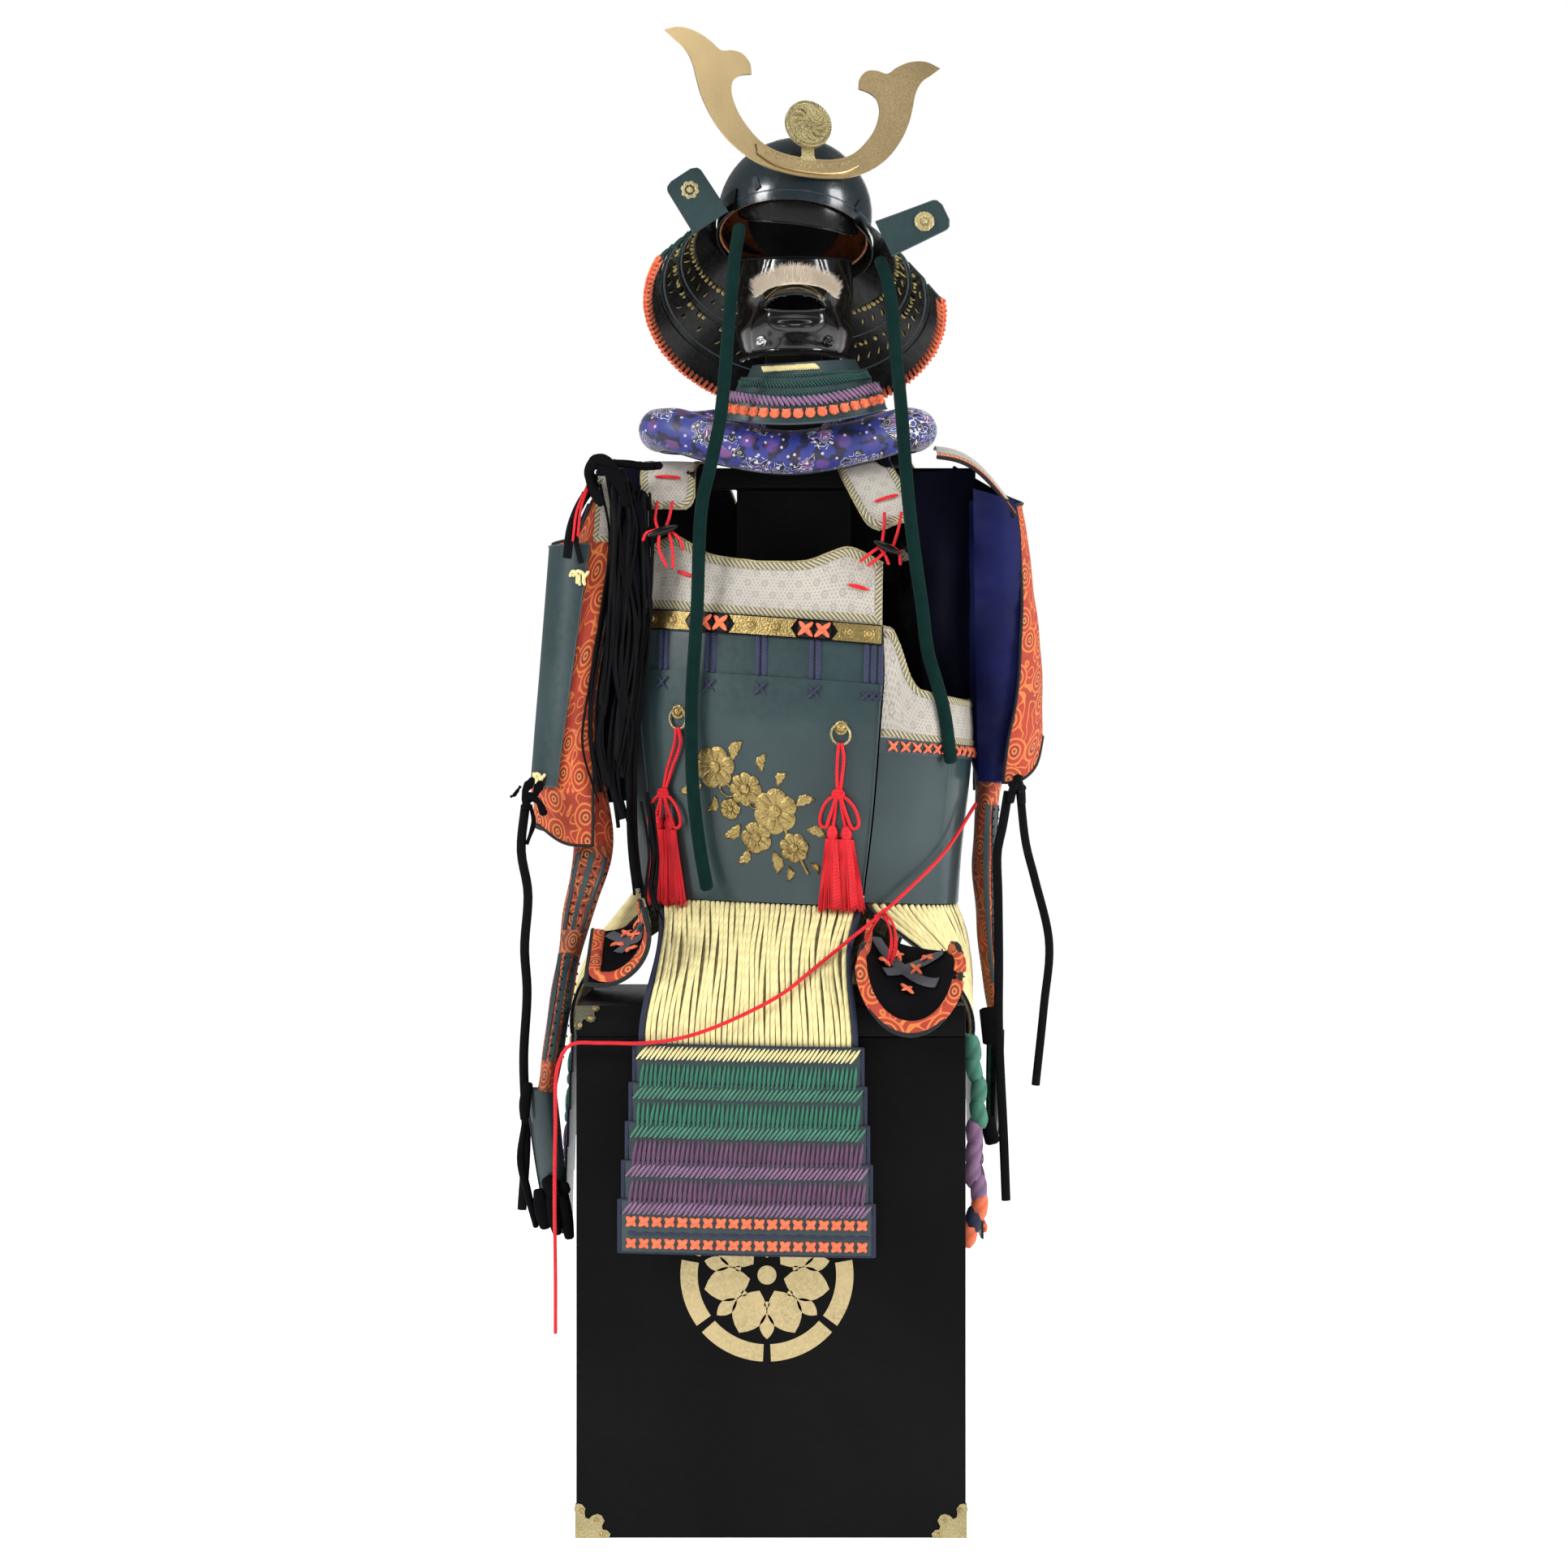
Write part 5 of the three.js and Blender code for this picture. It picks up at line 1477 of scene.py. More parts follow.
def make_straps():
    # A black sheet behind the collar, between the straps' roots: painted shade standing for the dark inside
    # of the back.
    heap = Heap()

    def collar(u, v):
        x = mix(158, -152, u)
        top = read([(-152, 1222), (-78, 1218), (-66, 1203), (-50, 1203), (-38, 1231), (158, 1238)], x)
        return V(x, 60 + 6 * math.cos(x / 40), mix(top, 1120, v))
    heap.wall(collar, 60, 12, 1.5)
    lining = made("collar_lining", heap, ["crepe_black"], 60)
    dashes = []
    for name in ("left", "right"):
        face = strap_face(name)
        made(
            f"strap_{name}_printed", Heap().wall(face, 16, 60, 2.8, marks=(0, 1, 0)), LEATHER, 40,
            [f"strap_{name}"],
        )
        heap = Heap()
        pick = smooth_line([(u, v, 0) for u, v in STRAP_BRAID], 110)
        trim(heap, face, lambda t: pick[round(t * 110)][:2], 7.5, 0.5, 0.7, 110)
        made(f"strap_{name}_braid", heap, ["braid_trim"], 60)
        made(
            f"strap_{name}_piping",
            Heap().tube(
                [face(p.x, p.y) for p in smooth_line([(u, v, 0) for u, v in STRAP_PIPING], 120)],
                even(1.2), 6,
            ),
            ["old_gold"], 60,
        )
        dashes.append((*on(face, *STRAP_DASH[name], 1.0), (21, 5.2, 5)))
    # Red cords from each strap down to the chest leather, round a black toggle.
    heap = Heap()
    for line in STRAP_TIES:
        heap.tube(smooth_line(line, 12), even(1.9), 8)
    made("strap_ties", heap, ["cord_red"], 60)
    heap = Heap()
    for a, b in (((-146, -116, 1165), (-112, -118, 1176)), ((122, -142, 1156), (150, -142, 1142))):
        line = smooth_line([a, (Vector(a) + Vector(b)) / 2, b], 10)
        heap.tube(line, lambda t: (2 + 3.2 * math.sin(math.pi * t),) * 2, 10)
    made("strap_toggles", heap, ["lacquer_black"])
    for x, z in ((-103, 1122), (102, 1101)):
        u, v = spot(leather_face, x, z)
        dashes.append((*on(leather_face, u, v, 0.8), (18, 5, 5)))
    quarter = Matrix.Rotation(rad(90), 3, "Z")
    repeat("red_dashes", "stitch", [(p, m @ quarter, (s[1], s[0], s[2])) for p, m, s in dashes], "cord_red")


# Tassels: where their rings sit on the front plate, the knot's height and the skirts' height.
TASSELS = {
    "left": {"x": -94, "drift": -21, "ring": 943, "knot": 852, "skirt": 820, "low": 724, "skirts": (-8, 8)},
    "right": {"x": 107, "drift": -3, "ring": 936, "knot": 862, "skirt": 819, "low": 726, "skirts": (-8, 8)},
}


def make_tassels():
    cords, metal_rings, threads = Heap(), Heap(), []
    bosses = []
    for t in TASSELS.values():
        at = front
        ring = [at(t["x"] + 11 * math.sin(a), t["ring"] - 3 + 12 * math.cos(a), 3.5) for a in around(24)]
        metal_rings.tube(ring, even(1.5), 6, loop=True)
        p = at(t["x"], t["ring"] + 5, 1.0)
        out = (at(t["x"], t["ring"] + 5, 8) - p).normalized()
        bosses.append((p, facing(out), (17, 17, 18)))
        x = t["x"] + t["drift"]
        for s in (-1, 1):
            line = [
                at(t["x"] + s * 1.5, t["ring"] - 14, 5), at(t["x"] + s * 3.6, t["ring"] - 30, 5),
                at(
                    mix(t["x"], x, 0.6) + s * 3, mix(t["ring"], t["knot"], 0.7), 5
                ), at(x + s * 1, t["knot"], 6),
            ]
            cords.tube(smooth_line(line, 20), even(2.1), 8)
            loop = [
                at(x + s, t["knot"], 7), at(x + s * 11, t["knot"] - 6, 8), at(x + s * 20, t["knot"] - 20, 7),
                at(x + s * 22, t["knot"] - 36, 8), at(x + s * 16, t["knot"] - 40, 9), at(
                    x + s * 10, t["knot"] - 26, 10
                ),
                at(x + s * 3, t["knot"] - 4, 8),
            ]
            cords.tube(smooth_line(loop, 34), even(2.1), 8)
            k = t["skirts"][0 if s < 0 else 1]
            tail = [
                at(x + s * 2, t["knot"] - 2, 8), at(x + s * 4, t["knot"] - 18, 8),
                at(x + k * 0.8, t["knot"] - 34, 8), at(x + k, t["skirt"] + 2, 8),
            ]
            cords.tube(smooth_line(tail, 18), even(2.1), 8)
            # The tassel's wound head and its threads.
            high, low = t["skirt"], t["low"]
            head = [at(x + k, mix(high + 4, high - 12, q), 8) for q in steps(8)]
            cords.tube(head, lambda q: (4.4 + 2.4 * math.sin(math.pi * q),) * 2, 12)
            core = [at(x + k + s * 2 * q, mix(high - 10, low + 4, q), 8) for q in steps(8)]
            cords.tube(core, lambda q: (mix(5.5, 14.5, q**0.7), mix(4, 6, q)), 12)
            for _ in range(130):
                a = LUCK.uniform(0, 2 * math.pi)
                spread = LUCK.uniform(0.8, 1.0)
                start = at(x + k + 7.6 * math.cos(a), high - 10, 8 - 4.8 * math.sin(a))
                end = at(
                    x + k + s * 2 + 17 * spread * math.cos(a), low + LUCK.uniform(-3, 6),
                    8 - 6.5 * spread * math.sin(a),
                )
                down = start - end
                threads.append((start, hanging(down), (1.9, down.length, 1.9)))
        for s in (-1, 0, 1):
            wrap = [
                at(x + s * 2.4 + 3.6 * math.cos(a), t["knot"] + 4.6 * math.sin(a), 8.5)
                for a in around(12)
            ]
            cords.tube(wrap, even(2.0), 6, loop=True)
    made("tassel_cords", cords, ["cord_red"], 60, ["tassel_left", "tassel_right"])
    made("tassel_rings", metal_rings, ["old_gold"])
    repeat("tassel_ring_bosses", "boss", bosses, "gilt")
    repeat("tassel_threads", "thread", threads, "cord_red", 0.02, 0.03)


# ---------------------------------------------------------------- skirt
def lacing(top, low, bulge, foot):
    """The slack laced panel from the body's hem to the top of its first plate."""
    def face(u, v):
        a, d = top(u), low(u)
        b, c = a + Vector(bulge), d + Vector(foot)
        w = 1 - v
        return a * w**3 + b * (3 * w * w * v) + c * (3 * w * v * v) + d * v**3
    return face


def front_low(u):
    x = mix(-146, 94, u)
    return V(x, -229 - 3 * math.sin(math.pi * u), FRONT_SKIRT["top"] + 0.8 - (x + 28) * FRONT_SKIRT["tilt"])


def waisted(face):
    def pinched(u, v):
        p = face(u, v)
        pinch = 1 - 0.08 * math.sin(math.pi * v) ** 2
        return V(-29 + (p.x + 29) * pinch, p.y, p.z)
    return pinched


def side_top(right):
    def top(u):
        x = 132 * (1 if right else -1)
        a, b = angle_at(x, 733, -4), angle_at(x, 733, -4, False)
        return body(mix(a, b, u), 733, -4) if right else body(mix(b, a + 2 * math.pi, u), 733, -4)
    return top


def side_low(right):
    near, sign = SIDE_SKIRT["front"]["right" if right else "left"], 1 if right else -1

    def low(u):
        y = mix(near, SIDE_SKIRT["back"], u) if right else mix(SIDE_SKIRT["back"], near, u)
        return V(sign * (SIDE_SKIRT["out"] + 4), y, SIDE_SKIRT["top"] + 0.3)
    return low


def back_top(u):
    x = mix(128, -128, u)
    return body(angle_at(x, 733, -4, False), 733, -4)


PANELS = {
    "front": waisted(
        lacing(lambda u: front(mix(-123, 118, u), HEM - 1.2, -1), front_low, (0, -34, -26), (0, -16, 82))
    ),
    "right": lacing(side_top(True), side_low(True), (10, 0, -24), (12, 0, 80)),
    "left": lacing(side_top(False), side_low(False), (-24, 0, -34), (-12, 0, 79)),
    "back": lacing(
        back_top, lambda u: V(mix(140, -110, u), 232, SIDE_SKIRT["top"] + 0.3), (0, 28, -24), (0, 16, 80)
    ),
}


def make_panel(name, count, node):
    """Slack cords side by side in two layers, with a dark piped edge at both sides."""
    face = PANELS[name]
    heap = Heap()
    for layer, depth, sway in ((1, -5.6, 0.2), (0, -1.4, 0.22)):
        for k in range(count + layer):
            u0 = (k + (0.0 if layer else 0.5)) / count
            phase, beats = LUCK.uniform(0, 6.3), LUCK.uniform(0.8, 1.7)
            lean, twist = LUCK.uniform(-0.22, 0.22), LUCK.uniform(-0.5, 0.5)
            proud = LUCK.uniform(-0.5, 0.9)
            line, sides = [], []
            for v in steps(20):
                free = math.sin(math.pi * v) ** 0.8
                u = u0 + free * (sway * math.sin(phase + beats * 6.3 * v) + lean) / count
                p, du, _, n = frame_of(face, clamp(u) * 0.992 + 0.004, v)
                line.append(p + n * (depth + free * proud))
                turn = twist * free * math.sin(phase * 2 + 5 * v)
                sides.append(du * math.cos(turn) + n * math.sin(turn))
            wide = (face(1, 0.5) - face(0, 0.5)).length / count * 0.5
            heap.tube(
                line, even(wide * (1.35 if layer else 0.93), 1.7), 8, lambda j, sides=sides: sides[j],
                mark=layer,
            )
    # The back layer takes the darkened cream cord: painted shade behind the front cords.
    made(f"{name}_lacing_cords", heap, ["cord_cream", "cord_cream_painted_shade"], 60, [node])
    heap = Heap()
    for u, s in ((0.0, -1), (1.0, 1)):
        line = []
        for v in steps(30):
            p, du, _, n = frame_of(face, u, v)
            line.append(p + du * (s * 3.4) - n * 1.5)
        heap.tube(line, even(3.4, 1.5), 8)
    made(f"{name}_lacing_edges", heap, ["piping_navy"], 60)


# Rows of lacing down the skirt: kind, cord, lame, distance below its upper edge and height.
SKIRT_ROWS = [
    (
        "slant", "cord_cream", 0, 10, 14.5
    ), ("loop", "cord_green", 0, 36.5, 21), ("slant", "cord_sage", 1, 11, 14),
    ("loop", "cord_green", 1, 37, 23), ("slant", "cord_sage", 2, 11, 14), (
        "loop", "cord_purple", 2, 36.5, 24
    ),
    ("slant", "cord_lilac", 3, 11, 14), ("loop", "cord_purple", 3, 36, 23), (
        "slant", "cord_lilac", 4, 9.5, 14
    ),
    (
        "square", "cord_orange", 4, 24.5, 13.5
    ), ("dash", "piping_navy", 4, 38.5, 5), ("square", "cord_orange", 4, 49.5, 14.5),
]
EDGE_PUFFS = [
    (238, 558, "cord_sage"), (239, 535, "cord_sage"), (245, 508, "cord_sage"), (245, 482, "cord_sage"),
    (240, 458, "cord_lilac"), (239, 435, "cord_lilac"), (238, 412, "cord_lilac"), (245, 393, "cord_lilac"),
    (246, 372, "cord_orange"), (239, 356, "piping_navy"), (234, 341, "cord_orange"),
]
SPLIT = {"pitch": 44.6, "tall": 46.5, "last": 60.5}


def lame_height(i):
    return SPLIT["last"] if i == LAMES["count"] - 1 else SPLIT["tall"]


def front_lame(i):
    def face(u, v):
        f = FRONT_SKIRT
        x = mix(f["left"] - i * f["more_left"], f["right"] + i * f["more_right"], u)
        z = f["top"] - i * SPLIT["pitch"] - v * lame_height(i) - (x + 28) * f["tilt"]
        return V(x, f["y"] - i * LAMES["step"] - 5 * math.sin(math.pi * u) - 0.5 * v, z)
    return face


def side_lame(sign, y0, y1):
    """A lame that faces sideways, from its viewer's left end to its right end as seen from outside."""
    def at(i):
        def face(u, v):
            z = SIDE_SKIRT["top"] - i * SPLIT["pitch"] - v * lame_height(i)
            y = mix(y0, y1, u if sign > 0 else 1 - u)
            return V(sign * (SIDE_SKIRT["out"] + 2.6 + i * SIDE_SKIRT["step"] + 1.2 * v), y, z)
        return face
    return at


def back_lame(i):
    def face(u, v):
        z = SIDE_SKIRT["top"] - i * SPLIT["pitch"] - v * lame_height(i)
        return V(mix(150, -120, u), 229 + 2.6 + i * SIDE_SKIRT["step"] + 1.2 * v, z)
    return face


def make_plates(name, lame_of, node, count, squares, puff=1.0):
    heap = Heap()
    edges = Heap()
    for i in range(LAMES["count"]):
        face = lame_of(i)
        heap.wall(face, 24, 4, LAMES["thick"])
        edges.tube([face(u, 1) for u in steps(24)], even(1.1), 6)
        for u in (0, 1):
            edges.tube([face(u, v) for v in steps(6)], even(2.6, 1.2), 6, (face(1, 0.5) - face(0, 0.5)))
        edges.tube([face(u, 0) for u in steps(24)], even(1.0), 6)
    made(f"{name}_skirt_lames", heap, ["lacquer_green"], 40, [node])
    made(f"{name}_skirt_edges", edges, ["piping_navy"], 60)
    rows = {}
    for kind, finish, i, down, tall in SKIRT_ROWS:
        face = lame_of(i)
        wide = (face(1, 0.5) - face(0, 0.5)).length
        n = squares if kind in ("square", "dash") else round(count * 1.24)
        pitch = (wide - 12) / n
        v = down / lame_height(i)
        for k in range(n):
            u = (6 + pitch * (k + 0.5)) / wide
            lean = LUCK.uniform(-0.06, 0.06)
            row = rows.setdefault("cord_navy" if kind == "dash" else finish, [])
            if kind == "slant":
                row.append(
                    (*on(face, u, v, 1.0 * puff, rad(-38) + lean), (pitch * 0.62, tall * 0.9, 4.0 * puff))
                )
            elif kind == "loop":
                row.append(
                    (*on(face, u, v, 1.2 * puff, rad(-6) + lean), (pitch * 0.76, tall * 0.94, 5.0 * puff))
                )
            elif kind == "square":
                row += cross_stitches([on(face, u, v, 0.8, lean)], pitch * 0.42, pitch * 0.7, 4.6 * puff)
            else:
                row.append(
                    (*on(face, u + pitch * 0.25 / wide, v, 0.6, rad(82)), (tall * 0.7, pitch * 0.7, 3.0))
                )
    for finish, places in rows.items():
        repeat(f"{name}_skirt_{finish[5:]}", "stitch", places, finish, 0.04, 0.05)


def make_skirts():
    make_panel("front", 38, "front_skirt_lacing")
    make_panel("right", 30, "side_skirt_lacing_right")
    make_panel("left", 24, "side_skirt_lacing_left")
    make_panel("back", 36, "back_skirt_lacing")
    make_plates("front", front_lame, "front_skirt_plates", 39, 19)
    near = SIDE_SKIRT["front"]
    make_plates(
        "right", side_lame(1, near["right"], SIDE_SKIRT["back"]), "side_skirt_plates_right", 30, 15, 1.5
    )
    make_plates(
        "left", side_lame(-1, near["left"], SIDE_SKIRT["back"]), "side_skirt_plates_left", 23, 12, 1.3
    )
    make_plates("back", back_lame, "back_skirt_plates", 39, 19)
    # The slack lacing puffs out past the front edge of the right side skirt.
    puffs = {}
    for x, z, finish in EDGE_PUFFS:
        turn = rad(LUCK.uniform(-14, 14))
        m = axes(V(math.cos(turn), 0, math.sin(turn)), V(-math.sin(turn), 0, math.cos(turn)))
        puffs.setdefault(finish, []).append((V(x, near["right"] - 2, z), m, (19, 25, 15)))
    for finish, places in puffs.items():
        repeat(f"right_skirt_puffs_{finish[5:]}", "stitch", places, finish, 0.08, 0.06)


# ---------------------------------------------------------------- helmet
HELMET_TURN = (
    Matrix.Translation(HELMET["at"]) @ Matrix.Rotation(rad(HELMET["yaw"]), 4, "Z")
    @ Matrix.Rotation(rad(HELMET["roll"]), 4, "Y") @ Matrix.Rotation(rad(HELMET["pitch"]), 4, "X")
)


def bowl(u, v):
    a, rise = 2 * math.pi * u, rad(mix(84, -18, v))
    r = math.cos(rise)
    wide, deep, high = HELMET["wide"], HELMET["deep"], HELMET["high"]
    return HELMET_TURN @ V(wide * r * math.cos(a), deep * r * math.sin(a), high * math.sin(rise))


def guard(angle, t, more):
    def of(name):
        return mix(*GUARD_RING[name], t)
    x = (of("wide") + more) * math.cos(angle)
    y = (of("deep") + more) * math.sin(angle)
    z = of("z") - y * math.tan(rad(of("pitch"))) - x * of("roll")
    return V(NECK_GUARD["x"] + x, NECK_GUARD["y"] + y, z)


def guard_lame(i):
    g = NECK_GUARD
    t0, t1 = i / g["lames"], (i + 1) / g["lames"] + (0.05 if i < g["lames"] - 1 else 0)
    back = 9 if i else 0

    def face(u, v):
        angle = rad(mix(g["from"] + back + i * g["less"], g["to"] - back, u))
        return guard(angle, mix(t0, t1, v), g["step"] * (1 - v) * (1 if i else 0))
    return face


def make_bowl():
    made(
        "helmet_bowl_lacquered", Heap().wall(bowl, 72, 26, 2.5, ring=True, marks=(0, 1, 1)),
        ["lacquer_bowl", "copper_lining"], 35, ["helmet_bowl"],
    )
    # A raised seam line round the crown plate and a soft ring near the brim.
    heap = Heap()
    ring = [bowl(k / 72, 0.93) for k in range(72)]
    heap.tube(ring, even(1.0), 6, loop=True)
    made("helmet_rim_line", heap, ["lacquer_bowl"], 60)
    heap = Heap()
    top = [bowl(k / 72, -0.02) for k in range(72)]
    heap.tube(top, even(3.2), 8, loop=True)
    made("helmet_crown_ring", heap, ["old_gold"], 60)
    rivets, tabs = [], Heap()
    for x, z in ((-5, 1545), (108, 1527), (-48, 1531)):
        u, v = spot(bowl, x, z)
        rivets.append((*on(bowl, u, v, -0.2), (7, 7, 6)))
    repeat("helmet_rivets", "rivet", rivets, "lacquer_black")
    for x, z, tilt in ((-18, 1586, 24), (102, 1566, -28)):
        u, v = spot(bowl, x, z)
        p, m = on(bowl, u, v, 0.2, rad(tilt))
        tabs.slab(
            [(-4, -9), (4, -9), (4, 6), (0, 9), (-4, 6)], 1.6,
            lambda a, b, h, p=p, m=m: p + m @ V(a, b, h),
        )
    made("helmet_tabs", tabs, ["lacquer_bowl"], 30)
    # The black band inside that meets the neck guard, and the visor under the brim's front.
    heap = Heap()
    turns = [rad(a) for a in range(-40, 221, 5)]
    section = ((-7, 16), (-5, 4), (-3, -12), (-5, -12), (-9, 4), (-11, 16))
    rows = [[guard(a, 0.02, out) + V(0, 0, lift) for out, lift in section] for a in turns]
    heap.solid(rows)
    made("helmet_inner_band", heap, ["lacquer_black"], 60)
    heap = Heap()

    def visor(u, v):
        a = rad(mix(203, 337, u))
        drop = 34 * v * math.sin(math.pi * u) ** 0.5
        wide, deep = (HELMET["wide"] - 7) * 0.95, (HELMET["deep"] - 7) * 0.95
        p = HELMET_TURN @ V(wide * math.cos(a), deep * math.sin(a), -22 - 4 * v)
        return V(mix(p.x, 29, 0.05 * v), p.y + 5 * v - 2 * math.sin(math.pi * v), p.z - drop + 6)
    heap.wall(visor, 50, 12, 1.6)
    made("helmet_visor", heap, ["lacquer_black"], 50)
    made(
        "helmet_visor_edge", Heap().tube([visor(u, 1) for u in steps(50)], even(1.4), 8),
        ["lacquer_black"], 60,
    )


def make_neck_guard():
    dots, arcs = [], Heap()
    squares, lace = [], []
    for i in range(NECK_GUARD["lames"]):
        face = guard_lame(i)
        made(
            f"neck_guard_{i + 1}_lacquered", Heap().wall(face, 90, 8, SHEET, marks=(0, 1, 0)), LACQUERED,
            40, [f"neck_guard_{i + 1}"],
        )
        if i == 0:
            continue
        inner = lambda u, v, face=face: face(u, v) - frame_of(face, u, v)[3] * 2.6
        count = (46 + 14 * i) * (i < 3)
        for k in range(count):
            u = 0.01 + 0.98 * (k + 0.5) / count
            if i == 2 and LUCK.random() < 0.5:
                continue
            p, m = on(face, u, 0.2, -2.4)
            dots.append((p, m @ OVER, (5, 5, 4)))
            if k % 2 == 0:
                p, m = on(face, u, 0.55, -2.4, rad(30))
                dots.append((p, m @ OVER, (2.4, 7, 3)))
        arcs.tube([inner(u, 0.86) for u in steps(70)], even(1.2, 0.8), 6)
        lines = 34 + 8 * i
        for k in range(lines):
            u = 0.012 + 0.976 * (k + 0.5) / lines
            for s in (-1, 1):
                lace.append((*on(face, u + s * 0.003, 0.45, 0.8, rad(4)), (3.2, 19, 4)))
    rim = guard_lame(3)
    for k in range(84):
        u = 0.006 + 0.988 * (k + 0.5) / 84
        squares.append((*on(rim, u, 0.93, 0.9, rad(45)), (4.6, 9.5, 5)))
        squares.append((*on(rim, u, 0.93, 1.6, rad(-45)), (4.6, 9.5, 5)))
        p, m = on(rim, u, 0.93, -2.6, rad(12))
        squares.append((p, m @ OVER, (5.2, 9, 5)))
    heap = Heap()
    line = [rim(u, 1.0) for u in steps(90)]
    heap.tube(line, even(1.6), 8)
    made("neck_guard_rim_edge", heap, ["cord_orange"], 60)
    repeat("neck_guard_rim_lacing", "stitch", squares, "cord_orange", 0.08, 0.05)
    repeat("neck_guard_lacing", "stitch", lace, "cord_green", 0.05, 0.05)
    repeat("neck_guard_dots", "stitch", dots, "thread_gold", 0.5, 0.2)
    made("neck_guard_lines", arcs, ["lacquer_dull"], 60)


TURN_BACKS = {
    "left": {
        "at": (-72, -78, 1541), "along": (-0.52, 0.15, 0.84), "up": (0.9, -0.1, 0.4), "long": 68,
        "start": 48, "end": 46,
    },
    "right": {
        "at": (134, -78, 1522), "along": (0.9, 0.2, 0.4), "up": (-0.55, 0.05, 0.83), "long": 82,
        "start": 46, "end": 38,
    },
}


def make_turn_backs():
    rosettes = []
    for name, t in TURN_BACKS.items():
        m = axes(t["along"], t["up"])
        out = -1 if m.col[2].y > 0 else 1
        long = t["long"]
        halves = [(0, t["start"] / 2), (long * 0.5, (t["start"] + t["end"]) / 4), (long, t["end"] / 2)]

        def face(u, v):
            x = long * v
            # The far corners are cut to a quarter circle.
            over = max(0, x - (long - 9))
            cut_in = 9 - math.sqrt(max(0, 81 - over * over))
            y = mix(-1, 1, u) * (read(halves, x) - cut_in)
            return Vector(t["at"]) + m @ V(x, y, out * 5 * (x / long) ** 2 + SHEET / 2 * out)
        made(
            f"turn_back_{name}_lacquered", Heap().wall(face, 16, 24, SHEET), ["lacquer_green"], 35,
            [f"turn_back_{name}"],
        )
        made(f"turn_back_{name}_edge", Heap().tube(border(face, 24, 16), even(0.9), 6), ["lacquer_dull"], 60)
        p, turn = on(face, 0.5, 0.66 if name == "right" else 0.7, 0.2)
        if turn.col[2].y > 0:
            turn = turn @ OVER
        rosettes.append((p + turn.col[2] * 0.3, turn, (24, 24, 20)))
    repeat("turn_back_rosettes", "rosette", rosettes, "old_gold")


HORN = [
    (0, 7), (32, 10), (56, 19), (75, 37), (89, 59), (95, 82), (92, 95), (
        84, 102
    ), (69, 106), (71, 120), (81, 131),
    (94, 133), (107, 131), (120, 141), (139, 151), (160, 154), (178, 148), (166, 138), (153, 127), (144, 111),
    (139, 91), (133, 70), (121, 45), (103, 21), (79, 2), (52, -10), (22, -15), (0, -16),
]
HORN_CORNERS = (8, 16, 27)
CRESCENT = [
    (-66, 18), (-44, 9), (-20, 4), (0, 3), (20, 4), (44, 9), (66, 18), (64, 4), (46, -6), (22, -11), (0, -12),
    (-22, -11), (-46, -6), (-64, 4),
]


def horn_frame():
    across = Vector(HORNS["across"]).normalized()
    up = Vector(HORNS["up"])
    up = (up - across * (up.dot(across) * 0.2)).normalized()
    away = up.cross(across).normalized()
    return across, away, up


def on_horns(x, y, ahead):
    """A point of the horns' plane, ahead millimetres in front of its middle."""
    across, away, up = horn_frame()
    return Vector(HORNS["at"]) + across * x - away * ahead + up * (y * HORNS["tall"])


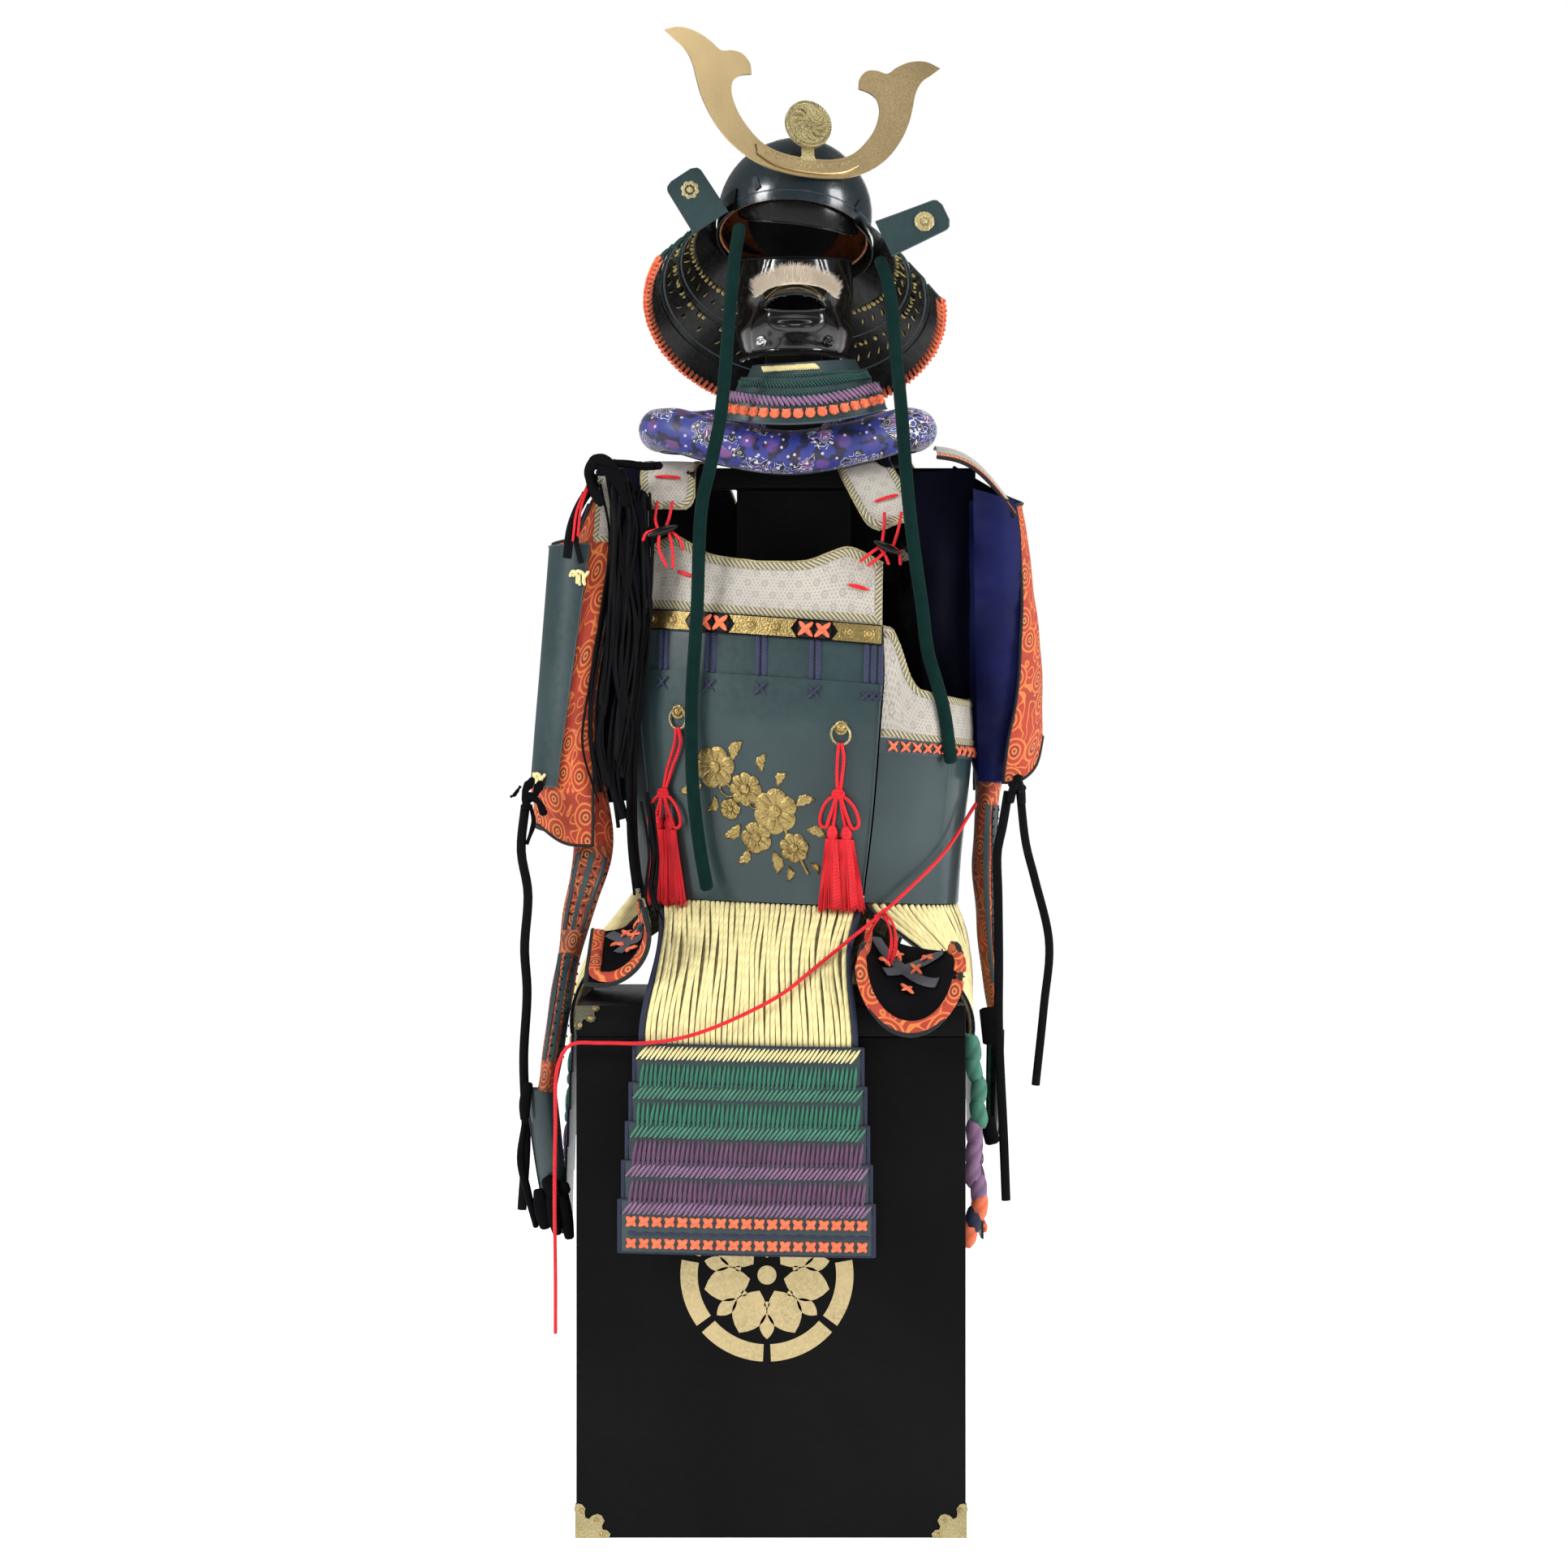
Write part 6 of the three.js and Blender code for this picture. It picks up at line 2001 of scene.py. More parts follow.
def make_horns():
    # The outline is drawn smooth between its corners: the inner tip, the outer tip and the middle.
    pieces, at = [], 0
    for corner in HORN_CORNERS:
        stretch = [(x, y, 0) for x, y in HORN[at:corner + 1]]
        line = smooth_line(stretch, 6 * (corner - at))
        pieces += [(p.x, p.y) for p in line[:-1]]
        at = corner
    pieces.append(HORN[-1])
    outline = pieces + [(-x, y) for x, y in reversed(pieces)][1:-1]
    heap = Heap()
    fronts = [on_horns(x, y, 1.0) for x, y in outline]
    backs = [on_horns(x, y, -1.0) for x, y in outline]
    heap.fan(fronts)
    heap.fan(backs, flip=True)
    heap.grid([fronts, backs], wrap=True)
    made("horns_brass", heap, ["horn_brass"], 30, ["horns"])
    heap = Heap()
    upper = smooth_line([(x, y, 0) for x, y in CRESCENT[:7]], 48)
    lower = smooth_line([(x, y, 0) for x, y in reversed(CRESCENT[7:])], 48)
    rows, behind = [], []
    for a, b in zip(upper, lower):
        across = lambda t, ahead: on_horns(mix(a.x, b.x, t), mix(a.y, b.y, t), ahead)
        rows.append(
            [across(t, 3.6 - 0.6 * (abs(2 * t - 1) > 0.9)) for t in (0, 0.06, 0.3, 0.5, 0.7, 0.94, 1)]
        )
        behind.append([across(t, 1.4) for t in (0, 0.5, 1)])
    heap.grid(rows)
    heap.grid(behind, flip=True)
    for k in (0, -1):
        heap.grid([[r[k] for r in rows], [r[k] for r in behind]])
    made("horn_crescent", heap, ["horn_brass"], 30, ["horn_base"])
    # Engraved scrolls on the crescent, beads along its rim.
    scroll, beads = Heap(), []
    for k in range(9):
        x = -52 + 13 * k
        y = read([(-60, 9), (-30, 0), (0, -4), (30, 0), (60, 9)], x)
        way = 1 if k % 2 else -1
        spiral = []
        for t in steps(22):
            r = 0.7 + 4.4 * t
            spiral.append(on_horns(x + way * r * math.cos(7.5 * t), y + r * math.sin(7.5 * t) * 0.7, 3.7))
        scroll.tube(spiral, even(0.6, 0.5), 6)
    for a, b in zip(upper[::3], lower[::3]):
        for edge in (a.lerp(b, 0.09), a.lerp(b, 0.91)):
            p = on_horns(edge.x, edge.y, 3.6)
            out = (on_horns(edge.x, edge.y, 4.6) - p).normalized()
            beads.append((p, facing(out), (1.9, 1.9, 2)))
    made("horn_scrolls", scroll, ["old_gold"], 60)
    repeat("horn_beads", "rivet", beads, "old_gold")
    # The disc: a roped rim, a ring of leaves and a plain boss, in relief.
    r = DISC["r"]

    def flat(a, b, h):
        return on_horns(a, DISC["up"] + b, h)

    def at(reach, a, h):
        return flat(reach * math.cos(a), reach * math.sin(a), h)
    heap = Heap()
    profile = [(0.999, 3.2), (1.0, 8.2), (0.96, 9.4), (0.9, 9.4), (0.86, 8.2), (0.6, 8.2), (0.2, 8.5)]
    rows = [[at(r * q, a, h) for a in around(48)] for q, h in profile]
    heap.solid(rows)
    made("crest_disc_plate", heap, ["old_gold"], 35, ["crest_disc"])
    relief = Heap()
    for a in around(54):
        rope = [at(r * q, a + t, 9.3) for q, t in ((0.89, -0.06), (0.93, 0), (0.97, 0.06))]
        relief.tube(rope, even(1.2, 0.8), 6)
    for a in around(11):
        leaf = [at(r * (0.34 + 0.42 * t), a + 0.5 * t * t, 8.6) for t in steps(8)]
        relief.tube(leaf, lambda t: (0.5 + 1.9 * math.sin(math.pi * t), 0.4 + 1.0 * math.sin(math.pi * t)), 8)
    for k in range(5):
        a = 2 * math.pi * (k + 0.25) / 5
        curl = []
        for t in steps(12):
            x = r * 0.17 * math.cos(a) + r * 0.1 * t * math.cos(a + 6 * t)
            curl.append(flat(x, r * 0.17 * math.sin(a) + r * 0.1 * t * math.sin(a + 6 * t), 8.8))
        relief.tube(curl, even(0.8), 6)
    made("crest_disc_relief", relief, ["old_gold"], 60)
    heap = Heap()
    tongue = [(-8, 0), (8, 0), (8, 4), (10, 8), (8, 12), (8, 22), (-8, 22), (-8, 12), (-10, 8), (-8, 4)]
    heap.slab(tongue, 1.6, lambda a, b, h: on_horns(a, b - 2, h + 1.2))
    made("crest_tongue", heap, ["old_gold"], 30)


# ---------------------------------------------------------------- face mask and throat guard
MASK = {"x": 28, "y": -8, "wide": 70, "deep": 88}
MASK_OUT = [(1384, 0.93), (1390, 0.86), (1402, 0.93), (1418, 1.0), (1440, 0.95), (1462, 0.99), (1498, 0.97)]


def mask(u, v):
    """A plain half mask: cheeks, nose ridge's foot, lips' hollow and chin."""
    z = mix(1498, 1384, v)
    a = rad(mix(-88, 88, u))
    out = read(MASK_OUT, z)
    cheek = 18 * abs(math.sin(a)) ** 3 * (1 - v)
    wide, deep = MASK["wide"] * out, MASK["deep"] * out
    side = abs(math.sin(a))
    lump = 6 * math.exp(-((side - 0.42) / 0.16) ** 2 - ((z - 1432) / 15) ** 2)
    lump += 7 * math.exp(-(side / 0.26) ** 2 - ((z - 1412) / 9) ** 2)
    lump -= 5 * math.exp(-(side / 0.3) ** 2 - ((z - 1424) / 4) ** 2)
    lump += 3 * math.exp(-((side - 0.62) / 0.1) ** 2 - ((z - 1465) / 16) ** 2)
    groove = 1.6 * math.exp(-((side - 0.56 - (1470 - z) * 0.004) / 0.03) ** 2)
    wide, deep = wide + lump - groove, deep + lump - groove
    return V(MASK["x"] + wide * math.sin(a), MASK["y"] - deep * math.cos(a), z + cheek * 0.4)


def make_mask():
    heap = Heap()
    across, down = 80, 56
    us, vs = steps(across), steps(down)
    outer = [[mask(u, v) for u in us] for v in vs]
    inner = [[mask(u, v) - frame_of(mask, u, v)[3] * 2.4 for u in us] for v in vs]

    def open_at(i, j):
        """The mouth: a lens between the moustache and the chin."""
        u, z = (i + 0.5) / across, mix(1498, 1384, (j + 0.5) / down)
        half_wide = 0.17
        s = (u - 0.5) / half_wide
        return abs(s) < 1 and abs(z - (1444 - 3 * s * s)) < 9 * (1 - s * s) ** 0.5

    for grid, flip, mark in ((outer, False, 0), (inner, True, 1)):
        base = len(heap.points)
        heap.points.extend(p for row in grid for p in row)
        for j in range(down):
            for i in range(across):
                if open_at(i, j):
                    continue
                first, below = base + j * (across + 1) + i, base + (j + 1) * (across + 1) + i
                ids = [first, below, below + 1, first + 1]
                if flip:
                    ids.reverse()
                heap.faces.append(ids)
                heap.uvs.append([(heap.points[k].x * MM, heap.points[k].z * MM) for k in ids])
                heap.marks.append(mark)
    # The cut edges: wherever an open cell or the outside touches a filled one.
    n = (across + 1) * (down + 1)
    filled = lambda i, j: 0 <= i < across and 0 <= j < down and not open_at(i, j)
    for j in range(down + 1):
        for i in range(across + 1):
            a = j * (across + 1) + i
            ends = [a + 1] if i < across and filled(i, j) != filled(i, j - 1) else []
            ends += [a + across + 1] if j < down and filled(i, j) != filled(i - 1, j) else []
            for b in ends:
                heap.faces.append([a, b, b + n, a + n])
                heap.uvs.append([(0, 0)] * 4)
                heap.marks.append(0)
    made("face_mask_lacquered", heap, ["lacquer_gloss", "silk_inside"], 60, ["face_mask"])
    heap = Heap()
    lips = []
    for k in range(48):
        a = 2 * math.pi * k / 48
        q = math.cos(a)
        u, z = 0.5 + 0.178 * q, 1444 - 3 * q * q + 10.5 * math.sin(a)
        p, _, _, n = frame_of(mask, u, (1498 - z) / 114)
        lips.append(p + n * 0.2)
    heap.tube(lips, even(2.0, 1.6), 8, loop=True)
    made("mask_lips", heap, ["lacquer_gloss"], 60)
    heap = Heap()
    for drop in (0, 6):
        line = []
        for t in steps(30):
            u = mix(0.33, 0.67, t)
            z = 1466 - drop * 0.8 - 16 * abs(2 * t - 1) ** 2.2
            v = (1498 - z) / 114
            p, _, _, n = frame_of(mask, u, clamp(v))
            line.append(p + n * 0.6)
        heap.tube(line, even(0.9), 6)
    made("mask_gold_lines", heap, ["gilt"], 60)
    heap = Heap()
    rim = [mask(u, 1) + V(0, 0, 1) for u in steps(60)]
    heap.tube(rim, even(2.2), 8)
    for side in (0.0, 1.0):
        heap.tube([mask(side, v) for v in steps(20)], even(1.8), 8)
    heap.tube([mask(u, 0) for u in steps(60)], even(1.8), 8)
    made("mask_rim", heap, ["wood_black"], 60)
    studs = []
    for x in (-12, 68):
        u, v = spot(mask, x, 1400)
        p, m = on(mask, u, v, 0.2)
        studs.append((p, m, (15, 15, 22)))
    repeat("mask_studs", "boss", studs[:1], "silver")
    repeat("mask_side_stud", "boss", studs[1:], "lacquer_gloss")
    # The bristle moustache: a soft core and combed hairs.
    line = smooth_line(
        [(-16, -88, 1460), (2, -100, 1470), (30, -107, 1475), (58, -99, 1470), (75, -87, 1459)], 40
    )
    core = Heap()
    core.tube(line, lambda t: (4 + 7 * math.sin(math.pi * t), 3.2), 10, (0, 0, 1))
    made("moustache_core", core, ["bristle_white"], 60, ["moustache"])
    hairs = []
    for _ in range(5600):
        t = LUCK.uniform(0.0, 1.0)
        k = min(39, int(t * 40))
        p = line[k].lerp(line[k + 1], t * 40 - k)
        along = (line[k + 1] - line[k]).normalized()
        out = V(0, 0, 1).cross(along).normalized()
        out = out if out.y < 0 else -out
        side = mix(-1, 1, t)
        lift = LUCK.uniform(-9, 6)
        root = p + out * LUCK.uniform(0.5, 3.5) + V(0, 0, lift)
        way = (
            V(side * 0.75 + LUCK.uniform(-0.2, 0.2), 0, 1.0 - 0.35 * abs(side)) * LUCK.uniform(6, 11)
            + out * LUCK.uniform(-1, 4)
        )
        if LUCK.random() < 0.35:
            way = (
                V(side * 0.9 + LUCK.uniform(-0.2, 0.2), 0, -0.45) * LUCK.uniform(3, 6)
                + out * LUCK.uniform(0, 4)
            )
        down = -way
        hairs.append((root, hanging(down), (0.55, down.length, 0.55)))
    repeat("moustache_hairs", "hair", hairs, "bristle_white", 0.05, 0.15)


THROAT = {"x": 39, "y": -30, "tilt": 0.06}
THROAT_LAMES = [
    {"top": 1374, "bottom": 1352, "a": 62, "b": 72, "rise": 4}, {
        "top": 1354, "bottom": 1328, "a": 76, "b": 86, "rise": 12
    },
    {"top": 1330, "bottom": 1297, "a": 90, "b": 99, "rise": 22},
]


def throat(i):
    lame = THROAT_LAMES[i]

    def face(u, v):
        a = rad(mix(-62, 62, u))
        r = mix(lame["a"], lame["b"], v)
        x = 1.13 * r * math.sin(a)
        z = mix(lame["top"], lame["bottom"], v) + lame["rise"] * math.sin(a) ** 2 + x * THROAT["tilt"]
        return V(THROAT["x"] + x, THROAT["y"] - 0.95 * r * math.cos(a), z)
    return face


def make_throat():
    edges = Heap()
    for i in range(3):
        made(
            f"throat_guard_{i + 1}_lacquered", Heap().wall(throat(i), 48, 4, SHEET, marks=(0, 1, 0)),
            LACQUERED, 40, [f"throat_guard_{i + 1}"],
        )
        edges.tube([throat(i)(u, 1) for u in steps(48)], even(1.3), 6)
    made("throat_edges", edges, ["lacquer_dull"], 60)
    rows = {"cord_cream": [], "cord_moss": [], "cord_lilac": []}
    # Where each row runs: lame, height on it, cord, count and size across and along.
    for i, v, finish, count, wide, tall in (
        (
            0, 0.3, "cord_cream", 26, 2.6, 7
        ), (0, 0.8, "cord_moss", 44, 2.6, 6), (1, 0.3, "cord_moss", 46, 2.6, 8),
        (1, 0.82, "cord_moss", 50, 2.6, 7), (2, 0.17, "cord_lilac", 34, 4.4, 11),
    ):
        lo, hi = (0.16, 0.6) if finish == "cord_cream" else (0.02, 0.98)
        for k in range(count):
            u = mix(lo, hi, (k + 0.5) / count)
            rows[finish].append((*on(throat(i), u, v, 0.8, rad(38)), (wide, tall, 3.6)))
    for finish, places in rows.items():
        repeat(f"throat_{finish[5:]}", "stitch", places, finish, 0.05, 0.06)
    knots, ties = [], []
    for k in range(16):
        u = mix(0.015, 0.985, (k + 0.5) / 16)
        knots.append((*on(throat(2), u, 0.62, 0.4, rad(LUCK.uniform(-8, 8))), (12.4, 12.4, 15)))
        for turn in (45, -45):
            ties.append((*on(throat(2), u, 0.62, 3.2, rad(turn)), (3.2, 9.5, 3.5)))
    repeat("throat_knots", "rivet", knots, "cord_orange", 0.03, 0.04)
    repeat("throat_knot_ties", "stitch", ties, "cord_orange", 0.05, 0.04)


# ---------------------------------------------------------------- neck roll
ROLL = {"x": 20, "y": 15, "wide": 156, "deep": 86, "z": 1303, "r": 27}


def cut_of(face, count=24):
    """The flat size of a sheet shaped by face: (width, length, area) in metres and square metres."""
    rows = [[face(u, v) for u in steps(count)] for v in steps(count)]
    widths = [line_length(row) for row in rows]
    lengths = [line_length([row[i] for row in rows]) for i in range(count + 1)]
    area = 0.0
    for j in range(count):
        for i in range(count):
            a, b, c, d = rows[j][i], rows[j][i + 1], rows[j + 1][i + 1], rows[j + 1][i]
            area += ((c - a).cross(d - b)).length / 2
    wide, long = max(widths) * MM, max(lengths) * MM
    return wide, long, min(area * MM * MM, wide * long)


def declared(piece, face):
    wide, long, area = cut_of(face)


def cloth(name, face, across, down, thick, finishes, node):
    """A sheet: outside, lining and edges each have a finish."""
    heap = Heap().wall(face, across, down, thick, marks=(0, 1, 2))
    declared(made(name, heap, finishes, 60, [node]), face)


def make_roll():
    line = []
    for a in around(12):
        s = math.sin(a)
        rise = (35 if s < 0 else 12) * s**3
        line.append((ROLL["x"] + ROLL["wide"] * math.cos(a), ROLL["y"] + ROLL["deep"] * s, ROLL["z"] + rise))
    path = smooth_line(line, 150, loop=True)
    heap = Heap()
    n = len(path)
    rows, foot = [], []
    seeds = [(LUCK.uniform(0, 6.3), LUCK.randint(5, 15), LUCK.uniform(-3, 3)) for _ in range(6)]
    for j, p in enumerate(path):
        along = (path[(j + 1) % n] - path[j - 1]).normalized()
        up = (V(0, 0, 1) - along * along.z).normalized()
        side = up.cross(along)
        foot.append(p - up * (ROLL["r"] - 0.6))
        ring = []
        t = 2 * math.pi * j / n
        for a in around(36):
            dent = sum(0.35 * math.sin(f * t + ph + tw * math.sin(a)) for ph, f, tw in seeds)
            r = ROLL["r"] * (1 + 0.02 * dent) - 0.8
            ring.append(p + up * (r * math.cos(a)) + side * (r * math.sin(a)))
        rows.append(ring)
    heap.grid(rows, wrap=True, loop=True)
    roll = made("neck_roll_brocade", heap, ["brocade_blue"], 60, ["neck_roll"])
    made("neck_roll_seam", Heap().tube(foot, even(1.0), 6, loop=True), ["piping_navy"], 60)


# ---------------------------------------------------------------- shoulder guards
GUARDS = {
    "left": {
        "x": -236, "y": -35, "r": 51, "from": 120, "to": 295, "plate": (168, 266), "plate_foot": 868,
        "flare": 0.15,
    },
    "right": {
        "x": 268, "y": -20, "r": 60, "from": -58, "to": 109, "plate": (34, 92), "plate_foot": 940,
        "flare": 0,
    },
}
GUARD_LEAN = {
    "left": [(0, 28), (0.2, 22), (0.5, 12), (0.8, 2), (1, 0)],
    "right": [(0.058, -25), (0.119, -19.6), (0.265, -11.5), (0.41, -4), (0.6, 0), (1, 0)],
}
GUARD_EDGE = [(875, -82), (924, -76), (969, -66), (1053, -54), (1116, -44), (1205, -34)]
GUARD_TOP = {
    "left": [(0, 1160), (0.7, 1164), (0.76, 1180), (0.84, 1212), (0.92, 1230), (1, 1234)],
    "right": [(0, 1206), (0.35, 1214), (0.6, 1226), (0.8, 1243), (1, 1260)],
}
GUARD_LOW = {
    "left": [(0, 812), (0.5, 822), (0.8, 800), (1, 797)],
    "right": [(0, 872), (0.12, 876), (0.25, 895), (0.35, 926), (0.5, 922), (0.7, 890), (1, 864)],
}


def shoulder(name, angle, z, more):
    g = GUARDS[name]
    s = (1230 - z) / 430
    r = g["r"] * (1 + g["flare"] * max(0, s - 0.75)) + more
    return V(g["x"] + read(GUARD_LEAN[name], s) + r * math.cos(angle), g["y"] + r * math.sin(angle), z)


def shoulder_cloth(name):
    g = GUARDS[name]

    def face(u, v):
        z = mix(read(GUARD_TOP[name], u), read(GUARD_LOW[name], u), v)
        wave = 0.7 * math.sin(9 * v + 5 * u) + 0.5 * math.sin(23 * v + 11 * u)
        start = read(GUARD_EDGE, z) if name == "right" else g["from"]
        return shoulder(name, rad(mix(start, g["to"], u)), z, wave * 0.7)
    return face


def make_lining_flap():
    """The right guard's lining where it turns in at the front: a flat navy flap with faint quilting."""
    right = [
        (875, 276), (898, 278), (924, 282), (951, 288), (1003, 296), (1055, 298), (1159, 298),
        (1200, 293), (1226, 284),
    ]

    def flap(u, v):
        z = mix(1226 - 16 * u, 874, v)
        x = mix(mix(242, 248, v), read(right, z), u)
        quilt = 1.2 * math.sin(v * 44) + 0.7 * math.sin(v * 97 + 5 * u) + 2.2 * math.sin(3 * u + 5 * v)
        return V(x, -64 - 9 * math.sin(math.pi * u) - quilt * 0.7 + 8 * (1 - u), z)
    piece = made(
        "shoulder_lining_flap", Heap().wall(flap, 24, 120, 1.5, marks=(0, 0, 1)),
        ["lining_navy", "piping_black"], 60,
    )
    declared(piece, flap)


def make_shoulders():
    for name, g in GUARDS.items():
        face = shoulder_cloth(name)
        cloth(
            f"shoulder_cloth_{name}_brocade", face, 44, 56, SHEET, [
                "brocade_orange", "lining_navy", "piping_black"
            ],
            f"shoulder_cloth_{name}",
        )
        heap = Heap()
        heap.tube(border(face, 40, 40), even(1.9), 8)
        heap.tube([face(u, 0) for u in steps(40)], even(1.9), 8)
        made(f"shoulder_cloth_{name}_piping", heap, ["piping_black"], 60)

        def plate_face(u, v):
            end = g["plate"][1] - (18 * v if g["flare"] else 0)
            return shoulder(name, rad(mix(g["plate"][0], end, u)), mix(1157, g["plate_foot"], v), 4.5)
        made(
            f"shoulder_plate_{name}_lacquered", Heap().wall(plate_face, 30, 30, SHEET), ["lacquer_green"],
            40, [f"shoulder_plate_{name}"],
        )
        made(
            f"shoulder_plate_{name}_edge",
            Heap().tube(border(plate_face, 30, 30, True), even(1.1), 6, loop=True), ["lacquer_dull"], 60,
        )
        ties = Heap()
        for u, v in ((0.9, 0.13), (0.62, 0.965)):
            p, du, dv, n = frame_of(plate_face, u, v)
            for s in (-1, 1):
                for loop, count, size in (
                    (
                        ((s * 2 - 7, 0.5, 0), (s * 3 - 2, 4, -5), (s * 4 + 4, 4, -2), (s * 4 + 6, 3, 9)),
                        14, 2.1,
                    ),
                    (((s * 5 + 8, 0.5, -4), (s * 3 + 7, 4, 4), (s * 3 + 8, 2, 11)), 10, 2.0),
                ):
                    line = [p + du * a + n * b + dv * c for a, b, c in loop]
                    ties.tube(smooth_line(line, count), even(size), 8)
        made(f"shoulder_ties_{name}", ties, ["cord_cream"], 60)
    # The white leather top of the left guard, with a braid edge, and its pink outer hem.
    heap = Heap()

    def tab(u, v):
        return shoulder("left", rad(mix(271, 296, u)), mix(1238, 1160, v), 2.2)
    heap.wall(tab, 12, 16, 1.6, marks=(0, 1, 0))
    made("shoulder_tab_left", heap, ["printed_leather", "lining_navy"], 50)
    heap = Heap()
    trim(heap, tab, lambda t: (0.1, mix(0.02, 0.98, t)), 6, 0.3, 0.6, 24)
    trim(heap, tab, lambda t: (mix(0.02, 0.98, t), 0.96), 6, 0.4, 0.6, 24)
    made("shoulder_tab_braid", heap, ["braid_trim"], 60)
    heap = Heap()
    side = [shoulder("left", rad(166), mix(1150, 860, t), 4.6) for t in steps(30)]
    heap.tube(side, even(1.6), 8)
    made("shoulder_plate_left_hem", heap, ["cord_pink"], 60)
    # Black straps over the left plate's upper edge and down its far side.
    heap = Heap()
    for line, wide in (
        (((-212, -92, 1226), (-226, -97, 1206), (-238, -98, 1176), (-243, -97, 1140)), 9),
        (((-222, -94, 1218), (-232, -98, 1190), (-232, -98, 1160), (-226, -97, 1134)), 5),
    ):
        heap.tube(smooth_line(line, 24), even(wide / 2 + 1, 1.2), 8, (1, 0, -0.2))
    made("shoulder_straps_left", heap, ["ribbon_black"], 60)
    heap = Heap()
    for line in (
        ((-216, -96, 1228), (-226, -101, 1200), (-230, -101, 1166)),
        ((-219, -96, 1226), (-231, -101, 1196), (-236, -101, 1160)),
    ):
        heap.tube(smooth_line(line, 16), even(1.6), 8)
    made("shoulder_red_ties", heap, ["cord_red"], 60)


CAP = {"inner": (199, 1284), "outer": (292, 1214), "front": -66, "back": 50, "rise": 19}
# The right hanging reaches down to 905 to fill the dark hollow below the armhole: its lower part is a dark
# sheet standing for shade.
HANGINGS = {
    "left": {"x": (-214, -150), "low": (-212, -150), "y": -4, "top": 1252, "bottom": 850},
    "right": {"x": (166, 248), "low": (190, 244), "y": -4, "top": 1252, "bottom": 905},
}


def make_cap():
    def cap(u, v):
        x = mix(CAP["inner"][0], CAP["outer"][0], u)
        z = mix(CAP["inner"][1], CAP["outer"][1], u) + CAP["rise"] * math.sin(math.pi * u) - 20 * v**3
        return V(x, mix(CAP["back"], CAP["front"], v), z)
    cloth(
        "shoulder_cap_leather", cap, 36, 36, SHEET, ["printed_leather", "lining_navy", "piping_black"],
        "shoulder_cap",
    )
    made(
        "shoulder_cap_piping",
        Heap().tube([cap(u, 1) + V(0, -1.2, -1.5) for u in steps(40)], even(2.6), 8), ["piping_black"],
        60,
    )
    made(
        "shoulder_cap_braid", trim(Heap(), cap, lambda t: (mix(0.02, 0.98, t), 0.93), 6, 0.5, 0.7, 40),
        ["braid_trim"], 60,
    )
    made(
        "shoulder_cap_edge", Heap().tube([cap(u, 1) + V(0, -0.6, 1.2) for u in steps(40)], even(1.5), 8),
        ["cord_orange"], 60,
    )
    for name, h in HANGINGS.items():
        def face(u, v, h=h):
            x = mix(mix(h["x"][0], h["low"][0], v), mix(h["x"][1], h["low"][1], v), u)
            fold = 6 * math.cos(u * 3 * math.pi) * v + 2.0 * math.sin(9 * u + 7 * v) * (0.3 + v)
            return V(x, h["y"] - fold, mix(h["top"], h["bottom"], v) - 1.5 * math.sin(7 * u))
        cloth(
            f"arm_cloth_{name}_hanging", face, 48, 40, 1.5, ["cloth_dark", "cloth_dark", "piping_black"],
            f"arm_cloth_{name}",
        )


# ---------------------------------------------------------------- sleeves and hand guards
SLEEVES = {
    "left": {
        "line": [
            (-208, -30, 1205), (-226, -31, 1140), (-238, -32, 1050), (-232, -34, 900), (-214, -52, 800),
            (-234, -104, 700), (-249, -136, 607), (-264, -143, 510),
        ],
        "size": sized(
            [
                (0, 16, 28), (0.1, 26, 32), (0.25, 27, 32), (0.45, 25, 28), (0.6, 24, 22), (0.75, 15, 20),
                (1, 12, 24),
            ]
        ),
        "dark": 955,
    },
    "right": {
        "line": [
            (270, -12, 1214), (271, -14, 1050), (270, -14, 930), (262, -12, 862), (258, -12, 759),
            (264, -12, 660), (272, -12, 580),
        ],
        "size": sized(
            [(0, 31, 30), (0.2, 31, 29), (0.46, 30, 28), (0.55, 16, 27), (0.7, 15, 26), (1, 8, 24)]
        ),
        "dark": 0,
    },
}


def sleeve_face(name, lift=0.0, soft=1.0):
    """The sleeve's cloth: u goes round from the viewer's right side over the back, v down."""
    s = SLEEVES[name]
    line = smooth_line(s["line"], 90)

    def face(u, v):
        at = clamp(v) * 90
        k = min(89, int(at))
        p = line[k].lerp(line[k + 1], at - k)
        along = (line[min(90, k + 2)] - line[max(0, k - 1)]).normalized()
        side = (V(1, 0, 0) - along * along.x).normalized()
        deep_way = side.cross(along)
        wide, deep = s["size"](v)
        a = 2 * math.pi * u
        crease = 0.9 * math.sin(31 * v + 3 * math.sin(a + 2) + 2)
        crease = crease + 0.7 * math.sin(52 * v + 2.4 * math.cos(a * 2)) + 0.5 * math.sin(17 * v + 4 * a)
        reach = soft * crease * (0.25 + 0.75 * v) - 0.6 + lift
        out = deep_way if deep_way.y < 0 else -deep_way
        return p + side * ((wide + reach) * math.cos(a)) - out * ((deep + reach) * math.sin(a))
    return face


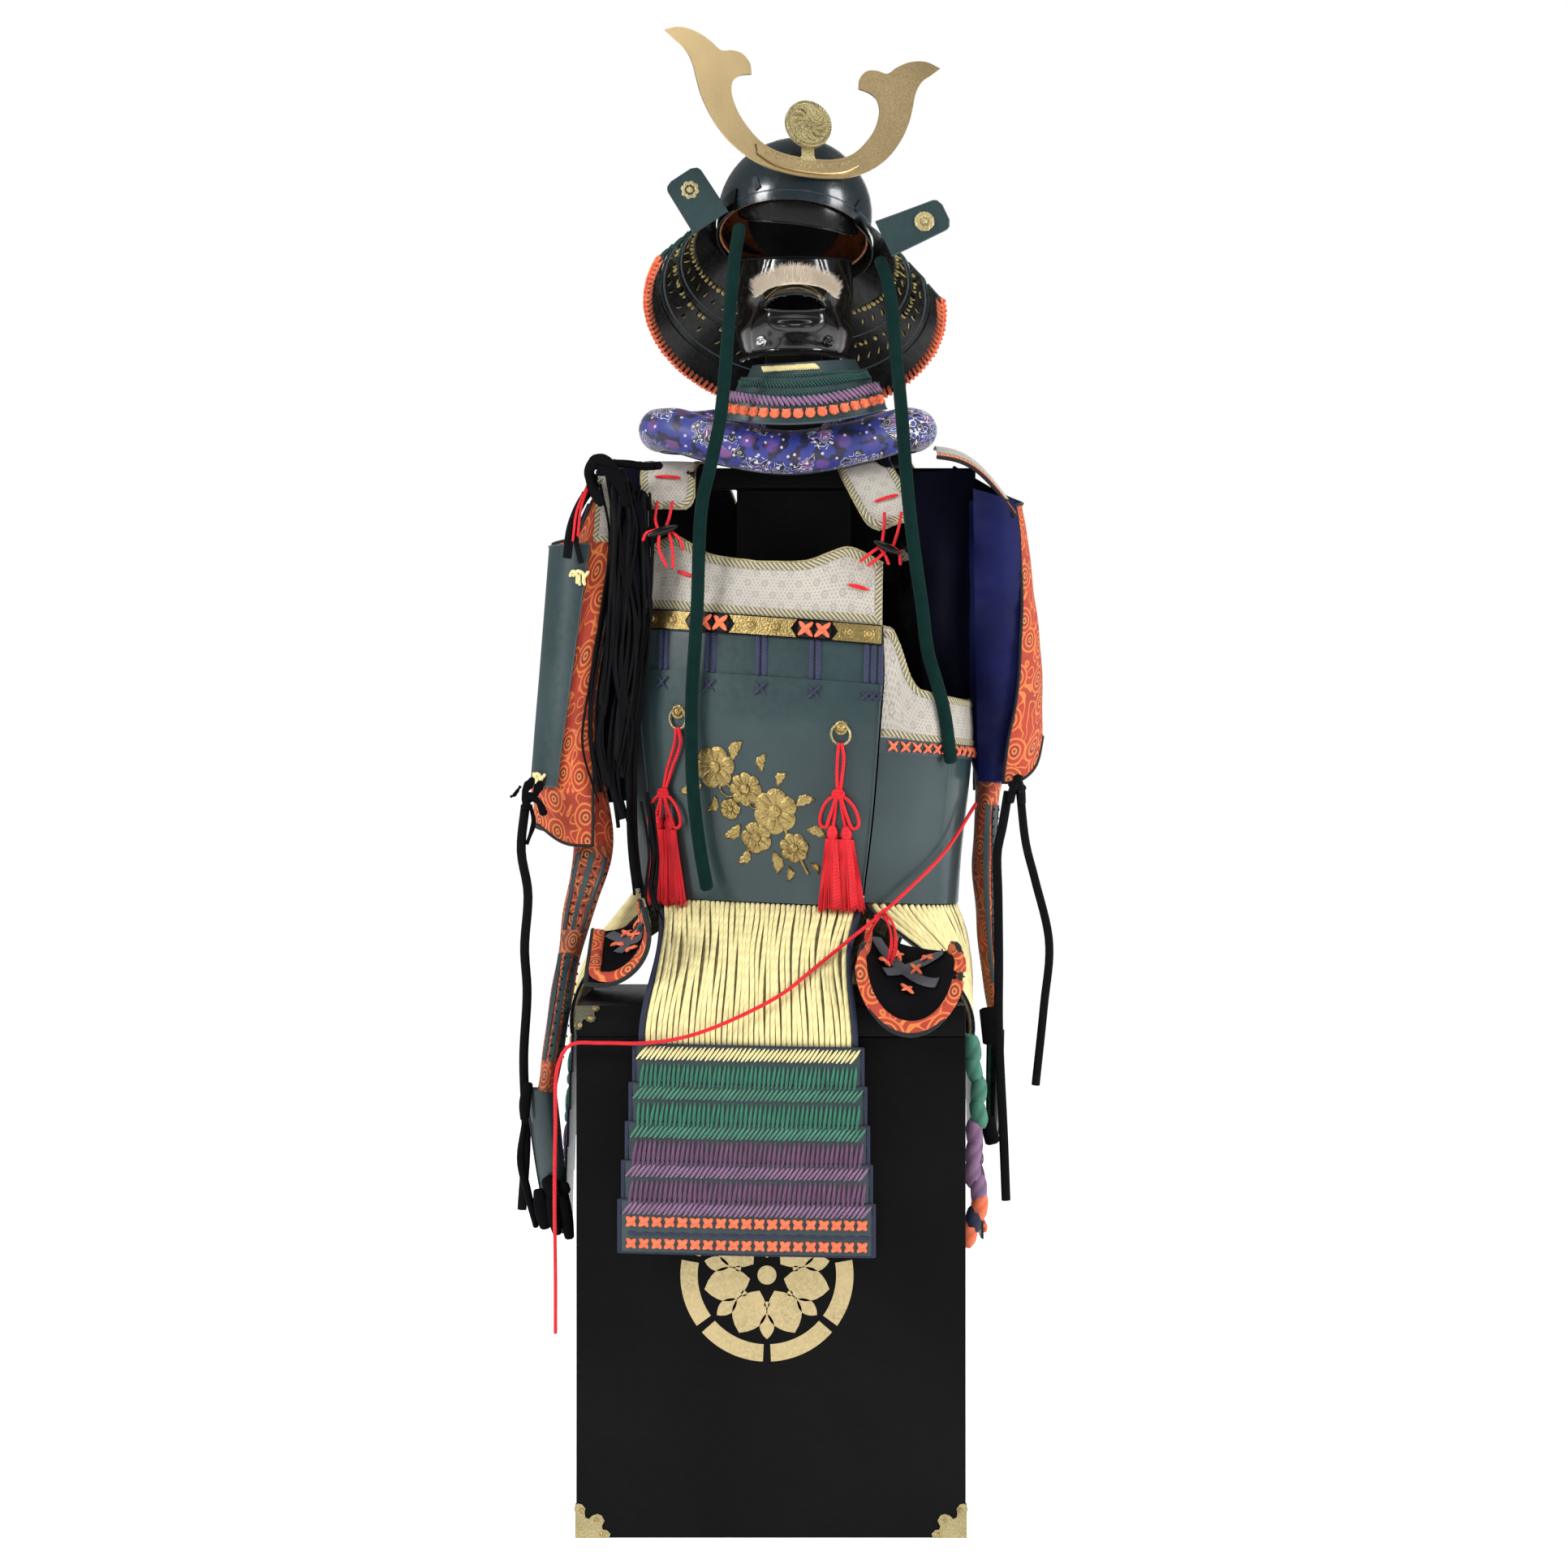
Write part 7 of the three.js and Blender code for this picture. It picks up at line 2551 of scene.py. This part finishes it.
def make_sleeves():
    for name, s in SLEEVES.items():
        face = sleeve_face(name)
        heap = Heap()
        heap.wall(face, 44, 110, 1.5, ring=True, marks=(0, 1, 2))
        # The right sleeve's inward half and the left sleeve below 800 take the darker copy of the brocade:
        # painted shade. The upper parts take their own dark finishes.
        for k in range(44 * 110):
            j, i = divmod(k, 44)
            v, u = (j + 0.5) / 110, (i + 0.5) / 44
            z = face(u, v).z
            if name == "left" and z > s["dark"]:
                heap.marks[k] = 3
            elif name == "left" and z < 800:
                heap.marks[k] = 4
            elif name == "right" and z > 872:
                heap.marks[k] = 1
            elif name == "right" and 0.25 < u < 0.75:
                heap.marks[k] = 4
        sleeve = made(
            f"sleeve_{name}_cloth", heap,
            ["brocade_orange", "lining_navy", "piping_black", "cloth_dark", "brocade_shaded"], 60,
            [f"sleeve_{name}"],
        )
        declared(sleeve, face)
        # Lacquered splints sewn along the sleeve, joined by rows of small rings.
        heap = Heap()
        rings = []
        for u in ((0.76, 0.87, 0.98) if name == "right" else (0.64, 0.76, 0.88)):
            for v0, v1 in ((0.1, 0.4), (0.6, 0.74), (0.78, 0.95)) if name == "left" else ((0.58, 0.92),):
                cover = sleeve_face(name, 1.4, 0.5)
                half_wide = 3.4 / (2 * math.pi * max(8, s["size"](v0)[0]))

                def strip(a, b, u=u, v0=v0, v1=v1, cover=cover, half_wide=half_wide):
                    return cover(u + half_wide * mix(-1, 1, a), mix(v0, v1, b))
                heap.wall(strip, 4, 24, 1.4)
                for k in range(int((v1 - v0) * 60)):
                    v = mix(v0, v1, (k + 0.5) / int((v1 - v0) * 60))
                    p, m = on(cover, clamp(u + half_wide * 2.4), v, 0.0)
                    rings.append((p, m, (3.4, 3.4, 3)))
        made(f"sleeve_{name}_splints", heap, ["lacquer_green"], 60)
        repeat(f"sleeve_{name}_mail", "rivet", rings, "lacquer_black", 0.1, 0.1)


HANDS = {
    "left": {"top": (-271, 514), "low": (-252, 358), "y": -158, "wide": 17, "deep": 12},
    "right": {"top": (271, 573), "low": (268, 448), "y": -34, "wide": 9, "deep": 30},
}


def hand_face(name):
    h = HANDS[name]

    def face(u, v):
        a = rad(mix(-80, 80, u))
        taper = 1 - 0.35 * v**3
        x = mix(h["top"][0], h["low"][0], v) + h["wide"] * taper * math.sin(a)
        return V(x, h["y"] + 12 - h["deep"] * taper * math.cos(a), mix(h["top"][1], h["low"][1], v))
    return face


def make_hands():
    for name in HANDS:
        face = hand_face(name)
        heap = Heap()
        heap.wall(face, 24, 40, SHEET, marks=(0, 1, 0))
        coat = "lacquer_green" if name == "left" else "lacquer_black"
        made(f"hand_guard_{name}_lacquered", heap, [coat, "lacquer_black"], 40, [f"hand_guard_{name}"])
        made(
            f"hand_guard_{name}_edge", Heap().tube(border(face, 30, 16, True), even(1.8), 8, loop=True),
            ["piping_black"], 60,
        )
    # The left guard's soft black cuff, its finger cover and the knots that hold them.
    heap = Heap()
    for line, wide, deep in (
        (((-284, -158, 520), (-288, -160, 500), (-289, -160, 478)), 7, 3),
        (((-262, -166, 410), (-252, -168, 396), (-238, -166, 400)), 11, 4),
        (((-272, -164, 396), (-268, -166, 372), (-264, -164, 352)), 9, 3),
        (((-244, -164, 396), (-240, -166, 368), (-236, -163, 340)), 8, 3),
        (((-258, -166, 392), (-254, -168, 366), (-250, -166, 346)), 8, 4),
        (((-290, -150, 470), (-294, -150, 430), (-286, -150, 392), (-276, -152, 352)), 5, 3),
    ):
        heap.tube(
            smooth_line(line, 16),
            lambda t, wide=wide, deep=deep: (wide * (0.7 + 0.3 * math.sin(math.pi * t)), deep), 10,
            (1, 0, 0.1),
        )
    made("hand_guard_left_cloth", heap, ["crepe_black"], 60)
    heap = Heap()
    for line, wide in (
        (((262, -44, 600), (264, -46, 580), (266, -50, 560)), 12),
        (((260, -48, 470), (262, -50, 456), (266, -50, 440)), 9),
    ):
        heap.tube(smooth_line(line, 12), even(wide, 4), 10, (1, 0, 0))
    made("hand_guard_right_cloth", heap, ["crepe_black"], 60)


# ---------------------------------------------------------------- shin guards on the lid
SHINS = {
    "left": {
        "x": -198, "r": 60, "from": -16, "to": 112,
        "line": [(0, -214, 632), (0, -206, 642), (0, -172, 660), (0, -118, 690)], "flat": 0.5, "rise": 1,
        "cut": 0,
    },
    "right": {
        "x": 160, "r": 62, "from": -84, "to": 84,
        "line": [(0, -238, 578), (0, -230, 612), (0, -186, 646), (0, -134, 682)], "flat": 0.3,
        "rise": 1.45, "cut": 0.42,
    },
}


def shin_face(name, lift):
    s = SHINS[name]
    line = smooth_line(s["line"], 60)

    def face(u, v):
        v = mix(s["cut"] * u**2.2, 1, clamp(v))
        at = (1 - v) * 60
        k = min(59, int(at))
        p = line[k].lerp(line[k + 1], at - k)
        a = rad(mix(s["to"], s["from"], 1 - u))
        low = s["rise"] * mix(s["flat"], 1, clamp((v - 0.3) / 0.6))
        return V(
            s["x"] + s["r"] * mix(0.8, 1, v) * math.sin(a), p.y,
            p.z + s["r"] * (1 - math.cos(a)) * low + 4,
        )

    def top(u, v):
        p, _, _, n = frame_of(face, u, v)
        return p + n * lift
    return top


def make_shins():
    for name in SHINS:
        top = shin_face(name, 4.0)
        wide, long, area = cut_of(top)
        piece = made(
            f"shin_guard_{name}_cloth", Heap().wall(top, 44, 30, 4, marks=(0, 1, 2)),
            ["crepe_black", "lacquer_green", "piping_black"], 60, [f"shin_guard_{name}"],
        )
        rim = 8.5 / (wide / MM)
        foot = 9.5 / (long / MM)
        route = [(rim, 0.02), (rim, 0.6), (rim * 1.2, 1 - foot * 1.6), (rim * 3.0, 1 - foot)]
        route += [(0.5, 1 - foot)] + [(1 - u, v) for u, v in reversed(route)]
        pick = smooth_line([(u, v, 0) for u, v in route], 120)
        made(
            f"shin_guard_{name}_rim",
            trim(Heap(), top, lambda t: pick[round(t * 120)][:2], 15, 1.2, 2.6, 120), ["brocade_orange"],
            60,
        )
        made(
            f"shin_guard_{name}_piping", Heap().tube(border(top, 24, 40), even(3.0, 2.6), 10),
            ["piping_black"], 60,
        )
        heap = Heap()
        for u0, v0, u1, v1 in ((0.2, 0.1, 0.72, 0.62), (0.8, 0.06, 0.3, 0.5)):
            trim(heap, top, lambda t, a=u0, b=v0, c=u1, d=v1: (mix(a, c, t), mix(b, d, t)), 15, 2.2, 1.4, 30)
        made(f"shin_guard_{name}_straps", heap, ["ribbon_grey"], 60)
        spots = []
        for u, v in ((0.42, 0.2), (0.56, 0.34), (0.48, 0.62), (0.66, 0.16), (0.3, 0.36)):
            for turn in (40, -50):
                spots.append((*on(top, u, v, 3.4, rad(turn)), (5, 13, 4)))
        repeat(f"shin_guard_{name}_knots", "stitch", spots, "cord_orange", 0.4, 0.15)


# ---------------------------------------------------------------- ribbons, knots and the plate's ornament
RIBBONS = [
    # points, half width, half thickness
    (
        (
            (-196, -96, 1240), (-188, -94, 1180), (-198, -92, 1090), (-213, -92, 1000), (-216, -90, 930),
            (-204, -88, 862),
        ),
        4.5, 1.6,
    ),
    (
        (
            (-190, -100, 1240), (-183, -98, 1170), (-186, -98, 1080), (-198, -96, 990), (-205, -94, 920),
            (-196, -92, 872),
        ),
        7, 2.2,
    ),
    (
        (
            (-182, -102, 1238), (-170, -100, 1180), (-178, -98, 1100), (-184, -96, 1010),
            (-172, -94, 940), (-178, -92, 880),
        ),
        8, 2.4,
    ),
    (
        (
            (-174, -96, 1232), (-158, -96, 1170), (-152, -96, 1080), (-160, -94, 1000), (-168, -92, 900),
            (-166, -92, 806), (-160, -92, 748),
        ),
        7, 2.0,
    ),
    (((-186, -104, 1228), (-188, -102, 1150), (-192, -102, 1060), (-200, -98, 965)), 6, 2.4),
    (((-166, -98, 1222), (-176, -100, 1150), (-168, -100, 1070), (-176, -98, 980), (-186, -96, 900)), 6, 1.8),
    (
        (
            (-182, -90, 1200), (-180, -90, 1120), (-172, -90, 1030), (-186, -90, 950), (-190, -90, 880),
            (-178, -90, 830),
        ),
        9, 2.0,
    ),
    (((-152, -98, 1216), (-148, -100, 1150), (-144, -102, 1080)), 5, 1.6),
    (((-148, -104, 860), (-140, -106, 800), (-142, -108, 744), (-134, -112, 722)), 5, 1.6),
]
KNOT = [
    (
        (
            (-212, -98, 1224), (-216, -104, 1244), (-204, -108, 1256), (-190, -106, 1248),
            (-186, -102, 1230),
        ),
        9, 7,
    ),
    (((-206, -104, 1250), (-190, -110, 1240), (-178, -108, 1222), (-172, -102, 1204)), 10, 6),
    (((-196, -96, 1252), (-172, -92, 1252), (-150, -84, 1250), (-134, -72, 1252)), 7, 5),
    (((-214, -98, 1236), (-210, -104, 1218), (-202, -104, 1204)), 8, 5),
    (((-170, -96, 1226), (-156, -94, 1216), (-146, -90, 1200)), 8, 4),
]
LOWER_KNOT = [
    (((-284, -104, 876), (-292, -110, 862), (-290, -112, 844)), 6, 4),
    (((-274, -104, 872), (-282, -110, 856), (-292, -110, 850)), 6, 4),
    (((-290, -110, 858), (-276, -112, 850), (-270, -108, 836)), 6, 4),
    (((-298, -106, 868), (-305, -108, 858), (-309, -106, 856)), 3, 1.4),
    (((-286, -108, 846), (-282, -108, 826), (-290, -106, 800)), 4, 1.4),
]
BOW = [
    (((130, -172, 721), (120, -176, 706), (111, -178, 690), (101, -178, 672)), 1.9, 1.9),
    (((128, -174, 719), (116, -178, 700), (106, -178, 682)), 1.7, 1.7),
    (((131, -172, 721), (142, -178, 708), (145, -182, 684), (140, -183, 664), (131, -182, 648)), 2.5, 2.5),
    (((131, -173, 719), (138, -178, 704), (140, -182, 682), (134, -183, 662), (130, -182, 650)), 2.3, 2.3),
    (((122, -172, 716), (130, -177, 722), (138, -173, 727)), 2.6, 2.6),
]


def make_ribbons():
    for name, rows, finish in (
        ("ribbons_left", RIBBONS, "ribbon_black"), ("shoulder_knot", KNOT, "crepe_black"),
        ("lower_knot", LOWER_KNOT, "crepe_black"), ("waist_bow", BOW, "cord_red"),
    ):
        heap = Heap()
        if name == "ribbons_left":
            # Each ribbon lies with narrower ones beside it.
            for line, wide, deep in list(rows):
                for _ in range(3):
                    by = V(LUCK.uniform(-7, 9), LUCK.uniform(-4, 3), LUCK.uniform(-14, 6))
                    beside = [Vector(p) + by + V(LUCK.uniform(-4, 4), 0, 0) for p in line]
                    rows.append((beside, wide * LUCK.uniform(0.3, 0.6), deep * 0.7))
        for line, wide, deep in rows:
            path = smooth_line(line, 8 * len(line))
            turn0, beat = LUCK.uniform(0, 6.3), LUCK.uniform(1.5, 3.2)
            spin = 0.0 if wide == deep else 0.9

            def side(j, n=len(path), turn0=turn0, beat=beat, spin=spin):
                a = spin * math.sin(turn0 + beat * 3 * j / n)
                return V(math.cos(a), math.sin(a), 0.1)
            heap.tube(
                path, lambda t, wide=wide, deep=deep: (wide * (0.8 + 0.2 * math.sin(9 * t + wide)), deep),
                10, side,
            )
        made(name, heap, [finish], 60)
    heap = Heap()
    for line, wide in (
        (
            ((296, -92, 880), (288, -94, 866), (284, -94, 850)), 5
        ), (((292, -92, 880), (297, -94, 864), (298, -94, 848)), 5),
        (((286, -92, 872), (292, -96, 862), (300, -92, 868)), 5),
    ):
        heap.tube(smooth_line(line, 12), even(wide, 3), 8, (1, 0, 0))
    made("right_tie_knot", heap, ["ribbon_black"], 60)


# Blossoms on the breast: place across and up, size, how many petals and their turn in degrees.
BLOSSOMS = [
    (
        -48, 886, 25, 6, 10
    ), (
        -10, 862, 20, 8, 0
    ), (26, 838, 27, 6, 25), (2, 806, 19, 5, 40), (48, 796, 18, 7, 12), (-30, 838, 13, 5, 0),
]
LEAVES = [
    (
        -66, 866, 30, 200
    ), (-26, 896, 26, 60), (10, 884, 22, 75), (52, 846, 24, 20), (64, 818, 24, -20), (22, 790, 26, -80),
    (
        -18, 820, 26, 215
    ), (-48, 852, 22, 240), (30, 868, 20, 55), (66, 778, 16, -50), (-8, 792, 22, 230), (40, 774, 18, -95),
]
STEM = [(-74, 900), (-52, 884), (-26, 862), (4, 848), (26, 834), (40, 812), (52, 790), (64, 766)]


def make_ornament():
    base, relief = Heap(), Heap()
    for x, z, r, petals, turn in BLOSSOMS:
        rows = []
        count = petals * 10
        for q, h in ((1.0, 0.0), (1.0, 1.6), (0.93, 2.6), (0.74, 3.4), (0.5, 2.9), (0.3, 2.0)):
            ring = []
            for k in range(count):
                a = 2 * math.pi * k / count + rad(turn)
                wave = abs(math.cos(petals * (a - rad(turn)) / 2))
                lobe = 0.84 + 0.16 * wave**0.6
                groove = 0.9 * (wave < 0.2) * (q < 0.95)
                ring.append(front(x + r * q * lobe * math.cos(a), z + r * q * lobe * math.sin(a), h - groove))
            rows.append(ring)
        base.solid(rows)
        heart = []
        for q, h in ((0.27, 2.0), (0.26, 3.8), (0.16, 4.8), (0.05, 5.0)):
            heart.append([front(x + r * q * math.cos(a), z + r * q * math.sin(a), h) for a in around(20)])
        base.solid(heart)
        for k in range(petals):
            a = 2 * math.pi * k / petals + rad(turn)
            vein = [
                front(x + r * q * math.cos(a), z + r * q * math.sin(a), 3.4 - 0.3 * abs(q - 0.6))
                for q in (0.38, 0.5, 0.62, 0.74, 0.84)
            ]
            relief.tube(vein, lambda t: (0.9 - 0.4 * t, 0.8), 6)
    for x, z, long, way in LEAVES:
        c, s = math.cos(rad(way)), math.sin(rad(way))
        rows = []
        for t in steps(14):
            reach = long * t
            bend = 4 * math.sin(math.pi * t)
            w = long * 0.24 * math.sin(
                math.pi * min(1, t * 0.94 + 0.05)
            ) ** 0.8 * (1 + 0.12 * math.sin(22 * t))
            row = []
            for side, h in ((-1, 0.0), (-1, 1.2), (-0.5, 2.4), (0, 1.6), (0.5, 2.4), (1, 1.2), (1, 0.0)):
                row.append(
                    front(x + reach * c - (bend + w * side) * s, z + reach * s + (bend + w * side) * c, h)
                )
            rows.append(row)
        base.grid(rows)
        base.grid([[r[0] for r in rows], [r[-1] for r in rows]])
        base.fan(rows[0])
        base.fan(rows[-1], flip=True)
    stem = smooth_line([(x, z, 0) for x, z in STEM], 60)
    relief.tube([front(p.x, p.y, 1.2) for p in stem], lambda t: (2.6 - 1.4 * t, 1.8), 8)
    for k, way in ((6, 1), (18, -1), (27, 1), (38, -1), (50, 1)):
        p = stem[k]
        curl = []
        for t in steps(26):
            r, a = 3 + 13 * t, 2.2 * way + 4.6 * t * way
            curl.append(front(p.x + way * r * math.cos(a), p.y + r * math.sin(2.2 + 4.6 * t), 1.6))
        relief.tube(curl, lambda t: (1.7 - 0.9 * t, 1.4 - 0.5 * t), 6)
    made("breast_blossoms", base, ["gilt"], 50)
    made("breast_stems", relief, ["gilt"], 60)


make_chest()
make_body()
make_straps()
make_tassels()
make_ornament()
make_skirts()
make_bowl()
make_neck_guard()
make_turn_backs()
make_horns()
make_mask()
make_throat()
make_roll()
make_shoulders()
make_lining_flap()
make_cap()
make_sleeves()
make_hands()
make_shins()
make_ribbons()
